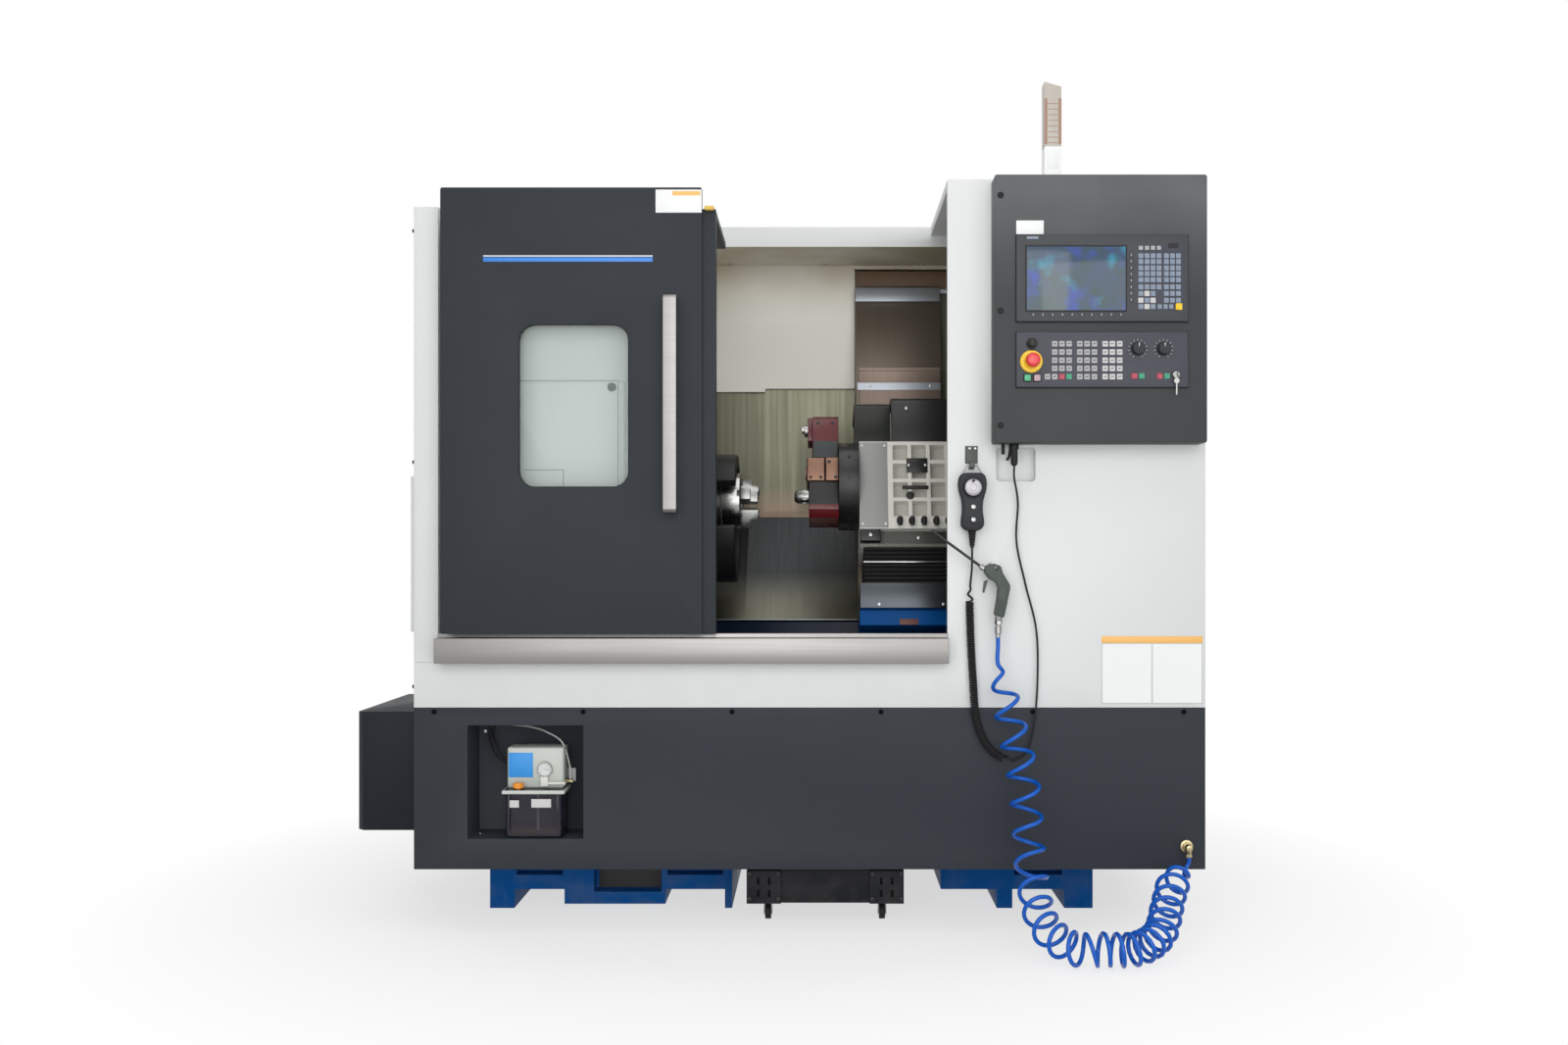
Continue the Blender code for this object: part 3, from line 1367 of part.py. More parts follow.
def turret():
    """The turret disc with its stations, and the static and live tool blocks that it carries."""
    rings = [
        (DISC_LEFT - DISC_HUB_LENGTH, 0),
        (DISC_LEFT - DISC_HUB_LENGTH, DISC_HUB_RADIUS),
        (DISC_LEFT, DISC_HUB_RADIUS),
        (DISC_LEFT, DISC_RADIUS),
        (DISC_LEFT + DISC_THICKNESS, DISC_RADIUS),
        (DISC_LEFT + DISC_THICKNESS, 0),
    ]
    disc = turned("turret_disc", rings, (0, 0, 0), "x", black_plastic(), sides=DISC_STATIONS * 2)
    holder = drum(
        "boring_holder",
        HOLDER_RADIUS,
        (0, -HOLDER_CENTRE_FRONT, HOLDER_CENTRE_Z),
        "x",
        (HOLDER_LEFT, DISC_LEFT + WELD_LAP),
        material("copper", (0.48, 0.16, 0.08), 0.3, 1.0),
        sides=SMALL_ROUND_SIDES,
    )
    stations = []
    for number in range(DISC_STATIONS):
        turn = 2 * pi * (number + 0.5) / DISC_STATIONS
        stations.append(
            drum(
                f"station_cutter_{number}",
                STATION_BORE,
                (0, STATION_RADIUS * cos(turn), STATION_RADIUS * sin(turn)),
                "x",
                (DISC_LEFT - OVERRUN, DISC_LEFT + STATION_DEPTH),
                black_plastic(),
                sides=SMALL_ROUND_SIDES // 2,
            )
        )
    cut(disc, *stations)
    unite(disc, holder)
    tilted([disc, holder, *stations])
    static_tool()
    live_tool()


def static_tool():
    """The wine-red static tool block at the top of the disc, with its spigot."""
    right = DISC_LEFT - SEAT_GAP
    half = STATIC_BLOCK_WIDTH / 2
    outline = [
        (-half, STATIC_BLOCK_INNER),
        (half, STATIC_BLOCK_INNER),
        (half, STATIC_BLOCK_OUTER - STATIC_BLOCK_CHAMFER),
        (half - STATIC_BLOCK_CHAMFER, STATIC_BLOCK_OUTER),
        (-half + STATIC_BLOCK_CHAMFER, STATIC_BLOCK_OUTER),
        (-half, STATIC_BLOCK_OUTER - STATIC_BLOCK_CHAMFER),
    ]
    wine = material("wine_red", (0.070, 0.005, 0.008), 0.4)
    holder = profile("tool_block", outline, "x", (STATIC_BLOCK_LEFT, right), wine)
    spigot = drum(
        "tool_spigot",
        SPIGOT_RADIUS,
        (0, 0, STATIC_BLOCK_OUTER - SPIGOT_RADIUS * 2),
        "x",
        (STATIC_BLOCK_LEFT - SPIGOT_LENGTH, STATIC_BLOCK_LEFT + WELD_LAP),
        bright_steel(),
        sides=SMALL_ROUND_SIDES,
    )
    unite(holder, spigot)
    tilted([holder, spigot])


def live_tool():
    """The black live-tool block, its collet nose in line with the spindle's height."""
    outline = [
        (-LIVE_BLOCK_FRONT, LIVE_BLOCK_BOTTOM + LIVE_BLOCK_CHAMFER),
        (-LIVE_BLOCK_FRONT + LIVE_BLOCK_CHAMFER, LIVE_BLOCK_BOTTOM),
        (LIVE_BLOCK_BACK, LIVE_BLOCK_BOTTOM),
        (LIVE_BLOCK_BACK, LIVE_BLOCK_REAR_Z),
        (-LIVE_BLOCK_STEP_FRONT, LIVE_BLOCK_STEP_Z),
        (-HOLDER_CENTRE_FRONT, LIVE_BLOCK_TOP),
        (-LIVE_BLOCK_FRONT, LIVE_BLOCK_TOP),
    ]
    span = (LIVE_BLOCK_LEFT, DISC_LEFT - SEAT_GAP)
    holder = profile("live_tool_block", outline, "x", span, black_plastic())
    nose_start = LIVE_BLOCK_LEFT - COLLET_LENGTH
    rings = [
        (nose_start, 0),
        (nose_start, COLLET_RADIUS * 2 / 3),
        (nose_start + COLLET_LENGTH / 4, COLLET_RADIUS),
        (LIVE_BLOCK_LEFT + WELD_LAP, COLLET_RADIUS),
        (LIVE_BLOCK_LEFT + WELD_LAP, 0),
    ]
    place = (0, -COLLET_FRONT - HOLDER_RADIUS, COLLET_Z)
    nose = turned("collet_nose", rings, place, "x", bright_steel(), sides=SMALL_ROUND_SIDES)
    unite(holder, nose)
    tilted([holder, nose])


def sliding_door():
    """The charcoal door: skin, frame and roof part, with its pane and bar handle."""
    right = DOOR_LEFT + DOOR_SKIN_WIDTH
    lip_right = right + DOOR_LIP
    skin_front = FRONT - DOOR_PROUD
    skin_back = skin_front + DOOR_SKIN
    frame_back = skin_back + DOOR_FRAME_DEPTH
    bottom = SILL_TOP + SEAT_GAP
    window_x = (WINDOW_LEFT, WINDOW_LEFT + WINDOW_WIDTH)
    window_z = (WINDOW_BOTTOM, WINDOW_BOTTOM + WINDOW_HEIGHT)
    skin = profile(
        "door_panel",
        rounded((DOOR_LEFT, right), (bottom, DOOR_TOP), DOOR_EDGE_ROUND, 1),
        "y",
        (skin_front, skin_back),
        charcoal(),
        holes=[rounded(window_x, window_z, WINDOW_CORNER)],
    )
    frame_top = DOOR_ROOF_TOP
    bar = DOOR_FRAME_BAR
    frame = profile(
        "door_frame",
        [
            (DOOR_LEFT + bar / 2, bottom),
            (lip_right, bottom),
            (lip_right, frame_top),
            (DOOR_LEFT + bar / 2, frame_top),
        ],
        "y",
        (skin_back - WELD_LAP, frame_back),
        charcoal(),
        holes=[
            [
                (DOOR_LEFT + bar * 3 / 2, bottom + bar),
                (right - bar / 2, bottom + bar),
                (right - bar / 2, frame_top - bar),
                (DOOR_LEFT + bar * 3 / 2, frame_top - bar),
            ]
        ],
    )
    roof_part = block(
        "door_roof",
        (DOOR_LEFT + bar / 2, lip_right),
        (skin_back - WELD_LAP, back(DOOR_ROOF_BACK)),
        (DOOR_ROOF_TOP - DOOR_ROOF_SHEET, DOOR_ROOF_TOP - WELD_LAP / 2),
        charcoal(),
    )
    unite(skin, frame, roof_part)
    pane = rounded(
        (window_x[0] - PANE_LAP, window_x[1] + PANE_LAP),
        (window_z[0] - PANE_LAP, window_z[1] + PANE_LAP),
        WINDOW_CORNER,
    )
    pane_front = skin_back + SEAT_GAP
    glass = material("window_pane", (0.75, 0.80, 0.78), 0.05, 0.0, 0.3)
    profile("door_window", pane, "y", (pane_front, pane_front + PANE_THICKNESS), glass)
    handle_back = skin_front - SEAT_GAP
    grip_back = handle_back - HANDLE_STANDOFF
    grip_front = grip_back - HANDLE_THICKNESS
    top = HANDLE_BOTTOM + HANDLE_LENGTH
    handle_outline = [
        (handle_back, HANDLE_BOTTOM),
        (handle_back, HANDLE_BOTTOM + HANDLE_LEG),
        (grip_back, HANDLE_BOTTOM + HANDLE_LEG),
        (grip_back, top - HANDLE_LEG),
        (handle_back, top - HANDLE_LEG),
        (handle_back, top),
        (grip_front + HANDLE_THICKNESS / 2, top),
        (grip_front, top - HANDLE_THICKNESS / 2),
        (grip_front, HANDLE_BOTTOM + HANDLE_THICKNESS / 2),
        (grip_front + HANDLE_THICKNESS / 2, HANDLE_BOTTOM),
    ]
    profile("door_handle", handle_outline, "x", (HANDLE_LEFT, HANDLE_LEFT + HANDLE_WIDTH), stainless())


def control_box():
    """The charcoal control box on the front panel."""
    outline = rounded(
        (CONTROL_BOX_LEFT, CONTROL_BOX_LEFT + CONTROL_BOX_WIDTH),
        (CONTROL_BOX_BOTTOM, CONTROL_BOX_TOP),
        CONTROL_BOX_CORNER,
        2,
    )
    profile("control_box", outline, "y", (FRONT - CONTROL_BOX_DEPTH, FRONT - SEAT_GAP), charcoal())


def key_grid(name, left, top, columns, rows, x_pitch, z_pitch, size, face, finish):
    """Raised keys in a grid, ready to be united with their panel."""
    return [
        block(
            f"{name}_{column}_{row}",
            (left + column * x_pitch, left + column * x_pitch + size),
            (face - KEY_RISE, face + WELD_LAP),
            (top - row * z_pitch - size, top - row * z_pitch),
            finish,
        )
        for column in range(columns)
        for row in range(rows)
    ]


def joined_keys(name, keys, finish):
    """Keys that don't touch, as one guide object for a single union."""
    bm = bmesh.new()
    for key in keys:
        bm.from_mesh(key.data)
        bpy.data.objects.remove(key, do_unlink=True)
    return closed(name, bm, finish)


def display_unit():
    """The display unit: recessed screen, menu keys along it and the keypad."""
    face = FRONT - CONTROL_BOX_DEPTH - UNIT_THICKNESS
    seat = FRONT - CONTROL_BOX_DEPTH - SEAT_GAP
    bezel = material("bezel_grey", (0.10, 0.105, 0.11), 0.5)
    top = DISPLAY_BOTTOM + DISPLAY_HEIGHT
    unit = block(
        "display_unit", (UNIT_LEFT, UNIT_LEFT + UNIT_WIDTH), (face, seat), (DISPLAY_BOTTOM, top), bezel
    )
    screen_left = UNIT_LEFT + SCREEN_LEFT_MARGIN
    screen_top = top - SCREEN_TOP_MARGIN
    screen = block(
        "screen_cutter",
        (screen_left, screen_left + SCREEN_WIDTH),
        (face - OVERRUN, face + SCREEN_INSET),
        (screen_top - SCREEN_HEIGHT, screen_top),
        bezel,
    )
    menu_pitch = SCREEN_WIDTH / MENU_KEY_COUNT
    under_screen = screen_top - SCREEN_HEIGHT - MENU_KEY_MARGIN
    keys = key_grid(
        "menu_key", screen_left, under_screen, MENU_KEY_COUNT, 1, menu_pitch, menu_pitch,
        MENU_KEY_SIZE, face, bezel,
    )
    keys += key_grid(
        "pad_key", UNIT_LEFT + PAD_LEFT_MARGIN, screen_top, PAD_KEY_COUNT, PAD_ROW_COUNT,
        PAD_PITCH, PAD_ROW_PITCH, PAD_KEY_SIZE, face, bezel,
    )
    cut(unit, screen)
    unite(unit, joined_keys("display_keys", keys, bezel))


def operator_panel():
    """The operator panel with its key blocks, and holes for what turns or is pressed."""
    face = FRONT - CONTROL_BOX_DEPTH - UNIT_THICKNESS
    seat = FRONT - CONTROL_BOX_DEPTH - SEAT_GAP
    finish = material("panel_grey", (0.085, 0.09, 0.11), 0.5)
    panel = block(
        "operator_panel",
        (UNIT_LEFT, UNIT_LEFT + UNIT_WIDTH),
        (face, seat),
        (OPERATOR_BOTTOM, OPERATOR_BOTTOM + OPERATOR_HEIGHT),
        finish,
    )
    keys = []
    for number, margin in enumerate(KEY_BLOCK_MARGINS):
        keys += key_grid(
            f"block_{number}",
            UNIT_LEFT + margin,
            KEY_TOP_Z,
            KEY_COLUMNS,
            KEY_ROWS,
            KEY_PITCH,
            KEY_ROW_PITCH,
            KEY_SIZE,
            face,
            finish,
        )
    collar = drum(
        "estop_collar",
        ESTOP_COLLAR_RADIUS,
        (ESTOP_X, 0, ESTOP_Z),
        "y",
        (face - ESTOP_COLLAR_DEPTH, face + WELD_LAP),
        material("collar_yellow", (0.87, 0.58, 0.01), 0.4),
    )
    through = (face - ESTOP_COLLAR_DEPTH - OVERRUN, seat + OVERRUN)
    places = [(ESTOP_X, ESTOP_Z, ESTOP_STEM_RADIUS)]
    places += [(x, OVERRIDE_Z, OVERRIDE_SPINDLE_RADIUS) for x in OVERRIDE_X]
    places += [(x, PUSH_BUTTON_Z, PUSH_STEM_RADIUS) for x in PUSH_BUTTON_X]
    places.append((KEY_SWITCH_X, KEY_SWITCH_Z, OVERRIDE_SPINDLE_RADIUS))
    holes = [
        drum(
            f"stem_hole_{number}",
            radius + STEM_CLEARANCE,
            (x, 0, z),
            "y",
            through,
            finish,
            sides=SMALL_ROUND_SIDES,
        )
        for number, (x, z, radius) in enumerate(places)
    ]
    unite(panel, joined_keys("operator_keys", keys, finish), collar)
    cut(panel, *holes)


def button(name, x, z, stem_radius, rings, finish, sides=SMALL_ROUND_SIDES):
    """A turned button or knob, its stem in the operator panel's hole; rings run from the front back."""
    face = FRONT - CONTROL_BOX_DEPTH - UNIT_THICKNESS
    stem_end = UNIT_THICKNESS * 2 / 5
    profile_rings = [(-rings[0][0], 0)]
    profile_rings += [(-reach, radius) for reach, radius in rings]
    profile_rings += [(-rings[-1][0], stem_radius), (stem_end, stem_radius), (stem_end, 0)]
    thing = turned(name, profile_rings, (0, 0, 0), "y", finish, sides=sides)
    thing.location = (x, face, z)
    return thing


def operator_controls():
    """Emergency stop, override knobs, push-buttons and key switch."""
    red = material("stop_red", (0.60, 0.02, 0.02), 0.35)
    head_back = ESTOP_REACH - ESTOP_HEAD_DEPTH
    button(
        "emergency_stop", ESTOP_X, ESTOP_Z, ESTOP_STEM_RADIUS,
        [
            (ESTOP_REACH, ESTOP_HEAD_RADIUS * 2 / 3),
            (ESTOP_REACH - ESTOP_HEAD_DEPTH / 4, ESTOP_HEAD_RADIUS),
            (head_back, ESTOP_HEAD_RADIUS),
            (head_back, ESTOP_NECK_RADIUS),
            (ESTOP_COLLAR_DEPTH * 2, ESTOP_NECK_RADIUS),
        ],
        red,
    )
    for name, x in zip(("feed_override_knob", "spindle_override_knob"), OVERRIDE_X):
        knob = button(
            name, x, OVERRIDE_Z, OVERRIDE_SPINDLE_RADIUS,
            [
                (OVERRIDE_DEPTH, OVERRIDE_RADIUS * 3 / 4),
                (OVERRIDE_DEPTH * 2 / 3, OVERRIDE_RADIUS * 3 / 4),
                (OVERRIDE_DEPTH / 3, OVERRIDE_RADIUS),
                (SEAT_GAP, OVERRIDE_RADIUS),
            ],
            black_plastic(),
        )
        unite(knob, pointer_bar(name, knob))
    green = material("start_green", (0.02, 0.35, 0.10), 0.4)
    finishes = (green, material("hold_grey", (0.5, 0.36, 0.38), 0.4))
    for name, x, finish in zip(("start_button", "hold_button"), PUSH_BUTTON_X, finishes):
        button(
            name, x, PUSH_BUTTON_Z, PUSH_STEM_RADIUS,
            [
                (PUSH_BUTTON_DEPTH, PUSH_BUTTON_RADIUS - KEY_RISE),
                (PUSH_BUTTON_DEPTH - KEY_RISE, PUSH_BUTTON_RADIUS),
                (PUSH_BUTTON_DEPTH / 2, PUSH_BUTTON_RADIUS),
            ],
            finish,
        )
    key = button(
        "key_switch", KEY_SWITCH_X, KEY_SWITCH_Z, OVERRIDE_SPINDLE_RADIUS,
        [(KEY_BARREL_DEPTH, KEY_BARREL_RADIUS), (SEAT_GAP, KEY_BARREL_RADIUS)],
        bright_steel(),
    )
    bow = block(
        "key_bow",
        (-KEY_BOW_THICKNESS / 2, KEY_BOW_THICKNESS / 2),
        (-KEY_BARREL_DEPTH - KEY_BOW_LENGTH, -KEY_BARREL_DEPTH + WELD_LAP),
        (-KEY_BOW_WIDTH / 2, KEY_BOW_WIDTH / 2),
        bright_steel(),
    )
    bow.parent = key
    unite(key, bow)


def pointer_bar(name, knob):
    """The grip bar across a knob's face."""
    bar = block(
        name + "_grip",
        (-KEY_RISE, KEY_RISE),
        (-OVERRIDE_DEPTH - KEY_RISE, -OVERRIDE_DEPTH + WELD_LAP),
        (-OVERRIDE_RADIUS * 3 / 4 + KEY_RISE, OVERRIDE_RADIUS * 3 / 4 - KEY_RISE),
        black_plastic(),
    )
    bar.parent = knob
    return bar


def signal_tower():
    """The slim signal tower on the roof: flared foot, body and a slanted top."""
    y_span = (back(TOWER_SETBACK), back(TOWER_SETBACK) + TOWER_DEPTH)
    foot_z = ROOF_TOP + SEAT_GAP
    half = TOWER_WIDTH / 2
    foot_half = TOWER_FOOT_WIDTH / 2
    grip = LENS_GROOVE
    outline = [
        (TOWER_X - foot_half, foot_z),
        (TOWER_X + foot_half, foot_z),
        (TOWER_X + foot_half, foot_z + TOWER_FOOT_HEIGHT / 2),
        (TOWER_X + half, foot_z + TOWER_FOOT_HEIGHT * 2),
        (TOWER_X + half, LENS_BOTTOM),
        (TOWER_X + half - grip, LENS_BOTTOM),
        (TOWER_X + half - grip, LENS_BOTTOM + LENS_GROOVE_HEIGHT),
        (TOWER_X + half, LENS_BOTTOM + LENS_GROOVE_HEIGHT),
        (TOWER_X + half, LENS_TOP),
        (TOWER_X + half, TOWER_TOP - TOWER_TOP_DROP),
        (TOWER_X - half, TOWER_TOP),
        (TOWER_X - half, LENS_BOTTOM + LENS_GROOVE_HEIGHT),
        (TOWER_X - half + grip, LENS_BOTTOM + LENS_GROOVE_HEIGHT),
        (TOWER_X - half + grip, LENS_BOTTOM),
        (TOWER_X - half, LENS_BOTTOM),
        (TOWER_X - half, foot_z + TOWER_FOOT_HEIGHT * 2),
        (TOWER_X - foot_half, foot_z + TOWER_FOOT_HEIGHT / 2),
    ]
    profile("signal_tower", outline, "y", y_span, white())


def lubrication_pump():
    """The pump box with its gauge and rear bracket, the reservoir under it and the filler cap."""
    pump_grey = material("pump_grey", (0.50, 0.54, 0.50), 0.45)
    front = back(PUMP_FRONT_SETBACK)
    rear = front + PUMP_BODY_DEPTH
    middle = PUMP_LEFT + PUMP_WIDTH / 2
    pump = block(
        "lubrication_pump",
        (PUMP_LEFT, PUMP_LEFT + PUMP_WIDTH),
        (front, rear),
        (PUMP_BOTTOM + SEAT_GAP, PUMP_TOP),
        pump_grey,
        round_edge=PUMP_CORNER,
    )
    bracket = block(
        "pump_bracket",
        (middle - PUMP_BRACKET_WIDTH / 2, middle + PUMP_BRACKET_WIDTH / 2),
        (rear - WELD_LAP, back(RECESS_DEPTH) - SEAT_GAP),
        (PUMP_TOP - PUMP_CORNER - PUMP_BRACKET_HEIGHT, PUMP_TOP - PUMP_CORNER),
        pump_grey,
    )
    gauge_rings = [
        (front - GAUGE_DEPTH + GAUGE_RIM, 0),
        (front - GAUGE_DEPTH + GAUGE_RIM, GAUGE_RADIUS - GAUGE_RIM),
        (front - GAUGE_DEPTH, GAUGE_RADIUS - GAUGE_RIM),
        (front - GAUGE_DEPTH, GAUGE_RADIUS),
        (front + WELD_LAP, GAUGE_RADIUS),
        (front + WELD_LAP, 0),
    ]
    gauge = turned(
        "pressure_gauge", gauge_rings, (GAUGE_X, 0, GAUGE_Z), "y", pump_grey, sides=SMALL_ROUND_SIDES
    )
    unite(pump, bracket, gauge)
    tank_front = back(RESERVOIR_FRONT_SETBACK)
    smoky = material("smoky_plastic", (0.10, 0.09, 0.07), 0.25)
    reservoir = profile(
        "oil_reservoir",
        rounded(
            (PUMP_LEFT, PUMP_LEFT + PUMP_WIDTH),
            (tank_front, tank_front + RESERVOIR_DEPTH),
            RESERVOIR_CORNER,
            3,
        ),
        "z",
        (RESERVOIR_BOTTOM, PUMP_BOTTOM - RESERVOIR_LID_HEIGHT / 2),
        smoky,
    )
    lid = profile(
        "reservoir_lid",
        rounded(
            (PUMP_LEFT - RESERVOIR_LID_LAP, PUMP_LEFT + PUMP_WIDTH + RESERVOIR_LID_LAP),
            (tank_front - RESERVOIR_LID_LAP, tank_front + RESERVOIR_DEPTH + RESERVOIR_LID_LAP),
            RESERVOIR_CORNER,
            3,
        ),
        "z",
        (PUMP_BOTTOM - RESERVOIR_LID_HEIGHT, PUMP_BOTTOM),
        smoky,
    )
    unite(reservoir, lid)
    cap_rings = [
        (0, 0),
        (0, CAP_NECK_RADIUS),
        (CAP_NECK_HEIGHT, CAP_NECK_RADIUS),
        (CAP_NECK_HEIGHT, CAP_RADIUS),
        (CAP_HEIGHT, CAP_RADIUS),
        (CAP_HEIGHT, 0),
    ]
    cap = turned(
        "filler_cap", cap_rings, (0, 0, 0), "z", material("cap_orange", (0.87, 0.32, 0.02), 0.4),
        sides=SMALL_ROUND_SIDES,
    )
    cap.location = (CAP_X, back(CAP_SETBACK), PUMP_BOTTOM + SEAT_GAP)


def pendant():
    """The hand pendant on its bracket, with hand-wheel dial, two selectors and strain relief."""
    grey = material("pendant_grey", (0.16, 0.16, 0.17), 0.5)
    middle = PENDANT_LEFT + PENDANT_WIDTH / 2
    rear = FRONT - SEAT_GAP
    front = rear - PENDANT_THICKNESS
    top = PENDANT_BOTTOM + PENDANT_HEIGHT
    half = [
        (PENDANT_WIDTH * across, PENDANT_BOTTOM + PENDANT_HEIGHT * up)
        for across, up in PENDANT_HALF_SHARES
    ]
    outline = [(middle - x, z) for x, z in half] + [(middle + x, z) for x, z in reversed(half)]
    body = profile("pendant_body", outline, "y", (front, rear), grey)
    depth_middle = (front + rear) / 2
    relief = turned(
        "pendant_relief",
        [
            (PENDANT_BOTTOM - RELIEF_LENGTH, 0),
            (PENDANT_BOTTOM - RELIEF_LENGTH, RELIEF_TIP_RADIUS),
            (PENDANT_BOTTOM + WELD_LAP, RELIEF_RADIUS),
            (PENDANT_BOTTOM + WELD_LAP, 0),
        ],
        (middle, depth_middle, 0),
        "z",
        grey,
        sides=SMALL_ROUND_SIDES,
    )
    loop_z = (top - WELD_LAP, top + LOOP_HEIGHT)
    loop_x = (middle - LOOP_WIDTH / 2, middle + LOOP_WIDTH / 2)
    loop = profile(
        "pendant_loop",
        rounded(loop_x, loop_z, LOOP_BAR, 2),
        "y",
        (depth_middle - LOOP_BAR / 2, depth_middle + LOOP_BAR / 2),
        grey,
        holes=[[
            (loop_x[0] + LOOP_BAR, loop_z[0] + LOOP_BAR),
            (loop_x[1] - LOOP_BAR, loop_z[0] + LOOP_BAR),
            (loop_x[1] - LOOP_BAR, loop_z[1] - LOOP_BAR),
            (loop_x[0] + LOOP_BAR, loop_z[1] - LOOP_BAR),
        ]],
    )
    spindle_holes = [
        drum(
            f"pendant_hole_{number}",
            DIAL_GRIP_RADIUS + STEM_CLEARANCE,
            (middle, 0, z),
            "y",
            (front - OVERRUN, front + DIAL_DEPTH),
            grey,
            sides=SMALL_ROUND_SIDES // 2,
        )
        for number, z in enumerate((DIAL_Z, *SELECTOR_Z))
    ]
    unite(body, relief, loop)
    cut(body, *spindle_holes)
    names = ("pendant_dial", "pendant_axis_selector", "pendant_rate_selector")
    shapes = [(DIAL_Z, DIAL_RADIUS, DIAL_DEPTH)]
    shapes += [(z, SELECTOR_RADIUS, SELECTOR_DEPTH) for z in SELECTOR_Z]
    for name, (z, radius, depth) in zip(names, shapes):
        rings = [
            (-depth, 0),
            (-depth, radius - KEY_RISE),
            (-depth + KEY_RISE, radius),
            (-SEAT_GAP, radius),
            (-SEAT_GAP, DIAL_GRIP_RADIUS),
            (DIAL_DEPTH * 2 / 3, DIAL_GRIP_RADIUS),
            (DIAL_DEPTH * 2 / 3, 0),
        ]
        knob = turned(name, rings, (0, 0, 0), "y", black_plastic(), sides=SMALL_ROUND_SIDES)
        knob.location = (middle, front, z)
        if radius == DIAL_RADIUS:
            grip = drum(
                "dial_grip",
                DIAL_GRIP_RADIUS,
                (0, 0, radius * DIAL_GRIP_OFFSET_SHARE),
                "y",
                (-depth - DIAL_GRIP_DEPTH, -depth + WELD_LAP),
                black_plastic(),
                sides=SMALL_ROUND_SIDES // 2,
            )
            grip.parent = knob
            unite(knob, grip)
    pendant_bracket(middle, rear, depth_middle)


def pendant_bracket(middle, rear, hook_y):
    """The folded hook that the pendant's loop hangs on."""
    bar_under = PENDANT_BOTTOM + PENDANT_HEIGHT + LOOP_HEIGHT - LOOP_BAR
    hook_top = bar_under - SEAT_GAP
    hook_front = hook_y - LOOP_BAR / 2 - BRACKET_SHEET
    lip_front = hook_front - BRACKET_SHEET
    outline = [
        (rear, BRACKET_BOTTOM),
        (rear, BRACKET_BOTTOM + BRACKET_HEIGHT),
        (rear - BRACKET_SHEET, BRACKET_BOTTOM + BRACKET_HEIGHT),
        (rear - BRACKET_SHEET, hook_top),
        (hook_front, hook_top),
        (hook_front, hook_top + HOOK_LIP),
        (lip_front, hook_top + HOOK_LIP),
        (lip_front, hook_top - BRACKET_SHEET),
        (rear - BRACKET_SHEET, hook_top - BRACKET_SHEET),
        (rear - BRACKET_SHEET, BRACKET_BOTTOM),
    ]
    hook_half = LOOP_WIDTH / 2 - LOOP_BAR * 3 / 2
    hook = profile("pendant_bracket", outline, "x", (middle - hook_half, middle + hook_half), stainless())
    plate = block(
        "bracket_plate",
        (middle - BRACKET_WIDTH / 2, middle + BRACKET_WIDTH / 2),
        (rear - BRACKET_SHEET, rear),
        (hook_top + LOOP_BAR * 2, hook_top + LOOP_BAR * 2 + BRACKET_HEIGHT),
        stainless(),
    )
    unite(hook, plate)


def cable_gland():
    """The black gland under the control box, where the pendant's cord goes in."""
    top = CONTROL_BOX_BOTTOM - SEAT_GAP
    rings = [
        (top - GLAND_LENGTH, 0),
        (top - GLAND_LENGTH, GLAND_RADIUS * 2 / 3),
        (top - GLAND_LENGTH + GLAND_NUT_LENGTH / 2, GLAND_RADIUS),
        (top - GLAND_NUT_LENGTH, GLAND_RADIUS),
        (top - GLAND_NUT_LENGTH, GLAND_NUT_RADIUS),
        (top, GLAND_NUT_RADIUS),
        (top, 0),
    ]
    turned(
        "cable_gland", rings, (GLAND_X, FRONT - GLAND_FRONT, 0), "z", black_plastic(),
        sides=SMALL_ROUND_SIDES,
    )


def pendant_cord():
    """The pendant's cord: tail, hanging curl and the lead up to the gland."""
    cord_y = FRONT - SEAT_GAP - PENDANT_THICKNESS / 2
    curl_y = FRONT - CURL_RADIUS - CURL_CLEARANCE
    start = (PENDANT_LEFT + PENDANT_WIDTH / 2, cord_y, PENDANT_BOTTOM - RELIEF_LENGTH - SEAT_GAP)
    gland_end = (GLAND_X, FRONT - GLAND_FRONT, CONTROL_BOX_BOTTOM - SEAT_GAP * 2 - GLAND_LENGTH)
    route = [
        start,
        (0.562, cord_y, 1.040),
        (0.557, curl_y, 0.970),
        (0.559, curl_y, 0.860),
        (0.566, curl_y, 0.730),
        (0.577, curl_y, 0.610),
        (0.612, curl_y, 0.533),
        (0.665, curl_y, 0.500),
        (0.716, curl_y, 0.517),
        (0.740, curl_y, 0.600),
        (0.750, curl_y, 0.730),
        (0.746, curl_y, 0.870),
        (0.715, curl_y, 1.000),
        (0.690, curl_y, 1.120),
        (0.694, curl_y, 1.230),
        (GLAND_X, FRONT - GLAND_FRONT, 1.300),
        gland_end,
    ]
    tube("pendant_cord", route, CORD_RADIUS * 6, CORD_RADIUS, CURL_RADIUS, 2, 7, black_rubber())


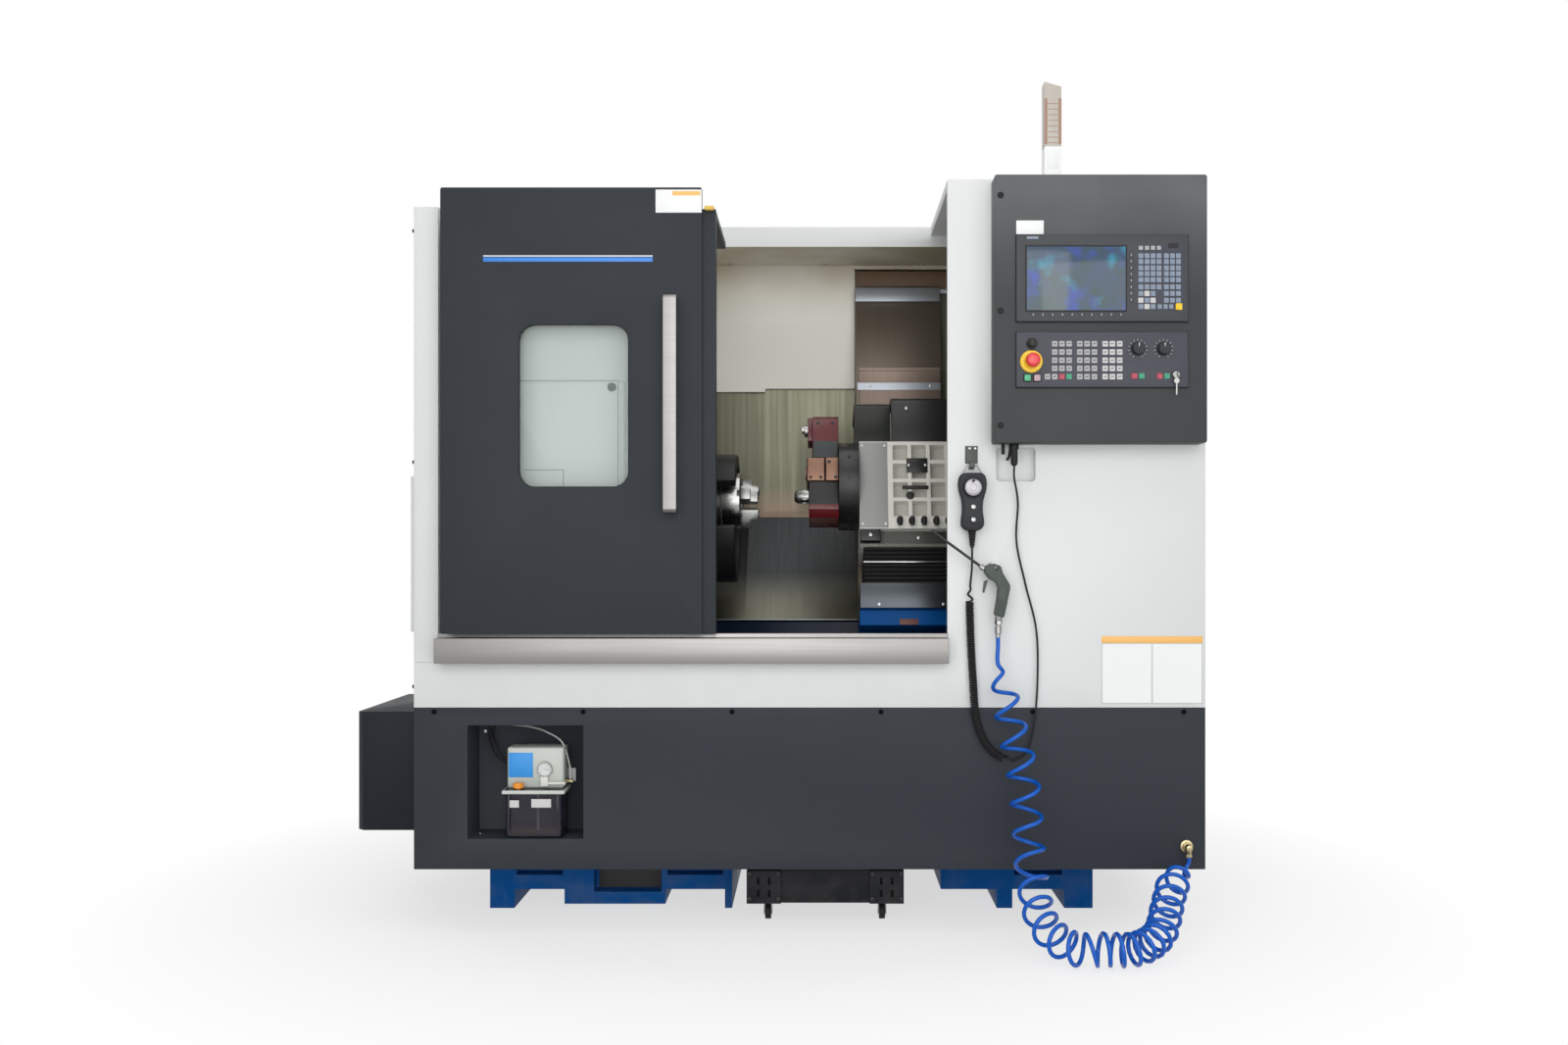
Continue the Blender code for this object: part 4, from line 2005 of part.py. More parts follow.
def air_gun():
    """The air gun on its hook: nozzle tube, head, handle and hose connector, and its trigger."""
    plastic = material("gun_grey", (0.115, 0.145, 0.125), 0.5)
    front = FRONT - GUN_FRONT
    rear = front + GUN_THICKNESS
    middle = (front + rear) / 2
    gun = profile("air_gun", GUN_OUTLINE, "y", (front, rear), plastic)
    nozzle_start = Vector((GUN_NOZZLE_START[0], middle, GUN_NOZZLE_START[1]))
    nozzle_end = Vector((GUN_NOZZLE_END[0], middle - GUN_NOZZLE_LEAN, GUN_NOZZLE_END[1]))
    length = (nozzle_end - nozzle_start).length
    nozzle = drum("gun_nozzle", GUN_NOZZLE_RADIUS, (0, 0, 0), "z", (0, length), plastic, sides=8)
    nozzle.location = nozzle_start
    nozzle.rotation_euler = (nozzle_end - nozzle_start).to_track_quat("Z", "Y").to_euler()
    connector = drum(
        "gun_connector",
        GUN_CONNECTOR_RADIUS,
        (GUN_CONNECTOR_X, middle, 0),
        "z",
        (GUN_CONNECTOR_BOTTOM, GUN_CONNECTOR_TOP),
        plastic,
        sides=SMALL_ROUND_SIDES // 2,
    )
    hang = drum(
        "gun_hang_stud",
        GUN_NOZZLE_RADIUS,
        (GUN_HOOK_X, 0, GUN_HANG_Z - GUN_NOZZLE_RADIUS * 2),
        "y",
        (rear - WELD_LAP, rear + GUN_NOZZLE_RADIUS),
        plastic,
        sides=8,
    )
    unite(gun, nozzle, connector, hang)
    half = GUN_TRIGGER_WIDTH / 2
    trigger = profile("gun_trigger", TRIGGER_OUTLINE, "y", (-half, half), black_plastic())
    trigger.location = (TRIGGER_PIVOT[0], middle, TRIGGER_PIVOT[1])
    hook_outline = [
        (rear + GUN_NOZZLE_RADIUS + SEAT_GAP, GUN_HANG_Z - GUN_HOOK_HEIGHT),
        (FRONT - SEAT_GAP, GUN_HANG_Z - GUN_HOOK_HEIGHT),
        (FRONT - SEAT_GAP, GUN_HANG_Z + GUN_HOOK_HEIGHT / 2),
        (rear + GUN_NOZZLE_RADIUS + SEAT_GAP, GUN_HANG_Z + GUN_HOOK_HEIGHT / 2),
    ]
    hook_half = GUN_HOOK_WIDTH / 2
    hook_span = (GUN_HOOK_X - hook_half, GUN_HOOK_X + hook_half)
    profile("air_gun_hook", hook_outline, "x", hook_span, bright_steel())


def hose_fitting():
    """The elbow on the skirt that the air hose comes out of."""
    brass = material("fitting_brass", (0.55, 0.40, 0.15), 0.3, 1.0)
    rings = [
        (FRONT - FITTING_REACH, 0),
        (FRONT - FITTING_REACH, FITTING_RADIUS),
        (FRONT - FITTING_FLANGE_DEPTH, FITTING_RADIUS),
        (FRONT - FITTING_FLANGE_DEPTH, FITTING_FLANGE_RADIUS),
        (FRONT - SEAT_GAP, FITTING_FLANGE_RADIUS),
        (FRONT - SEAT_GAP, 0),
    ]
    fitting = turned(
        "hose_fitting", rings, (FITTING_X, 0, FITTING_Z), "y", brass, sides=SMALL_ROUND_SIDES
    )
    outlet_y = FRONT - FITTING_REACH + FITTING_RADIUS
    outlet = drum(
        "fitting_outlet",
        FITTING_RADIUS - WELD_LAP / 2,
        (FITTING_X, outlet_y, 0),
        "z",
        (FITTING_Z - FITTING_DROP, FITTING_Z),
        brass,
        sides=SMALL_ROUND_SIDES // 2,
    )
    unite(fitting, outlet)


def air_hose():
    """The blue coiled hose: from the gun down to the floor, along it and up to the fitting."""
    gun_y = FRONT - GUN_FRONT + GUN_THICKNESS / 2
    outlet_y = FRONT - FITTING_REACH + FITTING_RADIUS
    rest_z = HOSE_COIL_RADIUS + HOSE_FLOOR_GAP
    route = [
        (GUN_CONNECTOR_X, gun_y, GUN_CONNECTOR_BOTTOM - SEAT_GAP),
        (GUN_CONNECTOR_X, gun_y, 0.822),
        (0.632, gun_y - 0.012, 0.775),
        (0.645, gun_y - 0.034, 0.700),
        (0.668, gun_y - 0.040, 0.600),
        (0.700, gun_y - 0.044, 0.450),
        (0.712, gun_y - 0.055, 0.300),
        (0.716, gun_y - 0.110, 0.180),
        (0.730, gun_y - 0.220, 0.092),
        (0.790, gun_y - 0.305, rest_z),
        (0.870, gun_y - 0.320, rest_z),
        (0.960, gun_y - 0.312, rest_z),
        (1.035, gun_y - 0.240, 0.072),
        (1.082, gun_y - 0.130, 0.120),
        (1.122, gun_y - 0.040, 0.165),
        (FITTING_X, outlet_y, 0.200),
        (FITTING_X, outlet_y, FITTING_Z - FITTING_DROP - SEAT_GAP),
    ]
    finish = material("hose_blue", (0.01, 0.08, 0.62), 0.35)
    tube("air_hose", route, HOSE_RADIUS * 5, HOSE_RADIUS, HOSE_COIL_RADIUS, 3, 12, finish)


def chip_tank():
    """The chip and coolant tank, open on top, with end brackets and its casters."""
    front = back(TANK_SETBACK)
    x_span = (TANK_LEFT, TANK_LEFT + TANK_WIDTH)
    finish = material("tank_grey", (0.22, 0.22, 0.22), 0.45)
    tank = block("chip_tank", x_span, (front, front + TANK_LENGTH), (TANK_BOTTOM, TANK_TOP), finish)
    hollow = block(
        "tank_hollow_cutter",
        (x_span[0] + TANK_WALL, x_span[1] - TANK_WALL),
        (front + TANK_WALL, front + TANK_LENGTH - TANK_WALL),
        (TANK_BOTTOM + TANK_WALL, TANK_TOP + OVERRUN),
        finish,
    )
    brackets = []
    for number, low in enumerate((x_span[0], x_span[1] - TANK_BRACKET_WIDTH)):
        brackets.append(
            block(
                f"tank_bracket_{number}",
                (low, low + TANK_BRACKET_WIDTH),
                (front - TANK_BRACKET_DEPTH, front + WELD_LAP),
                (TANK_BOTTOM, TANK_TOP - TANK_BRACKET_DEPTH),
                finish,
            )
        )
    cut(tank, hollow)
    fork_y = (front + CASTER_SETBACK, front + TANK_LENGTH - CASTER_SETBACK)
    caster_x = (x_span[0] + CASTER_INSET, x_span[1] - CASTER_INSET)
    rear_forks = []
    for side, x in zip(("left", "right"), caster_x):
        fork = caster_fork(f"rear_fork_{side}", TANK_BOTTOM + WELD_LAP)
        fork.location = (x, fork_y[1], 0)
        rear_forks.append(fork)
        front_fork = caster_fork(f"caster_fork_{side}", TANK_BOTTOM - SEAT_GAP)
        front_fork.location = (x, fork_y[0], 0)
        for place, y in zip(("front", "rear"), fork_y):
            wheel = caster_wheel(f"{place}_wheel_{side}")
            wheel.location = (x, y + CASTER_TRAIL, WHEEL_RADIUS)
    unite(tank, *brackets, *rear_forks)


def caster_fork(name, top):
    """A folded caster fork with its axle, its origin on the swivel's axis at the floor."""
    half = WHEEL_WIDTH / 2 + FORK_GAP
    outline = [
        (-half - FORK_SHEET, WHEEL_RADIUS - AXLE_RADIUS * 2),
        (-half, WHEEL_RADIUS - AXLE_RADIUS * 2),
        (-half, WHEEL_RADIUS * 2 + FORK_GAP * 2),
        (half, WHEEL_RADIUS * 2 + FORK_GAP * 2),
        (half, WHEEL_RADIUS - AXLE_RADIUS * 2),
        (half + FORK_SHEET, WHEEL_RADIUS - AXLE_RADIUS * 2),
        (half + FORK_SHEET, top),
        (-half - FORK_SHEET, top),
    ]
    low = CASTER_TRAIL - WHEEL_RADIUS * 2 / 3
    fork = profile(name, outline, "y", (low, CASTER_TRAIL + WHEEL_RADIUS / 2), stainless())
    axle = drum(
        name + "_axle",
        AXLE_RADIUS,
        (0, CASTER_TRAIL, WHEEL_RADIUS),
        "x",
        (-half - FORK_SHEET / 2, half + FORK_SHEET / 2),
        stainless(),
        sides=SMALL_ROUND_SIDES,
    )
    axle.parent = fork
    return unite(fork, axle)


def caster_wheel(name):
    """A caster wheel with its bore, its origin on the axle."""
    bore = AXLE_RADIUS + STEM_CLEARANCE
    half = WHEEL_WIDTH / 2
    rings = [
        (-half, bore),
        (-half, WHEEL_RADIUS - FORK_SHEET / 2),
        (-half + FORK_SHEET / 2, WHEEL_RADIUS),
        (half - FORK_SHEET / 2, WHEEL_RADIUS),
        (half, WHEEL_RADIUS - FORK_SHEET / 2),
        (half, bore),
    ]
    return turned(name, rings, (0, 0, 0), "x", black_rubber(), sides=24, hollow=True)


def build():
    clear_scene()
    base_casting()
    front_skirt()
    front_panel()
    door_sill()
    left_front_panel()
    side_covers()
    roof()
    side_box()
    way_cover()
    chip_trough()
    headstock()
    chuck_guard()
    chuck()
    left, right = saddle()
    bellows(left, right)
    turret_housing()
    sliding_cover(left, right)
    turret()
    sliding_door()
    control_box()
    display_unit()
    operator_panel()
    operator_controls()
    signal_tower()
    lubrication_pump()
    pendant()
    cable_gland()
    pendant_cord()
    air_gun()
    hose_fitting()
    air_hose()
    chip_tank()


build()
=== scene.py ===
"""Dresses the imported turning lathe: finishes, sheet-metal edges, panels, keys, covers, hoses and a studio."""

import json
from math import cos, pi, radians, sin

import bpy
from mathutils import Matrix, Vector

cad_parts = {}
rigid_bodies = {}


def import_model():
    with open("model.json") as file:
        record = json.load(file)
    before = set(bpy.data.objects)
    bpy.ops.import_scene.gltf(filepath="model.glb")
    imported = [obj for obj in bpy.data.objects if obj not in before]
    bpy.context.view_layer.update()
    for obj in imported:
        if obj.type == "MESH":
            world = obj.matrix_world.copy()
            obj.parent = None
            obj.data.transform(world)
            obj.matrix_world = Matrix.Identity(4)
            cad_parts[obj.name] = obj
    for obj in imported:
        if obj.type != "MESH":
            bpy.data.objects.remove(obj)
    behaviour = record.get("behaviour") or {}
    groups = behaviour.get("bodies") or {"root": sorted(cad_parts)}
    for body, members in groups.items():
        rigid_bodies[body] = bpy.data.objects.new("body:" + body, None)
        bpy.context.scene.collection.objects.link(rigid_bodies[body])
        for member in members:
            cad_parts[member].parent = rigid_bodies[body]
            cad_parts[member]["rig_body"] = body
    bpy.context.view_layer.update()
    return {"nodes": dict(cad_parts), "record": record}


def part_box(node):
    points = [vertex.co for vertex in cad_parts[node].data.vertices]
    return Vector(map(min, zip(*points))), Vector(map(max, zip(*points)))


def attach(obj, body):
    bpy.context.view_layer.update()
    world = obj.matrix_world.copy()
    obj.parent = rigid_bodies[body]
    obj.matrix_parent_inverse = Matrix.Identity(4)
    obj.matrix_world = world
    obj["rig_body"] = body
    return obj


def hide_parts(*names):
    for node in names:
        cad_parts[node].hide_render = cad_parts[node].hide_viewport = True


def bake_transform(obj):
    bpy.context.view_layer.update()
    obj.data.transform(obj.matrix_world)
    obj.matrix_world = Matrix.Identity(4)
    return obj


bl_info = {
    "name": "Turning lathe dresser",
    "version": (1, 0, 0),
    "blender": (4, 5, 0),
    "location": "View3D > Sidebar > Lathe",
    "description": "Dresses the packed turning lathe with its finishes, controls, covers, cords and studio",
    "category": "Object",
}

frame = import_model()
cad_nodes = frame["nodes"]
SLOTS = {row["node"]: row["material_slot"] for row in frame["record"]["subparts"]}

FRONT = (0, -1, 0)
BACK = (0, 1, 0)
RIGHT = (1, 0, 0)
LEFT = (-1, 0, 0)
UP = (0, 0, 1)
DOWN = (0, 0, -1)
FRONT_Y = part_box("front_skirt")[0].y
BOX_FACE_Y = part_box("control_box")[0].y
PANEL_FACE_Y = BOX_FACE_Y - 0.0098
SLANT = radians(72.0)
UP_SLOPE = Vector((0.0, cos(SLANT), sin(SLANT)))
INTO_SLOPE = Vector((0.0, sin(SLANT), -cos(SLANT)))
TURRET_CENTRE = Vector((0.0, -0.24, 1.298))
SPINDLE_Y = -0.29
SPINDLE_Z = 1.25
CHAMBER_WALL_Y = 0.217
WALL_TOP = 2.0735
WALL_FOOT = 1.205
LENS_FOOT = 2.2635
STOP_X = 0.721
STOP_Z = 1.622
KNOBS = {"feed_override_knob": 1.019, "spindle_override_knob": 1.091}
KNOB_Z = 1.658
BUTTONS = {"start_button": 0.71, "hold_button": 0.737}
BUTTON_Z = 1.576
LOCK_X = 1.125
LOCK_Z = 1.584
DIAL_Z = 1.272
GUN_Y = -0.783
FITTING_X = 1.177
LEAN = Matrix.Translation(TURRET_CENTRE) @ Matrix.Rotation(SLANT - pi / 2, 4, "X")


def tint(red, green, blue):
    """A colour as a painter reads it off a chart, 0 to 255, in Blender's linear values."""
    return tuple(((v / 255 + 0.055) / 1.055) ** 2.4 if v > 10 else v / 3295 for v in (red, green, blue))


def colour_property(label, chart, note):
    """A colour that a user may change, from its chart values."""
    return bpy.props.FloatVectorProperty(name=label, description=note, subtype="COLOR", size=3, min=0.0,
        max=1.0, default=tint(*chart))


def length_property(label, metres, note):
    """A length that a user may change."""
    return bpy.props.FloatProperty(name=label, description=note, default=metres, min=0.0, unit="LENGTH",
        precision=4)


class LatheColours(bpy.types.PropertyGroup):
    """The paints and plastics of the lathe."""

    charcoal: colour_property("Charcoal", (45, 49, 54), "Powder coat of the door and the skirt")
    control_grey: colour_property("Control grey", (62, 65, 66), "Powder coat of the control box")
    white: colour_property("White", (212, 214, 213), "Powder coat of the front and side covers")
    # The chamber's default is paler than its real paint, as painted light inside the chamber.
    chamber: colour_property("Chamber", (226, 224, 215), "Paint inside the work chamber")
    base_blue: colour_property("Base blue", (8, 82, 150), "Enamel of the base and the trough")
    hose_blue: colour_property("Hose blue", (1, 88, 188), "The coiled air hose")
    casting: colour_property("Casting grey", (206, 204, 195), "Paint of the turret housing")
    wine: colour_property("Wine red", (88, 18, 24), "Enamel of the tool blocks")
    warning_yellow: colour_property("Yellow", (238, 196, 20), "Collar of the emergency stop")
    stop_red: colour_property("Red", (214, 44, 48), "Head of the emergency stop")


class LatheSizes(bpy.types.PropertyGroup):
    """Small sizes of the trim."""

    sheet_edge: length_property("Sheet edge", 0.0016, "Rounding of a folded sheet's edge")
    casting_edge: length_property("Casting edge", 0.004, "Rounding of a casting's edge")
    screw_radius: length_property("Screw radius", 0.0055, "Head radius of a panel screw")
    screw_height: length_property("Screw height", 0.003, "Head height of a panel screw")
    hose_diameter: length_property("Hose", 0.012, "Outside diameter of the air hose")
    hose_coil: length_property("Hose coil", 0.0408, "Radius of the air hose's turns at their middle")
    cord_diameter: length_property("Cord", 0.006, "Outside diameter of the pendant's cord")
    cord_coil: length_property("Cord coil", 0.0094, "Radius of the pendant cord's curls at their middle")


class LatheStage(bpy.types.PropertyGroup):
    """The studio around the lathe."""

    key_power: bpy.props.FloatProperty(name="Key lamp",
        description="Power of the large lamp at the front left", default=150.0, unit="POWER")
    fill_power: bpy.props.FloatProperty(name="Fill lamp",
        description="Power of the lamp at the front right", default=100.0, unit="POWER")
    top_power: bpy.props.FloatProperty(name="Top lamp", description="Power of the lamp above", default=55.0,
        unit="POWER")
    room_light: bpy.props.FloatProperty(name="Room light",
        description="Strength of the even light of the room", default=0.38, min=0.0)
    floor_colour: colour_property("Floor", (236, 236, 235), "The pale floor and backdrop")


def colours():
    return bpy.context.scene.lathe_colours


def sizes():
    return bpy.context.scene.lathe_sizes


# Modelling by hand


def object_mode():
    """Out of edit mode."""
    bpy.ops.object.mode_set(mode="OBJECT")


def let_go():
    """Object mode, nothing selected."""
    active = bpy.context.view_layer.objects.active
    if active is not None and active.mode != "OBJECT":
        object_mode()
    bpy.ops.object.select_all(action="DESELECT")


def take(*things):
    """Only these things selected, the first one active."""
    let_go()
    for thing in things:
        thing.select_set(True)
    bpy.context.view_layer.objects.active = things[0]


def settle(thing):
    """The thing's place, turn and size go into its mesh."""
    take(thing)
    bpy.ops.object.transform_apply(location=True, rotation=True, scale=True)
    return thing


def open_all(thing):
    """Edit mode with the whole thing selected."""
    take(thing)
    bpy.ops.object.mode_set(mode="EDIT")
    bpy.ops.mesh.select_all(action="SELECT")


def cleaned(thing):
    """Doubled corners and needless edges go; the thing stays in edit mode."""
    open_all(thing)
    bpy.ops.mesh.remove_doubles(threshold=0.00001)
    bpy.ops.mesh.dissolve_limited(angle_limit=radians(0.5))


def pick(thing, kind, wanted):
    """Edit mode with only the wanted faces, edges or vertices selected."""
    take(thing)
    bpy.ops.object.mode_set(mode="EDIT")
    bpy.ops.mesh.select_mode(type=kind)
    bpy.ops.mesh.select_all(action="DESELECT")
    object_mode()
    mesh = thing.data
    found = {"FACE": mesh.polygons, "EDGE": mesh.edges, "VERT": mesh.vertices}[kind]
    for part in found:
        part.select = bool(wanted(part))
    bpy.ops.object.mode_set(mode="EDIT")


def edge_line(mesh, edge):
    """An edge's two ends."""
    return [mesh.vertices[v].co for v in edge.vertices]


def along(mesh, edge, axis):
    """Whether an edge runs along an axis, 0 to 2."""
    first, last = edge_line(mesh, edge)
    line = (last - first).normalized()
    return abs(line[axis]) > 0.99


def block(name, low, high, round_off=0.0, steps=2, corner=None):
    """A block between two corners, rounded; corner is (axis, radius, steps) for its four long corners."""
    low = Vector(low)
    high = Vector(high)
    let_go()
    bpy.ops.mesh.primitive_cube_add(size=1.0, location=(low + high) / 2, scale=high - low)
    made = bpy.context.object
    made.name = name
    settle(made)
    if corner:
        axis, radius, count = corner
        pick(made, "EDGE", lambda edge: along(made.data, edge, axis))
        bpy.ops.mesh.bevel(offset=radius, segments=count, affect="EDGES")
        object_mode()
    if round_off:
        bevelled(made, round_off, steps, 50.0)
    return made


def trim(name, low, high, finish_name, round_off=0.0, steps=2, body="machine", smooth=35.0, leaning=False):
    """A block with its finish, for the small fittings; a leaning one lies along the slope."""
    made = block(name, low, high, round_off, steps)
    if leaning:
        lean(made)
    return fitted(made, finish_name, body, smooth=smooth)


def bevelled(made, width, steps=2, degrees=40.0):
    """A bevel modifier on the edges that are sharper than an angle, applied."""
    take(made)
    bevel = made.modifiers.new("edge", "BEVEL")
    bevel.width = width
    bevel.segments = steps
    bevel.limit_method = "ANGLE"
    bevel.angle_limit = radians(degrees)
    bevel.use_clamp_overlap = True
    bpy.ops.object.modifier_apply(modifier=bevel.name)
    return made


def aimed(made, centre, facing):
    """The thing's +Z turned to face a direction, and moved to its place, in its mesh."""
    made.rotation_euler = Vector(facing).to_track_quat("Z", "Y").to_euler()
    made.location = centre
    return settle(made)


def drum(name, centre, facing, radius, height, sides=24, round_off=0.0):
    """A round thing that stands on its centre and faces a direction."""
    let_go()
    bpy.ops.mesh.primitive_cylinder_add(vertices=sides, radius=radius, depth=height,
        location=(0, 0, height / 2))
    made = bpy.context.object
    made.name = name
    settle(made)
    if round_off:
        pick(made, "EDGE", lambda edge: min(v.z for v in edge_line(made.data, edge)) > height * 0.99)
        bpy.ops.mesh.bevel(offset=round_off, segments=2, affect="EDGES")
        object_mode()
    return aimed(made, centre, facing)


def turned(name, centre, facing, rings, sides=32):
    """A turned thing: a disc extruded and sized ring by ring; rings are (height, radius)."""
    let_go()
    height, radius = rings[0]
    bpy.ops.mesh.primitive_circle_add(vertices=sides, radius=radius, fill_type="NGON",
        location=(0, 0, height))
    made = bpy.context.object
    made.name = name
    bpy.ops.object.transform_apply(location=True)
    bpy.ops.object.mode_set(mode="EDIT")
    bpy.ops.mesh.select_mode(type="FACE")
    bpy.ops.mesh.select_all(action="SELECT")
    bpy.ops.mesh.flip_normals()
    bpy.ops.mesh.duplicate()
    bpy.ops.mesh.flip_normals()
    for next_height, next_radius in rings[1:]:
        rise = (0, 0, next_height - height)
        bpy.ops.mesh.extrude_region_move(TRANSFORM_OT_translate={"value": rise})
        share = next_radius / radius
        bpy.ops.transform.resize(value=(share, share, 1.0), center_override=(0, 0, next_height))
        height = next_height
        radius = next_radius
    bpy.ops.mesh.select_all(action="SELECT")
    bpy.ops.mesh.remove_doubles(threshold=0.000005)
    bpy.ops.mesh.normals_make_consistent(inside=False)
    object_mode()
    return aimed(made, centre, facing)


def copies(name, model, places):
    """The model repeated at each offset or matrix, joined as one thing; the model itself goes."""
    made = []
    for place in places:
        twin = model.copy()
        twin.data = model.data.copy()
        bpy.context.scene.collection.objects.link(twin)
        matrix = place if isinstance(place, Matrix) else Matrix.Translation(Vector(place))
        twin.data.transform(matrix)
        made.append(twin)
    bpy.data.objects.remove(model)
    return joined(name, made)


def joined(name, things):
    """Several things made one."""
    take(*things)
    if len(things) > 1:
        bpy.ops.object.join()
    made = bpy.context.object
    made.name = name
    return made


def line_curve(name, points, dimensions="3D", closed=False):
    """A curve object straight from point to point."""
    curve = bpy.data.curves.new(name, "CURVE")
    curve.dimensions = dimensions
    spline = curve.splines.new("POLY")
    spline.points.add(len(points) - 1)
    for point, place in zip(spline.points, points):
        point.co = (*place, 1.0)
    spline.use_cyclic_u = closed
    made = bpy.data.objects.new(name, curve)
    bpy.context.scene.collection.objects.link(made)
    return made


def round_curve(name, points, radius, sides, closed=False):
    """A curve object with a round, capped thickness."""
    made = line_curve(name, points, closed=closed)
    made.data.bevel_depth = radius
    made.data.bevel_resolution = sides
    made.data.use_fill_caps = True
    return made


def meshed(made):
    """A curve object made a mesh."""
    name = made.name
    take(made)
    bpy.ops.object.convert(target="MESH")
    made = bpy.context.object
    made.name = name
    return made


def pipe(name, points, radius, sides, closed=False):
    """A round pipe or cable along points, made a mesh."""
    return meshed(round_curve(name, points, radius, sides, closed))


def flowing(points, count):
    """Points evenly along a smooth line through the route's points."""
    route = [Vector(p) for p in points]
    route = [route[0] * 2 - route[1], *route, route[-1] * 2 - route[-2]]
    fine = []
    for number in range(1, len(route) - 2):
        before, start, end, after = route[number - 1 : number + 3]
        for step in range(24):
            t = step / 24
            fine.append(0.5 * (2 * start + (end - before) * t + (2 * before - 5 * start
                + 4 * end - after) * t * t + (3 * start - before - 3 * end + after) * t**3))
    fine.append(route[-2])
    reach = [0.0]
    for first, last in zip(fine, fine[1:]):
        reach.append(reach[-1] + (last - first).length)
    spread = []
    place = 0
    for step in range(count):
        wanted = reach[-1] * step / (count - 1)
        while place < len(reach) - 2 and reach[place + 1] < wanted:
            place += 1
        share = (wanted - reach[place]) / max(reach[place + 1] - reach[place], 1e-9)
        spread.append(fine[place].lerp(fine[place + 1], min(max(share, 0.0), 1.0)))
    return spread


def wound(middle, turns_at, radius_at, start_angle, side):
    """A line wound round its middle line; turns_at and radius_at give turns and radius by share."""
    count = len(middle)
    side = Vector(side)
    line = []
    for number, place in enumerate(middle):
        ahead = middle[min(number + 1, count - 1)]
        behind = middle[max(number - 1, 0)]
        tangent = (ahead - behind).normalized()
        side = (side - tangent * side.dot(tangent)).normalized()
        other = tangent.cross(side)
        share = number / (count - 1)
        angle = start_angle + 2 * pi * stepped(turns_at, share)
        radius = stepped(radius_at, share)
        line.append(place + side * radius * cos(angle) + other * radius * sin(angle))
    return line


def stepped(table, share):
    """A value read from a table of (share, value), eased from line to line."""
    for (low, first), (high, last) in zip(table, table[1:]):
        if share <= high:
            return first + (last - first) * (share - low) / (high - low)
    return table[-1][1]


def body_of(node):
    return cad_nodes[node]["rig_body"]


def fitted(made, finish_name, body="machine", smooth=35.0):
    """The piece gets its finish and rides on its body."""
    made.data.materials.clear()
    made.data.materials.append(finish(finish_name))
    if smooth:
        take(made)
        bpy.ops.object.shade_smooth_by_angle(angle=radians(smooth))
    if body:
        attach(made, body)
    return made


def stand_in(made, finish_name, node):
    """A piece takes a CAD node's place, with its body."""
    fitted(made, finish_name, body_of(node))
    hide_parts(node)
    return made


def softened(node, finish_name, width, steps=2):
    """A CAD node's shape again with its edges rounded, in its place."""
    made = bpy.data.objects.new(node + "_dressed", cad_nodes[node].data.copy())
    bpy.context.scene.collection.objects.link(made)
    cleaned(made)
    object_mode()
    if width:
        bevelled(made, width, steps, 38.0)
    return stand_in(made, finish_name, node)


# Finishes


def node_in(tree, kind, settings=None, sockets=None):
    """A node with its settings and the values of its sockets."""
    made = tree.nodes.new(kind)
    for name, value in (settings or {}).items():
        setattr(made, name, value)
    for name, value in (sockets or {}).items():
        made.inputs[name].default_value = value
    return made


def new_group(name, inputs, outputs):
    """An empty node group with named inputs and outputs."""
    tree = bpy.data.node_groups.new(name, "ShaderNodeTree")
    for label, kind, value in inputs:
        made = tree.interface.new_socket(label, in_out="INPUT", socket_type="NodeSocket" + kind)
        made.default_value = value
    for label, kind in outputs:
        tree.interface.new_socket(label, in_out="OUTPUT", socket_type="NodeSocket" + kind)
    return tree, tree.nodes.new("NodeGroupInput"), tree.nodes.new("NodeGroupOutput")


def coordinates(tree):
    """The place on the object."""
    return tree.nodes.new("ShaderNodeTexCoord").outputs["Object"]


def height_of(tree, place):
    """The height of a place."""
    parts = tree.nodes.new("ShaderNodeSeparateXYZ")
    tree.links.new(place, parts.inputs[0])
    return parts.outputs["Z"]


def feed(tree, target, **values):
    """Values go into the inputs of the same names."""
    for label, value in values.items():
        tree.links.new(value, target.inputs[label])


def set_socket(tree, socket, value):
    """A socket takes a fixed value or a link."""
    if isinstance(value, (int, float, tuple)):
        socket.default_value = value
    else:
        tree.links.new(value, socket)


def noise(tree, vector, scale, detail):
    """A noise texture at a scale, on a vector."""
    made = node_in(tree, "ShaderNodeTexNoise", None, {"Detail": detail})
    tree.links.new(vector, made.inputs["Vector"])
    set_socket(tree, made.inputs["Scale"], scale)
    return made.outputs["Fac"]


def maths(tree, operation, first, second, clamp=False):
    """Two values put together."""
    made = node_in(tree, "ShaderNodeMath", {"operation": operation, "use_clamp": clamp})
    for socket, value in zip(made.inputs, (first, second)):
        set_socket(tree, socket, value)
    return made.outputs[0]


def ranged(tree, value, low, high):
    """A value stretched from low..high to 0..1."""
    made = node_in(tree, "ShaderNodeMapRange", None, {"From Min": low, "From Max": high})
    tree.links.new(value, made.inputs["Value"])
    return made.outputs["Result"]


def mixed(tree, share, first, second, blend="MIX"):
    """Two colours mixed by a share."""
    made = node_in(tree, "ShaderNodeMix", {"data_type": "RGBA", "blend_type": blend})
    for number, value in ((0, share), (6, first), (7, second)):
        set_socket(tree, made.inputs[number], value)
    return made.outputs[2]


def worn(tree, colour, share, darker):
    """A colour that passes into itself times a darker one by a share."""
    return mixed(tree, share, colour, mixed(tree, 1.0, colour, darker, "MULTIPLY"))


def sheen_of(tree, start, value):
    """The roughness, spread by a value about zero."""
    spread = maths(tree, "MULTIPLY", value, start.outputs["Spread"])
    return maths(tree, "ADD", spread, start.outputs["Roughness"], True)


MID_GREY = ("Colour", "Color", (0.5, 0.5, 0.5, 1.0))
COLOUR_OUT = ("Colour", "Color")
SKIN_OUT = (COLOUR_OUT, ("Roughness", "Float"), ("Height", "Float"))


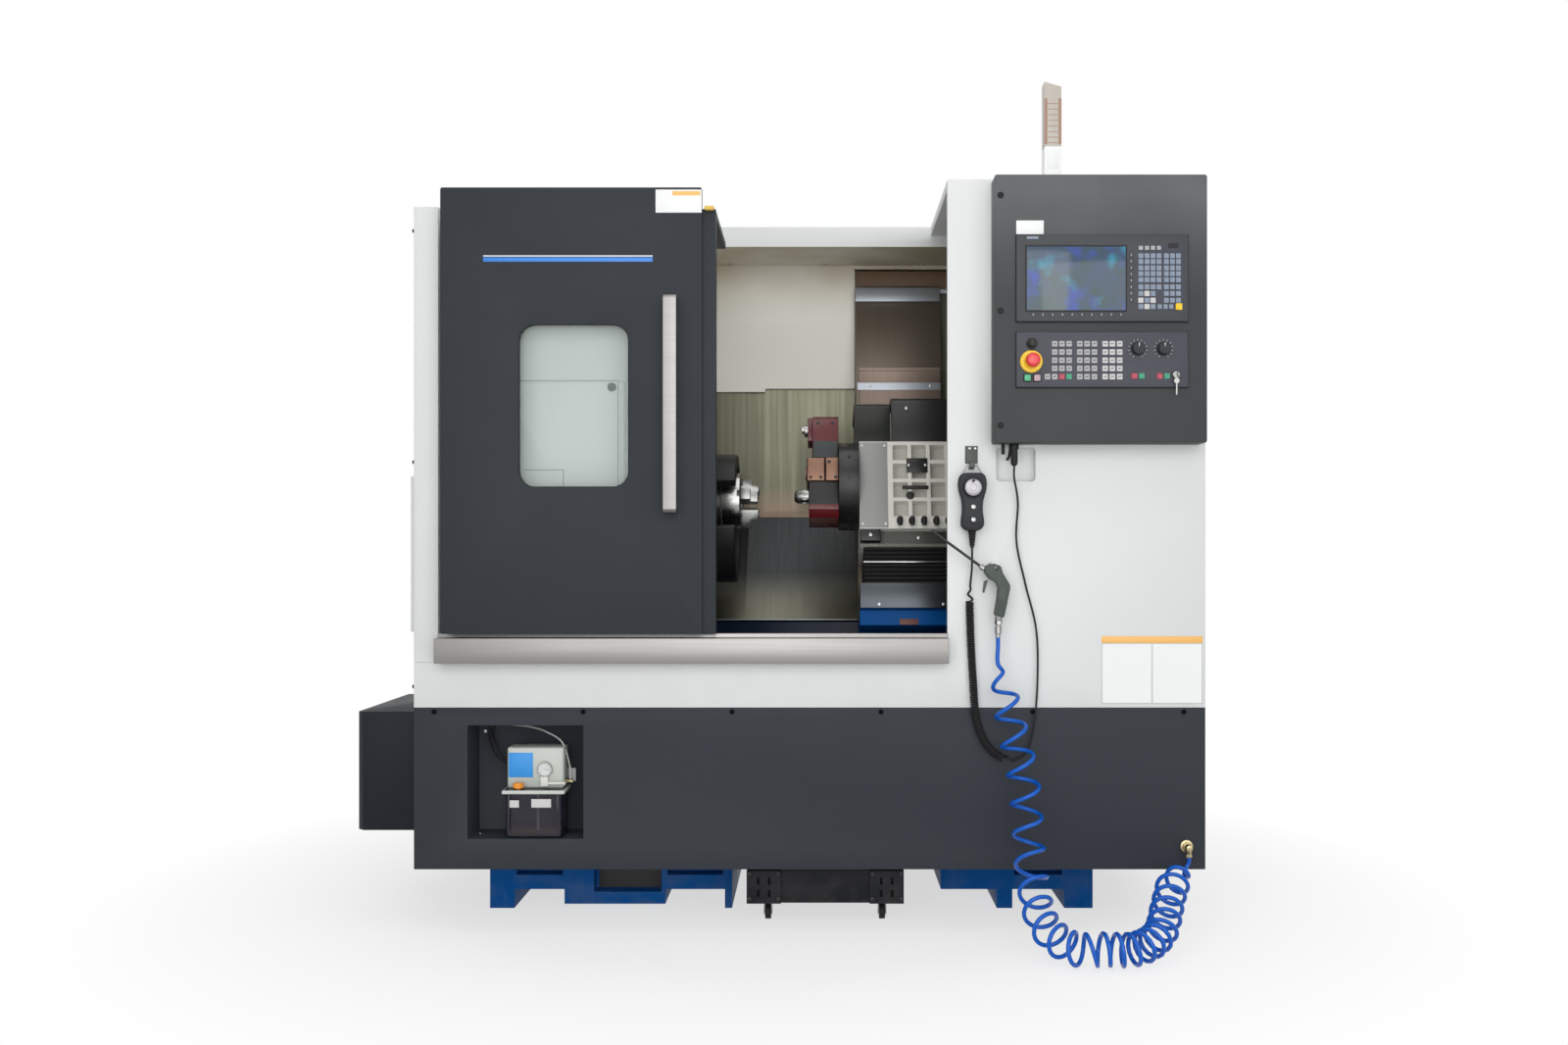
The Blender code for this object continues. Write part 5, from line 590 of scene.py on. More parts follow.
def sprayed_group():
    """Paint as sprayed: fine orange peel, a slow drift of colour and a change of sheen."""
    inputs = (MID_GREY, ("Peel", "Float", 700.0), ("Drift", "Float", 0.1), ("Roughness", "Float", 0.4),
        ("Spread", "Float", 0.1))
    tree, start, end = new_group("Sprayed skin", inputs, SKIN_OUT)
    place = coordinates(tree)
    peel = noise(tree, place, start.outputs["Peel"], 2.0)
    slow = noise(tree, place, 1.7, 3.0)
    smear = noise(tree, place, 9.0, 6.0)
    shade = maths(tree, "MULTIPLY", ranged(tree, slow, 0.35, 0.7), start.outputs["Drift"])
    colour = worn(tree, start.outputs["Colour"], shade, (0.62, 0.62, 0.64, 1.0))
    sheen = sheen_of(tree, start, maths(tree, "SUBTRACT", smear, 0.5))
    feed(tree, end, Colour=colour, Roughness=sheen, Height=peel)


def drawn_group():
    """Metal with a grain drawn one way: streaks in colour, sheen and height."""
    inputs = (("Colour", "Color", (0.6, 0.6, 0.6, 1.0)), ("Grain", "Vector", (4.0, 300.0, 300.0)),
        ("Streak", "Float", 0.15), ("Roughness", "Float", 0.3), ("Spread", "Float", 0.12))
    tree, start, end = new_group("Drawn grain", inputs, SKIN_OUT)
    place = coordinates(tree)
    stretched = node_in(tree, "ShaderNodeVectorMath", {"operation": "MULTIPLY"})
    tree.links.new(place, stretched.inputs[0])
    tree.links.new(start.outputs["Grain"], stretched.inputs[1])
    grain = noise(tree, stretched.outputs[0], 1.0, 3.0)
    cloud = noise(tree, place, 3.0, 4.0)
    streak = maths(tree, "MULTIPLY", ranged(tree, grain, 0.3, 0.7), start.outputs["Streak"])
    colour = worn(tree, start.outputs["Colour"], streak, (0.55, 0.54, 0.52, 1.0))
    sheen = sheen_of(tree, start, maths(tree, "SUBTRACT", maths(tree, "ADD", grain, cloud), 1.0))
    feed(tree, end, Colour=colour, Roughness=sheen, Height=grain)


def dirt_group():
    """Dust and splashes that thin out with height above the floor."""
    inputs = (MID_GREY, ("Dust", "Color", (0.3, 0.28, 0.25, 1.0)), ("Amount", "Float", 0.3),
        ("Reach", "Float", 0.5))
    tree, start, end = new_group("Floor dust", inputs, (COLOUR_OUT, ("Mask", "Float")))
    place = coordinates(tree)
    risen = maths(tree, "DIVIDE", height_of(tree, place), start.outputs["Reach"])
    low = maths(tree, "SUBTRACT", 1.0, risen, True)
    blot = ranged(tree, noise(tree, place, 14.0, 6.0), 0.42, 0.62)
    mask = maths(tree, "MULTIPLY", maths(tree, "MULTIPLY", low, blot), start.outputs["Amount"], True)
    feed(tree, end, Colour=mixed(tree, mask, start.outputs["Colour"], start.outputs["Dust"]), Mask=mask)


def fade_group():
    """A second colour that comes in between two heights, with a slow unevenness."""
    inputs = (MID_GREY, ("Other", "Color", (0.5, 0.5, 0.5, 1.0)), ("From", "Float", 0.0),
        ("To", "Float", 1.0))
    tree, start, end = new_group("Height fade", inputs, (COLOUR_OUT,))
    place = coordinates(tree)
    above = maths(tree, "SUBTRACT", height_of(tree, place), start.outputs["From"])
    reach = maths(tree, "SUBTRACT", start.outputs["To"], start.outputs["From"])
    share = maths(tree, "DIVIDE", above, reach, True)
    uneven = ranged(tree, noise(tree, place, 2.5, 3.0), 0.1, 0.6)
    both = maths(tree, "MULTIPLY", share, uneven, True)
    feed(tree, end, Colour=mixed(tree, both, start.outputs["Colour"], start.outputs["Other"]))


def bare_material(name):
    """The nodes of a new material and its Principled shader."""
    made = bpy.data.materials.new(name)
    made.use_nodes = True
    return made.node_tree, made.node_tree.nodes["Principled BSDF"]


def placed_group(tree, name, **sockets):
    """A group node with its own values."""
    made = tree.nodes.new("ShaderNodeGroup")
    made.node_tree = bpy.data.node_groups[name]
    for label, value in sockets.items():
        made.inputs[label].default_value = value
    return made


def covered(tree, shader, skin, colour, strength, distance, values):
    """The shader takes a skin's colour, sheen and height, and fixed values of its own."""
    tree.links.new(colour, shader.inputs["Base Color"])
    tree.links.new(skin.outputs["Roughness"], shader.inputs["Roughness"])
    for label, value in values.items():
        shader.inputs[label].default_value = value
    bump = node_in(tree, "ShaderNodeBump", None, {"Strength": strength, "Distance": distance})
    tree.links.new(skin.outputs["Height"], bump.inputs["Height"])
    tree.links.new(bump.outputs["Normal"], shader.inputs["Normal"])


def sprayed(tree, colour, roughness, peel, drift, spread):
    """The sprayed skin with its values."""
    return placed_group(tree, "Sprayed skin", Colour=(*colour, 1.0), Peel=peel, Drift=drift,
        Roughness=roughness, Spread=spread)


def faded(tree, colour, fade):
    """The colour as it is, or passing into another between two heights: (colour, from, to)."""
    if not fade:
        return colour
    other, start, end = fade
    passing = placed_group(tree, "Height fade", Other=(*tint(*other), 1.0), From=start, To=end)
    tree.links.new(colour, passing.inputs["Colour"])
    return passing.outputs["Colour"]


def paint(name, colour, roughness=0.42, peel=700.0, drift=0.12, spread=0.16, depth=0.00006, dust=0.0,
        reach=0.5, coat=0.0, gloss=0.5, fade=None):
    """Sprayed paint or moulded plastic, with dust towards the floor."""
    tree, shader = bare_material(name)
    skin = sprayed(tree, colour, roughness, peel, drift, spread)
    out = skin.outputs["Colour"]
    if dust:
        dirt = placed_group(tree, "Floor dust", Dust=(0.22, 0.21, 0.19, 1.0), Amount=dust, Reach=reach)
        tree.links.new(out, dirt.inputs["Colour"])
        out = dirt.outputs["Colour"]
    values = {"Specular IOR Level": gloss, "Coat Weight": coat, "Coat Roughness": 0.12}
    covered(tree, shader, skin, faded(tree, out, fade), 0.5, depth, values)


def metal(name, colour, roughness=0.3, grain=(4.0, 260.0, 260.0), streak=0.2, spread=0.12, depth=0.00003,
        metallic=1.0, fade=None):
    """Metal with a drawn, turned or ground grain."""
    tree, shader = bare_material(name)
    skin = placed_group(tree, "Drawn grain", Colour=(*colour, 1.0), Grain=grain, Streak=streak,
        Roughness=roughness, Spread=spread)
    covered(tree, shader, skin, faded(tree, skin.outputs["Colour"], fade), 0.4, depth,
        {"Metallic": metallic})


def clear(name, colour, roughness, alpha):
    """A clear or smoky plastic pane, with faint wiping marks."""
    tree, shader = bare_material(name)
    skin = sprayed(tree, colour, roughness, 60.0, 0.1, 0.08)
    covered(tree, shader, skin, skin.outputs["Colour"], 0.2, 0.00002, {"Alpha": alpha})


def finish(name):
    """One of the lathe's finishes by name."""
    return bpy.data.materials[name]


# The chamber's paint is made paler still by this share, as painted light inside the chamber.
CHAMBER_PAINTED_LIGHT = 1.12
MOULDED = (200.0, 0.1, 0.1, 0.00003)
KEY_GRAIN = (500.0, 0.1, 0.1, 0.00003)
COLOURED_KEY = (300.0, 0.1, 0.1, 0.00003)
LABEL_FILM = (300.0, 0.05, 0.1, 0.00002)
POWDER_COAT = (900.0, 0.16, 0.18, 0.00012)

# Name, colour, roughness, peel, drift, spread, depth, dust and its reach, then what differs from the usual
PAINTS = (("Charcoal powder coat", "charcoal", 0.5, *POWDER_COAT, 0.12, 0.4, {"gloss": 0.14}),
    # The control box's coat grows paler towards the top: a painted sheen of the light from above.
    ("Control box powder coat", "control_grey", 0.48, *POWDER_COAT,
    {"gloss": 0.14, "fade": ((96, 98, 100), 1.8, 2.09)}), ("White powder coat", "white", 0.4, 800.0, 0.07,
    0.14, 0.0001, 0.12, 0.9, {"gloss": 0.3}), ("Chamber paint", "chamber", 0.34, 300.0, 0.14, 0.16, 0.00006,
    # The chamber's paint grows darker and browner towards the roof: painted shade under the roof.
    {"gloss": 0.35, "fade": ((190, 178, 152), 1.9, 2.08)}), ("Base enamel", "base_blue", 0.38, 160.0, 0.25,
    # The trough's enamel is the base's blue made darker: painted shade on the trough.
    0.2, 0.0004, 0.16, 0.22, {"gloss": 0.07}), ("Trough enamel", (14, 28, 46), 0.3, 160.0, 0.4, 0.25,
    0.0004, {"gloss": 0.2}), ("Tank paint", (31, 32, 36), 0.45, 200.0, 0.25, 0.2, 0.0003, 0.12, 0.2,
    {"gloss": 0.1}), ("Casting paint", "casting", 0.45, 240.0, 0.22, 0.2, 0.0006),
    # Next, a darker copy of the casting paint: painted shade on the floors of the housing's pockets.
    ("Dark casting paint", (178, 176, 166), 0.45, 240.0, 0.3, 0.2, 0.0006, {"gloss": 0.3}),
    ("Wine enamel", "wine", 0.28, 300.0, 0.2, 0.15, 0.0002, {"coat": 0.4, "gloss": 0.3}),
    ("Black cover paint", (27, 26, 25), 0.34, 400.0, 0.25, 0.2, 0.0001, {"gloss": 0.3}),
    ("Black plastic", (27, 27, 28), 0.45, 500.0, 0.2, 0.15, 0.00005, {"gloss": 0.25}),
    ("Black rubber", (32, 32, 33), 0.62, 350.0, 0.25, 0.15, 0.00012, {"gloss": 0.2}),
    ("Bezel plastic", (66, 67, 70), 0.45, 900.0, 0.1, 0.12, 0.00005, {"gloss": 0.2}),
    ("Panel film", (68, 69, 77), 0.4, 900.0, 0.1, 0.12, 0.00003, {"gloss": 0.2}),
    ("Key caps", (166, 166, 168), 0.45, *KEY_GRAIN), ("Pale key caps", (196, 195, 194), 0.45, *KEY_GRAIN),
    ("Stop red", "stop_red", 0.3, *MOULDED, {"coat": 0.3}), ("Collar yellow", "warning_yellow", 0.35,
    *MOULDED), ("Start green", (70, 170, 120), 0.35, *MOULDED), ("Hold grey", (176, 150, 156), 0.35,
    *MOULDED), ("Red key caps", (178, 70, 84), 0.4, *COLOURED_KEY),
    ("Green key caps", (62, 150, 118), 0.4, *COLOURED_KEY), ("Tower plastic", (228, 229, 228), 0.4, 200.0,
    0.06, 0.1, 0.00003), ("Tower lens", (178, 170, 160), 0.3, 90.0, 0.14, 0.1, 0.0003),
    ("Pump paint", (190, 195, 188), 0.4, 500.0, 0.1, 0.12, 0.00006),
    ("Label blue", (36, 140, 216), 0.4, *LABEL_FILM), ("Label orange", (232, 178, 96), 0.4, *LABEL_FILM),
    ("Label white", (226, 227, 226), 0.45, *LABEL_FILM), ("Label grey", (186, 188, 190), 0.45, *LABEL_FILM),
    ("Cap orange", (238, 148, 32), 0.35, *MOULDED), ("Pale plastic", (216, 216, 210), 0.4, *MOULDED),
    ("Pendant plastic", (34, 35, 38), 0.5, 800.0, 0.12, 0.12, 0.00006, {"gloss": 0.25}),
    ("Gun plastic", (70, 77, 71), 0.45, 500.0, 0.2, 0.15, 0.00006, {"gloss": 0.25}),
    ("Hose blue", "hose_blue", 0.32, 60.0, 0.2, 0.12, 0.00003, {"coat": 0.15, "gloss": 0.25}),
    ("Oil", (150, 124, 60), 0.2, 20.0, 0.2, 0.1, 0.00003), ("Rust brown", (104, 56, 40), 0.5, 160.0, 0.5,
    0.2, 0.0003), ("Stripe blue", (40, 120, 205), 0.35, *LABEL_FILM),
    ("Buffer foam", (214, 178, 84), 0.6, 300.0, 0.2, 0.1, 0.0002), ("Blue grey key caps", (128, 140, 158),
    0.45, *KEY_GRAIN), ("Lens brown", (150, 118, 100), 0.4, *MOULDED),
    # Next, the dark of the hatch's joints, also painted shade on a plate in the base's pocket.
    ("Dark recess", (30, 28, 28), 0.6, 200.0, 0.3, 0.15, 0.0001), ("Brown black cover", (26, 29, 24), 0.26,
    400.0, 0.25, 0.2, 0.0001, {"gloss": 0.22}), ("Side plate paint", (136, 136, 133), 0.42, 400.0, 0.15,
    0.15, 0.0001), ("Pendant film", (44, 46, 50), 0.42, 900.0, 0.1, 0.1, 0.00003, {"gloss": 0.2}),
    # Next, a brown painted shade for the gap above the slide.
    ("Slot brown", (112, 84, 60), 0.55, 200.0, 0.4, 0.15, 0.0001), ("Dark ledge", (58, 58, 52), 0.4, 240.0,
    0.3, 0.2, 0.0002, {"gloss": 0.3}), ("Hatch shadow", (150, 160, 156), 0.5, *COLOURED_KEY),
    ("Side box coat", (27, 32, 38), 0.5, *POWDER_COAT, 0.1, 0.4, {"gloss": 0.14}),
    ("Skirt powder coat", (50, 54, 60), 0.5, *POWDER_COAT, 0.03, 0.3, {"gloss": 0.14}),
    ("Deep black", (9, 9, 10), 0.5, *MOULDED, {"gloss": 0.05}), ("Slate block", (52, 58, 58), 0.4, 200.0,
    0.25, 0.15, 0.0002, {"gloss": 0.3}), ("Bracket green", (58, 64, 57), 0.45, 300.0, 0.2, 0.15, 0.0001))
# Name, colour, roughness, grain, streak and spread, then what differs from the usual
METALS = (("Telescopic sheet", (112, 103, 92), 0.42, (220.0, 4.0, 4.0), 0.16, 0.14, {"metallic": 0.6}),
    ("Warm sheet", (124, 108, 98), 0.5, (220.0, 4.0, 4.0), 0.2, 0.14,
    {"metallic": 0.55, "fade": ((205, 186, 168), 1.66, 1.95)}), ("Dull steel", (74, 78, 82), 0.36,
    (3.0, 200.0, 200.0), 0.2, 0.16), ("Lip steel", (168, 174, 182), 0.42, (3.0, 200.0, 200.0), 0.12, 0.1,
    {"metallic": 0.7}), ("Pale steel", (150, 148, 152), 0.42, (60.0, 120.0, 120.0), 0.1, 0.1),
    ("Stainless sheet", (138, 136, 134), 0.4, (3.0, 240.0, 240.0), 0.12, 0.14),
    ("Chamber stainless", (101, 101, 87), 0.36, (46.0, 46.0, 1.2), 0.7, 0.2,
    # Next, the way sheet made darker on its lower slope as painted shade, growing paler and warmer towards its
    # foot.
    {"fade": ((122, 103, 91), 1.32, 1.21)}), ("Dark way sheet", (57, 58, 59), 0.38, (150.0, 4.0, 4.0), 0.2,
    0.14, {"fade": ((122, 121, 108), 1.02, 0.87)}), ("Bright steel", (160, 160, 158), 0.26,
    (60.0, 220.0, 220.0), 0.2, 0.12), ("Ground steel", (150, 150, 148), 0.34, (220.0, 30.0, 220.0), 0.2,
    0.12), ("Blackened steel", (40, 39, 40), 0.36, (60.0, 120.0, 120.0), 0.25, 0.16, {"metallic": 0.5}),
    ("Copper", (122, 94, 80), 0.42, (40.0, 180.0, 180.0), 0.25, 0.14),
    ("Brass", (176, 164, 128), 0.3, (120.0, 120.0, 12.0), 0.2, 0.12),
    ("Screw steel", (172, 172, 172), 0.3, (200.0, 200.0, 200.0), 0.2, 0.12),
    ("Dark screw", (48, 48, 50), 0.4, (200.0, 200.0, 200.0), 0.2, 0.12, {"metallic": 0.6}))
# Name, colour, roughness and alpha
CLEARS = (("Window pane", (168, 190, 180), 0.06, 0.16), ("Gauge glass", (226, 232, 230), 0.05, 0.2),
    ("Clear tube", (220, 222, 214), 0.15, 0.45), ("Smoky plastic", (32, 28, 44), 0.16, 0.8))


def chart(colour):
    """A colour from its chart values, or one of those that a user may change; the chamber's is made paler, as
    painted light inside the chamber.
    """
    if isinstance(colour, tuple):
        return tint(*colour)
    value = getattr(colours(), colour)
    return tuple(v * CHAMBER_PAINTED_LIGHT for v in value) if colour == "chamber" else value


def mix_all():
    """Mixes every finish of the lathe."""
    sprayed_group()
    drawn_group()
    dirt_group()
    fade_group()
    for mix, table in ((paint, PAINTS), (metal, METALS), (clear, CLEARS)):
        for name, colour, *rest in table:
            extra = rest.pop() if isinstance(rest[-1], dict) else {}
            mix(name, chart(colour), *rest, **extra)
    screen_material()


def screen_material():
    """A dark screen with faint blue and green reflections painted into its colour."""
    tree, shader = bare_material("Screen glass")
    place = coordinates(tree)
    cloud = noise(tree, place, 9.0, 3.0)
    patch = noise(tree, place, 14.0, 2.0)
    spot = noise(tree, place, 11.0, 4.0)
    # The blue and cyan patches are reflections painted into the screen's colour.
    base = mixed(tree, ranged(tree, cloud, 0.35, 0.65), (*tint(50, 72, 72), 1.0), (*tint(56, 74, 106), 1.0))
    base = mixed(tree, ranged(tree, patch, 0.5, 0.85), base, (*tint(56, 76, 190), 1.0))
    glow = mixed(tree, ranged(tree, spot, 0.56, 0.8), base, (*tint(40, 150, 176), 1.0))
    tree.links.new(glow, shader.inputs["Base Color"])
    gloss = maths(tree, "ADD", maths(tree, "MULTIPLY", cloud, 0.1), 0.05)
    tree.links.new(gloss, shader.inputs["Roughness"])
    shader.inputs["Specular IOR Level"].default_value = 0.5


PLAIN_FINISHES = {"headstock": "Casting paint", "chip_trough": "Trough enamel",
    "way_cover": "Chamber stainless", "bellows": "Black rubber", "chuck": "Bright steel",
    "door_window": "Window pane", "rear_cover": "White powder coat"}


SLOT_FINISHES = {"charcoal_paint": "Charcoal powder coat", "control_paint": "Control box powder coat",
    "white_paint": "White powder coat", "base_blue": "Base enamel", "tank_grey": "Tank paint",
    "casting_grey": "Casting paint", "wine_red": "Wine enamel", "stainless": "Stainless sheet",
    "turret_black": "Blackened steel", "bezel_grey": "Bezel plastic", "panel_grey": "Panel film",
    "tower_white": "Tower plastic", "pump_grey": "Pump paint", "pendant_grey": "Pendant plastic",
    "gun_grey": "Gun plastic"}


def plain_finish(node):
    """The finish that a node has from its slot, by the table or by the slot's own name."""
    slot = SLOTS[node]
    return PLAIN_FINISHES.get(node) or SLOT_FINISHES.get(slot) or slot.replace("_", " ").capitalize()


class LATHE_OT_mix_finishes(bpy.types.Operator):
    """Mix every finish and put plain ones on the parts that keep their own shape"""

    bl_idname = "lathe.mix_finishes"
    bl_label = "Mix finishes"

    def execute(self, context):
        mix_all()
        for node, thing in cad_nodes.items():
            thing.data.materials.clear()
            thing.data.materials.append(finish(plain_finish(node)))
        return {"FINISHED"}


# Camera and studio


class LATHE_OT_set_camera(bpy.types.Operator):
    """Set the camera square to the front, at the height of the pendant's cord"""

    bl_idname = "lathe.set_camera"
    bl_label = "Camera"

    def execute(self, context):
        let_go()
        bpy.ops.object.camera_add(location=(0.123, -4.94, 1.09), rotation=(pi / 2, 0, 0))
        camera = context.object
        camera.name = "front_camera"
        camera.data.lens = 33.75
        camera.data.sensor_width = 36.0
        camera.data.shift_x = -0.02125
        camera.data.shift_y = 0.01875
        context.scene.camera = camera
        return {"FINISHED"}


def seen_directly(tree):
    """1 for the rays that the eye follows: straight, mirrored or through a pane."""
    path = tree.nodes.new("ShaderNodeLightPath")
    rays = maths(tree, "MAXIMUM", path.outputs["Is Camera Ray"], path.outputs["Is Transmission Ray"])
    return maths(tree, "MAXIMUM", rays, path.outputs["Is Glossy Ray"])


def mix_shaders(tree, share, first, second, output):
    """Two shaders mixed by a share, into an output."""
    both = tree.nodes.new("ShaderNodeMixShader")
    for number, value in enumerate((share, first.outputs[0], second.outputs[0])):
        tree.links.new(value, both.inputs[number])
    tree.links.new(both.outputs[0], output.inputs["Surface"])


class LATHE_OT_build_studio(bpy.types.Operator):
    """A pale floor, a pale room and three soft lamps"""

    bl_idname = "lathe.build_studio"
    bl_label = "Studio"

    def execute(self, context):
        stage = context.scene.lathe_stage
        let_go()
        bpy.ops.mesh.primitive_plane_add(size=60.0, location=(0, 0, 0))
        floor = context.object
        floor.name = "studio_floor"
        floor.data.materials.append(self.floor_finish(stage))
        self.room(context, stage)
        lamps = (("key_lamp", (-1.0, -6.0, 2.3), 5.0, stage.key_power),
            ("fill_lamp", (2.2, -5.8, 1.7), 4.4, stage.fill_power),
            ("top_lamp", (0.3, -0.9, 4.6), 3.4, stage.top_power))
        for name, place, size, power in lamps:
            bpy.ops.object.light_add(type="AREA", location=place)
            lamp = context.object
            lamp.name = name
            lamp.data.size = size
            lamp.data.energy = power
            aim = Vector((0.0, 0.0, 1.1)) - Vector(place)
            lamp.rotation_euler = aim.to_track_quat("-Z", "Y").to_euler()
        context.scene.view_settings.view_transform = "Standard"
        return {"FINISHED"}

    def floor_finish(self, stage):
        tree, shader = bare_material("Studio floor")
        place = coordinates(tree)
        soft = noise(tree, place, 0.6, 2.0)
        pale = (*stage.floor_colour, 1.0)
        less = tuple(v * 0.97 for v in stage.floor_colour) + (1.0,)
        tree.links.new(mixed(tree, soft, pale, less), shader.inputs["Base Color"])
        shader.inputs["Roughness"].default_value = 0.7
        glow = node_in(tree, "ShaderNodeEmission", None, {"Color": (1.0, 1.0, 1.0, 1.0), "Strength": 1.0})
        length = node_in(tree, "ShaderNodeVectorMath", {"operation": "LENGTH"})
        tree.links.new(place, length.inputs[0])
        far = ranged(tree, length.outputs["Value"], 1.1, 2.2)
        near = maths(tree, "ADD", maths(tree, "MULTIPLY", far, 0.35), 0.65, True)
        share = maths(tree, "MULTIPLY", near, seen_directly(tree))
        mix_shaders(tree, share, shader, glow, tree.nodes["Material Output"])
        return finish("Studio floor")

    def room(self, context, stage):
        world = bpy.data.worlds.new("Studio room")
        context.scene.world = world
        world.use_nodes = True
        tree = world.node_tree
        light = tree.nodes["Background"]
        light.inputs["Color"].default_value = (0.97, 0.985, 1.0, 1.0)
        light.inputs["Strength"].default_value = stage.room_light
        seen = node_in(tree, "ShaderNodeBackground", None, {"Color": (1.0, 1.0, 1.0, 1.0), "Strength": 1.0})
        mix_shaders(tree, seen_directly(tree), light, seen, tree.nodes["World Output"])


# Cord and hose

HOSE_ROUTE = ((0.634, GUN_Y, 0.8477), (0.634, GUN_Y, 0.822), (0.632, -0.795, 0.775), (0.645, -0.817, 0.7),
    (0.668, -0.823, 0.6), (0.7, -0.827, 0.45), (0.712, -0.838, 0.3), (0.716, -0.893, 0.18),
    (0.73, -1.003, 0.092), (0.79, -1.088, 0.0525), (0.87, -1.103, 0.0525), (0.96, -1.095, 0.0525),
    (1.035, -1.023, 0.072), (1.082, -0.913, 0.12), (1.122, -0.823, 0.165), (FITTING_X, -0.768, 0.2),
    (FITTING_X, -0.768, 0.223))
HOSE_TURNS = ((0.0, 0.0), (0.045, 0.0), (0.47, 8.0), (0.56, 10.2), (0.65, 13.2), (0.78, 19.4), (0.97, 25.0),
    (1.0, 25.25))
CORD_ROUTE = ((0.563, -0.7628, 1.1009), (0.562, -0.7628, 1.04), (0.557, -0.7545, 0.97),
    (0.559, -0.7545, 0.86), (0.566, -0.7545, 0.73), (0.577, -0.7545, 0.61), (0.612, -0.7545, 0.533),
    (0.665, -0.7545, 0.5), (0.716, -0.7545, 0.517), (0.74, -0.7545, 0.6), (0.75, -0.7545, 0.73),
    (0.746, -0.7545, 0.87), (0.715, -0.7545, 1.0), (0.69, -0.7545, 1.12), (0.694, -0.7545, 1.23),
    (0.681, -0.774, 1.3), (0.681, -0.774, 1.3334))


def soft_tube(name, line, diameter, finish_name, sides):
    """A round cord along a line, as one open curve with its finish."""
    made = round_curve(name, line, diameter / 2, sides)
    made.data.materials.append(finish(finish_name))
    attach(made, "machine")
    return made


class LATHE_OT_wind_hose(bpy.types.Operator):
    """Wind the blue air hose down from the gun, along the floor and up to its fitting"""

    bl_idname = "lathe.wind_hose"
    bl_label = "Air hose"

    def execute(self, context):
        coil = sizes().hose_coil
        middle = flowing(HOSE_ROUTE, 700)
        widths = ((0.0, 0.0), (0.045, 0.0), (0.1, coil * 0.85), (0.2, coil), (0.93, coil),
            (0.975, coil * 0.3), (0.995, 0.0), (1.0, 0.0))
        line = wound(middle, HOSE_TURNS, widths, 0.0, BACK)
        hose = soft_tube("coiled_air_hose", line, sizes().hose_diameter, "Hose blue", 4)
        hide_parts("air_hose")
        return {"FINISHED"}


class LATHE_OT_curl_cord(bpy.types.Operator):
    """Hang the pendant's curly cord and its lead up to the gland"""

    bl_idname = "lathe.curl_cord"
    bl_label = "Pendant cord"

    def execute(self, context):
        coil = sizes().cord_coil
        middle = flowing(CORD_ROUTE, 1500)
        turns = ((0.0, 0.0), (0.07, 0.0), (0.1, 1.5), (0.41, 70.0), (0.44, 71.0), (1.0, 71.0))
        widths = ((0.0, 0.0), (0.07, 0.0), (0.1, coil), (0.41, coil), (0.44, 0.0), (1.0, 0.0))
        line = wound(middle, turns, widths, 0.0, BACK)
        cord = soft_tube("curly_pendant_cord", line, sizes().cord_diameter, "Black rubber",
            3)
        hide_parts("pendant_cord")
        return {"FINISHED"}


def lean(made):
    """A thing built upright about the turret's centre is leaned back as the slope is."""
    made.data.transform(LEAN)
    return made


def repaint(made, finish_name, wanted):
    """A second finish on the faces that are wanted."""
    made.data.materials.append(finish(finish_name))
    number = len(made.data.materials) - 1
    for face in made.data.polygons:
        if wanted(face):
            face.material_index = number
    return made


def pierced(made, *cutters):
    """Cutters are taken out of a thing with boolean modifiers, applied."""
    for cutter in cutters:
        take(made)
        hole = made.modifiers.new("hole", "BOOLEAN")
        hole.operation = "DIFFERENCE"
        hole.solver = "EXACT"
        hole.object = cutter
        bpy.ops.object.modifier_apply(modifier=hole.name)
        bpy.data.objects.remove(cutter)
    return made


def screw_model():
    """A cap screw with a rounded head and a hexagon socket."""
    radius = sizes().screw_radius
    height = sizes().screw_height
    made = drum("screw_model", (0, 0, 0), UP, radius, height, 18, height * 0.3)
    socket = drum("screw_socket", (0, 0, height * 0.35), UP, radius * 0.5, height, 6)
    return pierced(made, socket)


def screws(name, places, facing, finish_name="Screw steel", body="machine", scale=1.0):
    """Like screws on a surface, facing one way."""
    turn = Vector(facing).to_track_quat("Z", "Y").to_matrix().to_4x4() @ Matrix.Scale(scale, 4)
    spots = [Matrix.Translation(Vector(place)) @ turn for place in places]
    return fitted(copies(name, screw_model(), spots), finish_name, body)


def slope_screws(name, spots, body, scale=1.0, finish_name="Screw steel"):
    """Like screws on the leaning carriage, each spot (x, back, up) of its own frame."""
    return screws(name, [LEAN @ Vector(spot) for spot in spots], -INTO_SLOPE, finish_name, body, scale)


def marks_round(name, low, high, centre, turns):
    """A small block again and again round a centre on a front face, turned by degrees."""
    made = []
    for number, degrees in enumerate(turns):
        mark = block(f"{name}_{number}", low, high)
        mark.data.transform(Matrix.Translation(centre) @ Matrix.Rotation(radians(degrees), 4, FRONT))
        made.append(mark)
    return made


class LATHE_OT_fold_enclosure(bpy.types.Operator):
    """Fold the sheets of the enclosure with rounded edges, and paint them"""

    bl_idname = "lathe.fold_enclosure"
    bl_label = "Enclosure"

    def execute(self, context):
        edge = sizes().sheet_edge
        softened("front_skirt", "Skirt powder coat", edge)
        softened("side_box", "Side box coat", edge * 1.5)
        for node in ("front_panel", "left_front_panel", "left_side_cover", "right_side_cover",
                "rear_cover"):
            softened(node, "White powder coat", edge)
        roof = softened("roof", "White powder coat", edge)
        front = FRONT_Y + 0.63
        repaint(roof, "Chamber paint",
            lambda f: (f.center.z < 2.09 and f.normal.y < -0.5) or (f.normal.z < -0.5
            and f.center.y > front))
        softened("door_sill", "Stainless sheet", edge)
        wall = softened("way_cover", "Chamber stainless", 0.0)
        # The lower slope takes a darker copy of the sheet: painted shade.
        repaint(wall, "Dark way sheet", lambda f: f.center.z < WALL_FOOT)
        return {"FINISHED"}


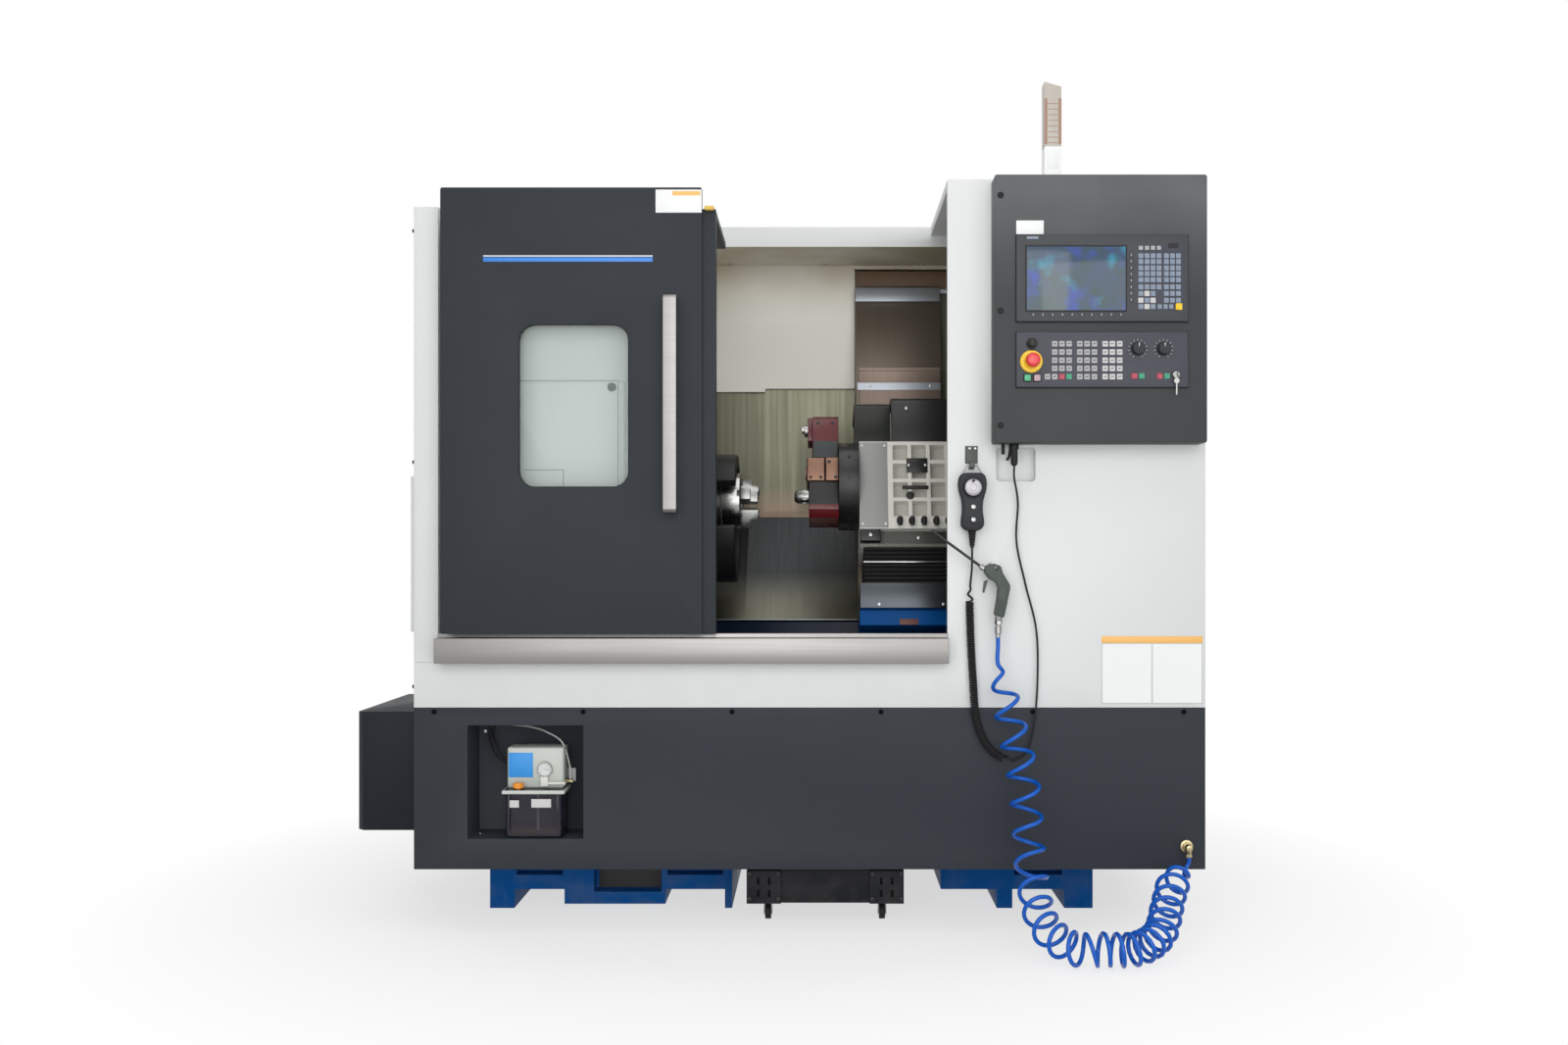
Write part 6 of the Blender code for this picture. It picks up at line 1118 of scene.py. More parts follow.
class LATHE_OT_fit_panel_screws(bpy.types.Operator):
    """Put the dark cap screws and the rubber plugs into the front sheets"""

    bl_idname = "lathe.fit_panel_screws"
    bl_label = "Panel screws"

    def execute(self, context):
        row = [(x, FRONT_Y, 0.6334) for x in (-0.9718, -0.5462, -0.1206, 0.305, 0.739, 1.1702)]
        screws("skirt_screws", row, FRONT, "Deep black", scale=1.3)
        plug = turned("plug_model", (0, 0, 0), FRONT, ((0, 0.0092), (0.0012, 0.0092), (0.0022, 0.0078),
            (0.0012, 0.006), (0.0012, 0.001)), 20)
        spots = [(0.6366, BOX_FACE_Y, z) for z in (2.0898, 1.7657, 1.4443)]
        fitted(copies("box_plugs", plug, spots), "Black rubber")
        screws("recess_screw", [(-0.86, -0.5905, 0.56), (-0.562, -0.5905, 0.56)], FRONT)
        return {"FINISHED"}


class LATHE_OT_dress_door(bpy.types.Operator):
    """Dress the sliding door: skin, window seal, bar handle, bare plate and stripe"""

    bl_idname = "lathe.dress_door"
    bl_label = "Door"

    def execute(self, context):
        softened("door_panel", "Charcoal powder coat", 0.003, 3)
        softened("door_handle", "Stainless sheet", 0.0025, 3)
        low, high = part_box("door_window")
        lap = 0.015
        seal = self.frame_line(low.x + lap, high.x - lap, low.z + lap, high.z - lap, 0.044)
        fitted(pipe("window_seal", [(x, -0.7885, z) for x, z in seal], 0.0018, 3, True), "Black rubber",
            "door")
        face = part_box("door_panel")[0].y
        trim("door_plate", (-0.3335, face - 0.0012, 2.0473), (-0.2035, face + 0.0003, 2.1125),
            "Label white", 0.0004, body="door")
        trim("door_plate_band", (-0.286, face - 0.0016, 2.096), (-0.207, face - 0.001, 2.108),
            "Label orange", 0.0002, body="door")
        trim("door_stripe", (-0.8204, face - 0.0008, 1.9089), (-0.3418, face + 0.0002, 1.9215),
            "Stripe blue", 0.0003, body="door")
        trim("door_stripe_line", (-0.8204, face - 0.0008, 1.9235), (-0.3418, face + 0.0002, 1.9268),
            "Label white", 0.0003, body="door")
        trim("door_buffer", (-0.196, -0.7895, 2.056), (-0.169, -0.772, 2.068), "Buffer foam", 0.003, 3,
            body="door")
        studs = [(-0.2885, -0.7545, z) for z in (1.23, 1.777)]
        screws("handle_bolts", studs, BACK, "Screw steel", "door", 1.2)
        return {"FINISHED"}

    def frame_line(self, left, right, bottom, top, radius):
        """A rounded rectangle as a closed line."""
        line = []
        corners = ((right - radius, top - radius, 0), (left + radius, top - radius, 1),
            (left + radius, bottom + radius, 2), (right - radius, bottom + radius, 3))
        for x, z, quarter in corners:
            for step in range(9):
                turn = pi / 2 * (quarter + step / 8)
                line.append((x + radius * cos(turn), z + radius * sin(turn)))
        return line


class LATHE_OT_dress_control_box(bpy.types.Operator):
    """Dress the control box and the bare plates on the front"""

    bl_idname = "lathe.dress_control_box"
    bl_label = "Control box"

    def execute(self, context):
        # Its coat has a painted sheen, paler towards the top.
        softened("control_box", "Control box powder coat", 0.002, 3)
        face = BOX_FACE_Y
        trim("box_plate", (0.6806, face - 0.0012, 1.9799), (0.7575, face + 0.0003, 2.0184), "Label white",
            0.0004)
        self.notch()
        skin = FRONT_Y
        trim("notice_plate", (0.935, skin - 0.001, 0.656), (1.2234, skin + 0.0003, 0.8492), "Label grey",
            0.0003)
        trim("notice_head", (0.935, skin - 0.0014, 0.8296), (1.2234, skin - 0.0006, 0.8492), "Label orange",
            0.0002)
        fields = [block(f"notice_field_{number}", (low, skin - 0.0013, 0.659),
            (low + 0.1395, skin - 0.0007, 0.8265), 0.0002) for number, low in enumerate((0.9375, 1.0815))]
        fitted(joined("notice_fields", fields), "Label white", smooth=0)
        return {"FINISHED"}

    def notch(self):
        """The white recess under the box, with the plug and the cable that hang in it."""
        trim("notch_back", (0.628, -0.715, 1.286), (0.752, -0.7135, 1.394), "White powder coat", 0.0004)
        plug = block("notch_plug", (0.6445, -0.779, 1.366), (0.6545, -0.769, 1.3957), 0.0015, 2)
        tail = ((0.67, -0.772, 1.3957), (0.67, -0.77, 1.378), (0.669, -0.75, 1.36), (0.669, -0.716, 1.356))
        cable = pipe("notch_cable", flowing(tail, 30), 0.0042, 4)
        fitted(joined("notch_fittings", [plug, cable]), "Black rubber")


def key_model(width, height, rise):
    """A moulded key cap, hollowed a little on top."""
    half = (width / 2, height / 2)
    rim = 0.0012
    made = block("key_model", (-half[0], -rise, -half[1]), (half[0], 0.0004, half[1]),
        corner=(1, 0.0016, 2))
    pick(made, "FACE", lambda face: face.normal.y < -0.9)
    bpy.ops.mesh.inset(thickness=rim, depth=0.0)
    bpy.ops.transform.translate(value=(0, -rise * 0.35, 0))
    bpy.ops.mesh.inset(thickness=rim, depth=0.0)
    bpy.ops.transform.translate(value=(0, rise * 0.15, 0))
    object_mode()
    return made


def keys(name, places, face, size, finish_name, rise=0.0022):
    """Like keys at (x, z) places on a face."""
    made = copies(name, key_model(size[0], size[1], rise), [(x, face, z) for x, z in places])
    return fitted(made, finish_name)


class LATHE_OT_build_display(bpy.types.Operator):
    """Build the display unit: bezel, recessed screen, soft keys and the alphabet keys"""

    bl_idname = "lathe.build_display"
    bl_label = "Display unit"

    columns = (1.0272, 1.0444, 1.0612, 1.078, 1.0986, 1.1155, 1.1322)
    rows = (1.9172, 1.901, 1.8835, 1.8673, 1.8503, 1.8303, 1.812, 1.7931, 1.7755)

    def execute(self, context):
        low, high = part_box("display_unit")
        face = PANEL_FACE_Y
        bezel = block("display_bezel", (low.x, face, low.z), (high.x, high.y, high.z), corner=(1, 0.004, 3))
        window = block("screen_cutter", (0.7094, face - 0.01, 1.7668), (0.9861, face + 0.0034, 1.9449),
            corner=(1, 0.002, 2))
        pierced(bezel, window)
        bevelled(bezel, 0.0012)
        stand_in(bezel, "Bezel plastic", "display_unit")
        trim("display_gasket", (low.x - 0.002, face + 0.005, low.z - 0.0028),
            (high.x + 0.002, high.y, high.z + 0.0014), "Black rubber", 0.001)
        lip = face + 0.0034
        trim("screen_rim", (0.705, lip - 0.0044, 1.7615), (0.9885, lip + 0.0002, 1.947), "Black plastic",
            0.0004)
        trim("screen_pane", (0.7086, lip - 0.0052, 1.7652), (0.9849, lip - 0.004, 1.9434), "Screen glass",
            0.0004)
        trim("bezel_mark", (0.7088, face - 0.0006, 1.965), (0.741, face + 0.0004, 1.9716),
            "Blue grey key caps", 0.0002, smooth=0)
        trim("bezel_dark_mark", (1.104, face - 0.0006, 1.939), (1.133, face + 0.0004, 1.953),
            "Black plastic", 0.0002, smooth=0)
        trim("keypad_field", (1.0185, face - 0.0003, 1.7625), (1.1485, face + 0.0005, 1.95), "Panel film",
            0.0002)
        small = [(x, 1.9394) for x in self.columns[:4]]
        keys("function_keys", small, face, (0.0115, 0.0115), "Key caps")
        rows = self.rows
        grey = [(x, z) for z in rows[:6] for x in self.columns]
        grey += [(self.columns[c], rows[6]) for c in (0, 2, 4, 5, 6)]
        grey += [(self.columns[c], rows[7]) for c in (1, 4, 5, 6)]
        grey += [(self.columns[c], rows[8]) for c in (0, 2)]
        keys("letter_keys", grey, face, (0.0134, 0.0136), "Blue grey key caps")
        arrows = [(self.columns[1], rows[6]), (self.columns[0], rows[7])]
        arrows += [(self.columns[2], rows[7]), (self.columns[1], rows[8])]
        keys("arrow_keys", arrows, face, (0.0145, 0.0145), "Pale key caps")
        short = [(x, rows[8]) for x in (1.08, 1.0964, 1.112)]
        keys("shift_keys", short, face, (0.0115, 0.0125), "Blue grey key caps")
        keys("input_key", [(1.134, rows[8])], face, (0.018, 0.018), "Collar yellow")
        side = [(1.0005, 1.9202 - number * 0.01793) for number in range(8)]
        foot = [(0.7264 + number * 0.02731, 1.7534) for number in range(10)]
        keys("soft_keys", side + foot, face, (0.0135, 0.012), "Bezel plastic", 0.001)
        marks = [block(f"soft_mark_{n}", (x - 0.0012, face - 0.0016, z - 0.003),
            (x + 0.0012, face - 0.0008, z + 0.003)) for n, (x, z) in enumerate(side + foot)]
        fitted(joined("soft_key_marks", marks), "Key caps", smooth=0)
        return {"FINISHED"}


class LATHE_OT_build_operator_panel(bpy.types.Operator):
    """Build the operator panel: film, three key blocks, coloured keys, knob scales and lock"""

    bl_idname = "lathe.build_operator_panel"
    bl_label = "Operator panel"

    def execute(self, context):
        low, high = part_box("operator_panel")
        face = PANEL_FACE_Y
        panel = block("operator_plate", (low.x, face, low.z), (high.x, high.y, high.z),
            corner=(1, 0.004, 3))
        bevelled(panel, 0.001)
        holes = [(STOP_X, STOP_Z, 0.0116), *((x, KNOB_Z, 0.0055) for x in KNOBS.values())]
        holes += [*((x, BUTTON_Z, 0.0075) for x in BUTTONS.values()), (LOCK_X, LOCK_Z, 0.0055)]
        for number, (x, z, radius) in enumerate(holes):
            pierced(panel, drum(f"hole_{number}", (x, face - 0.02, z), BACK, radius, 0.05, 20))
        stand_in(panel, "Panel film", "operator_panel")
        edge = block("panel_gasket", (low.x - 0.002, face + 0.005, low.z - 0.0028),
            (high.x + 0.002, high.y, high.z + 0.0014), 0.001)
        for number, (x, z, radius) in enumerate(holes):
            pierced(edge, drum(f"hole_{number}", (x, face - 0.02, z), BACK, radius, 0.05, 20))
        fitted(edge, "Black rubber")
        rows = (1.6714, 1.6484, 1.6254, 1.6026, 1.5796)
        first = (0.7864, 0.8066, 0.8266)
        second = (0.8565, 0.8768, 0.8973)
        third = (0.9275, 0.9475, 0.968)
        grey = [(x, z) for z in rows[:4] for x in (*first, *second)]
        grey += [(0.7661, rows[4]), (0.7864, rows[4])] + [(x, rows[4]) for x in second]
        pale = [(x, z) for z in rows for x in third]
        size = (0.0156, 0.0156)
        keys("machine_keys", grey, face, size, "Key caps", 0.0026)
        keys("feed_keys", pale, face, size, "Pale key caps", 0.0026)
        red = [(0.8066, rows[4]), (1.0094, 1.5815), (1.0801, 1.5815)]
        green = [(0.8266, rows[4]), (1.0296, 1.5815), (1.1003, 1.5815)]
        keys("red_keys", red, face, size, "Red key caps", 0.0026)
        keys("green_keys", green, face, size, "Green key caps", 0.0026)
        marks = []
        for x, z in grey + pale:
            marks.append(block(f"key_mark_{len(marks)}", (x - 0.004, face - 0.0034, z - 0.001),
                (x + 0.004, face - 0.0028, z + 0.001)))
        fitted(joined("machine_key_marks", marks), "Panel film", smooth=0)
        fitted(turned("stop_collar", (STOP_X, face + 0.0004, STOP_Z), FRONT,
            ((0, 0.0315), (0.0048, 0.0315), (0.0075, 0.0295), (0.0078, 0.021), (0.0062, 0.0195),
            (0.0062, 0.0135), (0.0, 0.0135)), 48), "Collar yellow")
        self.scales(face)
        lock = turned("lock_knob", (0.7225, face + 0.0003, 1.6726), FRONT,
            ((0, 0.015), (0.004, 0.015), (0.006, 0.0135), (0.006, 0.0105), (0.015, 0.0098), (0.016, 0.0085),
            (0.016, 0.001)), 32)
        tab = block("lock_tab", (0.7175, face - 0.006, 1.6445), (0.7275, face - 0.001, 1.662), 0.001)
        slit = block("lock_slit", (0.7215, face - 0.0166, 1.6665), (0.7235, face - 0.0155, 1.679), 0.0003)
        fitted(joined("panel_lock", [lock, tab]), "Black plastic")
        fitted(slit, "Bezel plastic")
        for number, x in enumerate(BUTTONS.values()):
            frame_edge = block(f"push_frame_{number}", (x - 0.0112, face - 0.0032, 1.5648),
                (x + 0.0112, face + 0.0003, 1.5872), corner=(1, 0.002, 2))
            bevelled(frame_edge, 0.0006)
            hole = block("frame_hole", (x - 0.0094, face - 0.02, 1.5666), (x + 0.0094, face + 0.02, 1.5854))
            pierced(frame_edge, hole)
            fitted(frame_edge, "Black plastic")
        return {"FINISHED"}

    def scales(self, face):
        """Tick marks round the two override knobs."""
        ticks = []
        for centre in KNOBS.values():
            turns = range(-150, 151, 25)
            ticks += marks_round("tick", (-0.0008, -0.0004, 0.0225), (0.0008, 0.0003, 0.0275),
                (centre, face, KNOB_Z), turns)
        fitted(joined("knob_ticks", ticks), "Key caps", smooth=0)


class LATHE_OT_build_knobs(bpy.types.Operator):
    """Build the emergency stop, override knobs, push-buttons and the key in its switch"""

    bl_idname = "lathe.build_knobs"
    bl_label = "Knobs and buttons"

    def execute(self, context):
        face = PANEL_FACE_Y
        stop = turned("stop_head", (STOP_X, face + 0.0035, STOP_Z), FRONT,
            ((0, 0.0108), (0.0262, 0.0108), (0.0285, 0.0175), (0.033, 0.0196), (0.045, 0.02),
            (0.0495, 0.0188), (0.0528, 0.015), (0.0536, 0.008), (0.0536, 0.001)), 48)
        stand_in(stop, "Stop red", "emergency_stop")
        for body, x in KNOBS.items():
            self.override(body, x, face)
        for (body, x), finish_name in zip(BUTTONS.items(), ("Start green", "Hold grey")):
            cap = block(body + "_cap", (x - 0.0086, face - 0.0088, 1.5674),
                (x + 0.0086, face - 0.004, 1.5846), corner=(1, 0.0018, 2))
            bevelled(cap, 0.0006)
            stem = drum(body + "_stem", (x, face + 0.0035, BUTTON_Z), FRONT, 0.0066, 0.008, 20)
            cap = joined(body + "_cap", [cap, stem])
            stand_in(cap, finish_name, body)
        self.key(face)
        return {"FINISHED"}

    def override(self, body, x, face):
        """One fluted knob with its pointer line."""
        knob = turned(body + "_turned", (x, face + 0.0035, KNOB_Z), FRONT,
            ((0, 0.005), (0.0045, 0.005), (0.005, 0.0186), (0.007, 0.019), (0.022, 0.0172), (0.024, 0.0155),
            (0.024, 0.001)), 36)
        flutes = [drum(f"flute_{number}", (x + 0.0208 * cos(number * pi / 6), face - 0.002,
            KNOB_Z + 0.0208 * sin(number * pi / 6)), FRONT, 0.0042, 0.03, 12) for number in range(12)]
        pierced(knob, joined("flutes", flutes))
        bevelled(knob, 0.0004, 1, 50.0)
        stand_in(knob, "Pendant film", body)
        line = block("pointer", (x - 0.0008, face - 0.0212, 1.662), (x + 0.0008, face - 0.02, 1.6725),
            0.0002)
        line.name = body + "_pointer"
        fitted(line, "Label white", body)

    def key(self, face):
        """The lock barrel and the key that hangs from it."""
        x, z = LOCK_X, LOCK_Z
        barrel = turned("key_barrel", (x, face + 0.0035, z), FRONT,
            ((0, 0.0048), (0.0045, 0.0048), (0.0045, 0.0108), (0.0085, 0.011), (0.0125, 0.0092),
            (0.013, 0.001)), 32)
        blade = block("key_blade", (x - 0.001, face - 0.016, z - 0.0035),
            (x + 0.001, face - 0.008, z + 0.0035))
        bow = turned("key_bow", (x - 0.0011, face - 0.0245, z), RIGHT,
            ((0, 0.0085), (0.0003, 0.0098), (0.0019, 0.0098), (0.0022, 0.0085)), 28)
        eye = drum("key_eye", (x - 0.01, face - 0.03, z), RIGHT, 0.0022, 0.02, 16)
        pierced(bow, eye)
        made = joined("key_in_lock", [barrel, blade, bow])
        stand_in(made, "Bright steel", "key_switch")
        ring_y = face - 0.012
        ring = [(x + 0.0075 * sin(n * pi / 10), ring_y,
            z - 0.003 - 0.0075 * cos(n * pi / 10)) for n in range(20)]
        loop = pipe("key_ring", ring, 0.0007, 3, True)
        second = drum("spare_key", (x, ring_y - 0.001, z - 0.0165), BACK, 0.0075, 0.002, 24, 0.0005)
        stem = block("spare_key_blade", (x - 0.002, ring_y - 0.0008, z - 0.056),
            (x + 0.002, ring_y + 0.0008, z - 0.0215), 0.0003)
        fitted(joined("spare_key_set", [loop, second, stem]), "Ground steel", "machine")


class LATHE_OT_build_tower(bpy.types.Operator):
    """Dress the slim signal tower: foot, white body, frosted lens with dark side strips"""

    bl_idname = "lathe.build_tower"
    bl_label = "Signal tower"

    def execute(self, context):
        tower = softened("signal_tower", "Tower plastic", 0.002, 3)
        parted(tower, ((0, 0, LENS_FOOT), UP))
        repaint(tower, "Tower lens", lambda f: f.center.z > LENS_FOOT)
        low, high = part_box("signal_tower")
        middle = (low.x + high.x) / 2
        half = 0.0245
        strips = []
        for side in (-1, 1):
            edge = middle + side * (half - 0.004)
            strips.append(block("lens_strip", (edge - 0.0044, low.y - 0.0006, 2.27),
                (edge + 0.0044, low.y + 0.002, 2.403), 0.0006))
        fitted(joined("lens_strips", strips), "Lens brown", smooth=0)
        bars = [block(f"lens_bar_{n}", (middle - 0.015, low.y - 0.0005, 2.273 + n * 0.0162),
            (middle + 0.015, low.y + 0.0004, 2.275 + n * 0.0162), 0.0002) for n in range(8)]
        fitted(joined("lens_bars", bars), "Lens brown", smooth=0)
        trim("tower_plate", (middle - 0.016, low.y - 0.0008, 2.2), (middle + 0.016, low.y + 0.0004, 2.252),
            "Label white", 0.0004)
        return {"FINISHED"}


def outlined(name, points, low, high, round_off=0.0, steps=2):
    """An outline of (back, up) points drawn as a filled curve, as thick as low to high along X."""
    made = line_curve(name, [(back, up, 0.0) for back, up in points], "2D", True)
    made.data.fill_mode = "BOTH"
    made.data.extrude = (high - low) / 2
    made = meshed(made)
    middle = (low + high) / 2
    made.data.transform(Matrix(((0, 0, 1, middle), (1, 0, 0, 0), (0, 1, 0, 0), (0, 0, 0, 1))))
    cleaned(made)
    bpy.ops.mesh.normals_make_consistent(inside=False)
    object_mode()
    if round_off:
        bevelled(made, round_off, steps, 30.0)
    return made


def faced(name, points, front, back, round_off=0.0, steps=2):
    """An outline of (x, z) points as thick as front to back along Y."""
    made = outlined(name, points, -back, -front, round_off, steps)
    made.data.transform(Matrix.Rotation(-pi / 2, 4, "Z"))
    return made


def on_slope(place):
    """A place in the carriage's own (x, back, up)."""
    return LEAN.inverted() @ place


def parted(made, *planes):
    """Faces are cut along planes, each (place, normal), so that a finish may change there."""
    for place, normal in planes:
        open_all(made)
        bpy.ops.mesh.bisect(plane_co=place, plane_no=normal)
        object_mode()
    return made


class LATHE_OT_dress_chamber(bpy.types.Operator):
    """Dress the work chamber: lapped wall sheets, painted shade in the gap over the slide, beam screws, trough
    """

    bl_idname = "lathe.dress_chamber"
    bl_label = "Work chamber"

    def execute(self, context):
        # The trough is painted darker than the base: painted shade.
        softened("chip_trough", "Trough enamel", 0.001)
        wall = CHAMBER_WALL_Y
        lap = 0.0009
        outline = ((wall, WALL_TOP), (wall, 1.2125), (-0.1395, 0.869),
            (-0.1395 - lap * 0.7, 0.869 + lap * 0.7), (wall - lap, 1.2133), (wall - lap, WALL_TOP))
        sheet = outlined("wall_lap", outline, -0.244, -0.1148)
        fitted(sheet, "Chamber stainless")
        # The lap's lower slope takes the darker copy too: painted shade.
        repaint(sheet, "Dark way sheet", lambda f: f.center.z < WALL_FOOT)
        trim("trough_lip", (-0.244, -0.142, 0.8672), (0.27, -0.1392, 0.87), "Lip steel", 0.0004)
        # A brown strip painted as the shade in the gap above the slide.
        trim("slide_slot", (0.256, wall - 0.0015, 2.012), (1.15, wall - 0.0005, WALL_TOP), "Slot brown",
            0.0003)
        trim("slide_rail", (0.256, wall - 0.004, 1.996), (1.15, wall - 0.0005, 2.012), "Lip steel", 0.001)
        beam = [(0.1503, 0.165, 2.09), (0.4814, 0.165, 2.09), (-0.18, 0.165, 2.09)]
        screws("beam_screws", beam, DOWN, scale=1.3)
        inner = 0.2
        sheet = ((-0.5, 1.6486), (-0.0586, 1.6486), (-0.0586, 1.6606), (0.2528, 1.6606), (0.2528, 2.0885),
            (-0.5, 2.0885))
        fitted(faced("inner_sheet", sheet, inner - 0.0006, inner + 0.002, 0.0003, 1), "Chamber paint")
        trim("chamber_lamp", (-0.15, -0.118, 2.0995), (0.18, -0.074, 2.125), "Tower lens", 0.006, 3)
        fitted(turned("hatch_lock", (-0.468, -0.7102, 1.564), FRONT,
            ((0, 0.0125), (0.0035, 0.0125), (0.005, 0.011), (0.005, 0.005), (0.004, 0.004), (0.004, 0.001)),
            28), "Black plastic")
        skin = -0.71
        # Two pale grey lines painted as the shadow along the hatch's recessed grip.
        grip = [block("grip_top", (-0.72, skin - 0.0008, 1.324), (-0.606, skin + 0.0002, 1.3275), 0.0003),
            block("grip_side", (-0.609, skin - 0.0008, 1.26), (-0.6055, skin + 0.0002, 1.325), 0.0003)]
        fitted(joined("hatch_grip", grip), "Hatch shadow", smooth=0)
        seams = [block("seam_top", (-0.8, skin - 0.0005, 1.5822), (-0.45, skin + 0.0002, 1.5836), 0.0002),
            block("seam_side", (-0.451, skin - 0.0005, 1.2), (-0.4496, skin + 0.0002, 1.583), 0.0002)]
        fitted(joined("hatch_seams", seams), "Dark recess", smooth=0)
        return {"FINISHED"}


class LATHE_OT_dress_carriage(bpy.types.Operator):
    """Dress the saddle, the sliding cover and the turret housing with its covers and fittings"""

    bl_idname = "lathe.dress_carriage"
    bl_label = "Carriage"

    def execute(self, context):
        self.saddle()
        self.sliding_cover()
        self.housing()
        return {"FINISHED"}

    def widen(self, cover):
        """A cover's left edge is drawn out to where the photograph has it."""
        for vertex in cover.data.vertices:
            if vertex.co.x < 0.3:
                vertex.co.x -= 0.015

    def saddle(self):
        saddle = softened("saddle", "Telescopic sheet", 0.0015)
        for vertex in saddle.data.vertices:
            if -0.41 < on_slope(vertex.co).z < -0.315:
                vertex.co -= UP_SLOPE * 0.018
        self.widen(saddle)
        for up in (-0.422, -0.341):
            parted(saddle, (LEAN @ Vector((0, 0, up)), UP_SLOPE))
        repaint(saddle, "Dull steel", lambda f: -0.4225 < on_slope(f.center).z < -0.3405)
        repaint(saddle, "Base enamel", lambda f: on_slope(f.center).z <= -0.422)
        left, right = 0.254, 0.5455
        trim("saddle_top_lip", (left, 0.148, 0.7386), (right, 0.1602, 0.7905), "Lip steel", 0.002,
            body="saddle", leaning=True)
        trim("nose_block", (0.3759, -0.0478, -0.469), (0.4332, -0.044, -0.45), "Rust brown", 0.0008,
            body="saddle", leaning=True)
        slope_screws("lower_cover_screws", [(x, -0.07, -0.41) for x in (0.3129, 0.5098)], "saddle", 0.9)

    def sliding_cover(self):
        cover = softened("sliding_cover", "Warm sheet", 0.0012)
        self.widen(cover)
        left, right = 0.258, 0.538
        trim("cover_band", (left, 0.1318, 0.398), (right, 0.1345, 0.424), "Lip steel", 0.0006,
            body="sliding_cover", leaning=True)
        slope_screws("cover_band_screws", [(x, 0.1318, 0.411) for x in (0.2988, 0.5046)], "sliding_cover",
            0.9)

    def housing(self):
        housing = softened("turret_housing", "Casting paint", 0.003)
        repaint(housing, "Black plastic", lambda f: on_slope(f.center).y < -0.101)
        floor = -0.072
        # The pocket floors take a darker copy of the paint: painted shade in the pockets.
        repaint(housing, "Dark casting paint",
            lambda f: floor < on_slope(f.center).y < -0.069 and on_slope(f.center).z > -0.17)
        repaint(housing, "Dark ledge",
            lambda f: -0.214 < on_slope(f.center).z < -0.176 and f.center.x > 0.32)
        inside = ((0.128, 0.2575), (-0.019, 0.2575), (-0.047, 0.229), (-0.047, 0.116))
        shade = ((-0.052, 0.116), (-0.052, 0.247), (-0.044, 0.264), (-0.026, 0.276), (-0.006, 0.28))
        fitted(lean(outlined("left_cap_cover", (*shade, (0.128, 0.28), *inside), 0.24, 0.3575, 0.004, 3)),
            "Brown black cover", "cross_slide")
        hood = ((-0.06, 0.11), (-0.06, 0.262), (-0.052, 0.28), (-0.034, 0.292), (-0.014, 0.296))
        inside = (*inside[:3], (-0.047, 0.11))
        fitted(lean(outlined("right_cap_cover", (*hood, (0.128, 0.296), *inside), 0.3585, 0.5474, 0.004,
            3)), "Black cover paint", "cross_slide")
        slope_screws("cap_screws", [(x, -0.06, up) for x, up in ((0.409, 0.246), (0.402, 0.123),
            (0.503, 0.123))], "cross_slide")
        trim("side_plate", (0.256, -0.1018, -0.172), (0.343, -0.0995, 0.112), "Side plate paint", 0.001,
            body="cross_slide", leaning=True)
        spots = [(x, -0.1018, up) for x in (0.264, 0.335) for up in (-0.16, 0.1)]
        spots += [(x, -0.103, 0.034) for x in (0.41, 0.462)]
        trim("rib_plate", (0.4028, -0.103, 0.01), (0.469, -0.0995, 0.058), "Black cover paint", 0.001,
            body="cross_slide", leaning=True)
        slope_screws("housing_screws", spots, "cross_slide", 0.8)
        bar = lean(block("rib_bar", (0.388, -0.1075, -0.046), (0.47, -0.099, -0.035), 0.002, 3))
        plug = lean(drum("rib_plug", (0.4124, -0.099, -0.066), FRONT, 0.013, 0.005, 24, 0.0015))
        fitted(joined("rib_fittings", [bar, plug]), "Black plastic", "cross_slide")
        trim("slide_stop", (0.2574, -0.098, -0.2135), (0.3185, -0.0695, -0.1768), "Blackened steel", 0.002,
            body="cross_slide", leaning=True)
        slope_screws("slide_screws", [(0.288, -0.098, -0.195), (0.4377, -0.07, -0.195)], "cross_slide")
        tails = []
        pitch = (0.292 - 0.105) / 5
        for number in range(5):
            x = 0.2551 + 0.105 + pitch * (number + 0.5)
            tails.append(lean(drum(f"elbow_{number}", (x, -0.1235, -0.15), DOWN, 0.0075, 0.021, 16,
                0.0015)))
            tails.append(lean(drum(f"nut_{number}", (x, -0.1, -0.15), FRONT, 0.0112, 0.008, 6, 0.001)))
        fitted(joined("coolant_elbows", tails), "Black plastic", "cross_slide")


class LATHE_OT_fold_bellows(bpy.types.Operator):
    """Fold the rubber bellows between the slide and the saddle's cover"""

    bl_idname = "lathe.fold_bellows"
    bl_label = "Bellows"

    def execute(self, context):
        low, high = -0.3402, -0.2158
        folds = 9
        pitch = (high - low) / folds
        front = []
        for number in range(folds):
            base = low + pitch * number
            front += [(-0.0385, base), (-0.049, base + pitch * 0.38), (-0.049, base + pitch * 0.62)]
        front.append((-0.0385, high))
        outline = [(0.159, high), (0.159, low), *front]
        pleats = lean(outlined("bellows_pleats", outline, 0.268, 0.5355, 0.0009))
        fitted(pleats, "Black rubber", None)
        strip = lean(block("bellows_strip", (0.2665, -0.05, -0.269), (0.537, -0.048, -0.2645), 0.0005))
        fitted(strip, "Bright steel", None)
        for piece in (pleats, strip):
            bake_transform(piece)
        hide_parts("bellows")
        return {"FINISHED"}


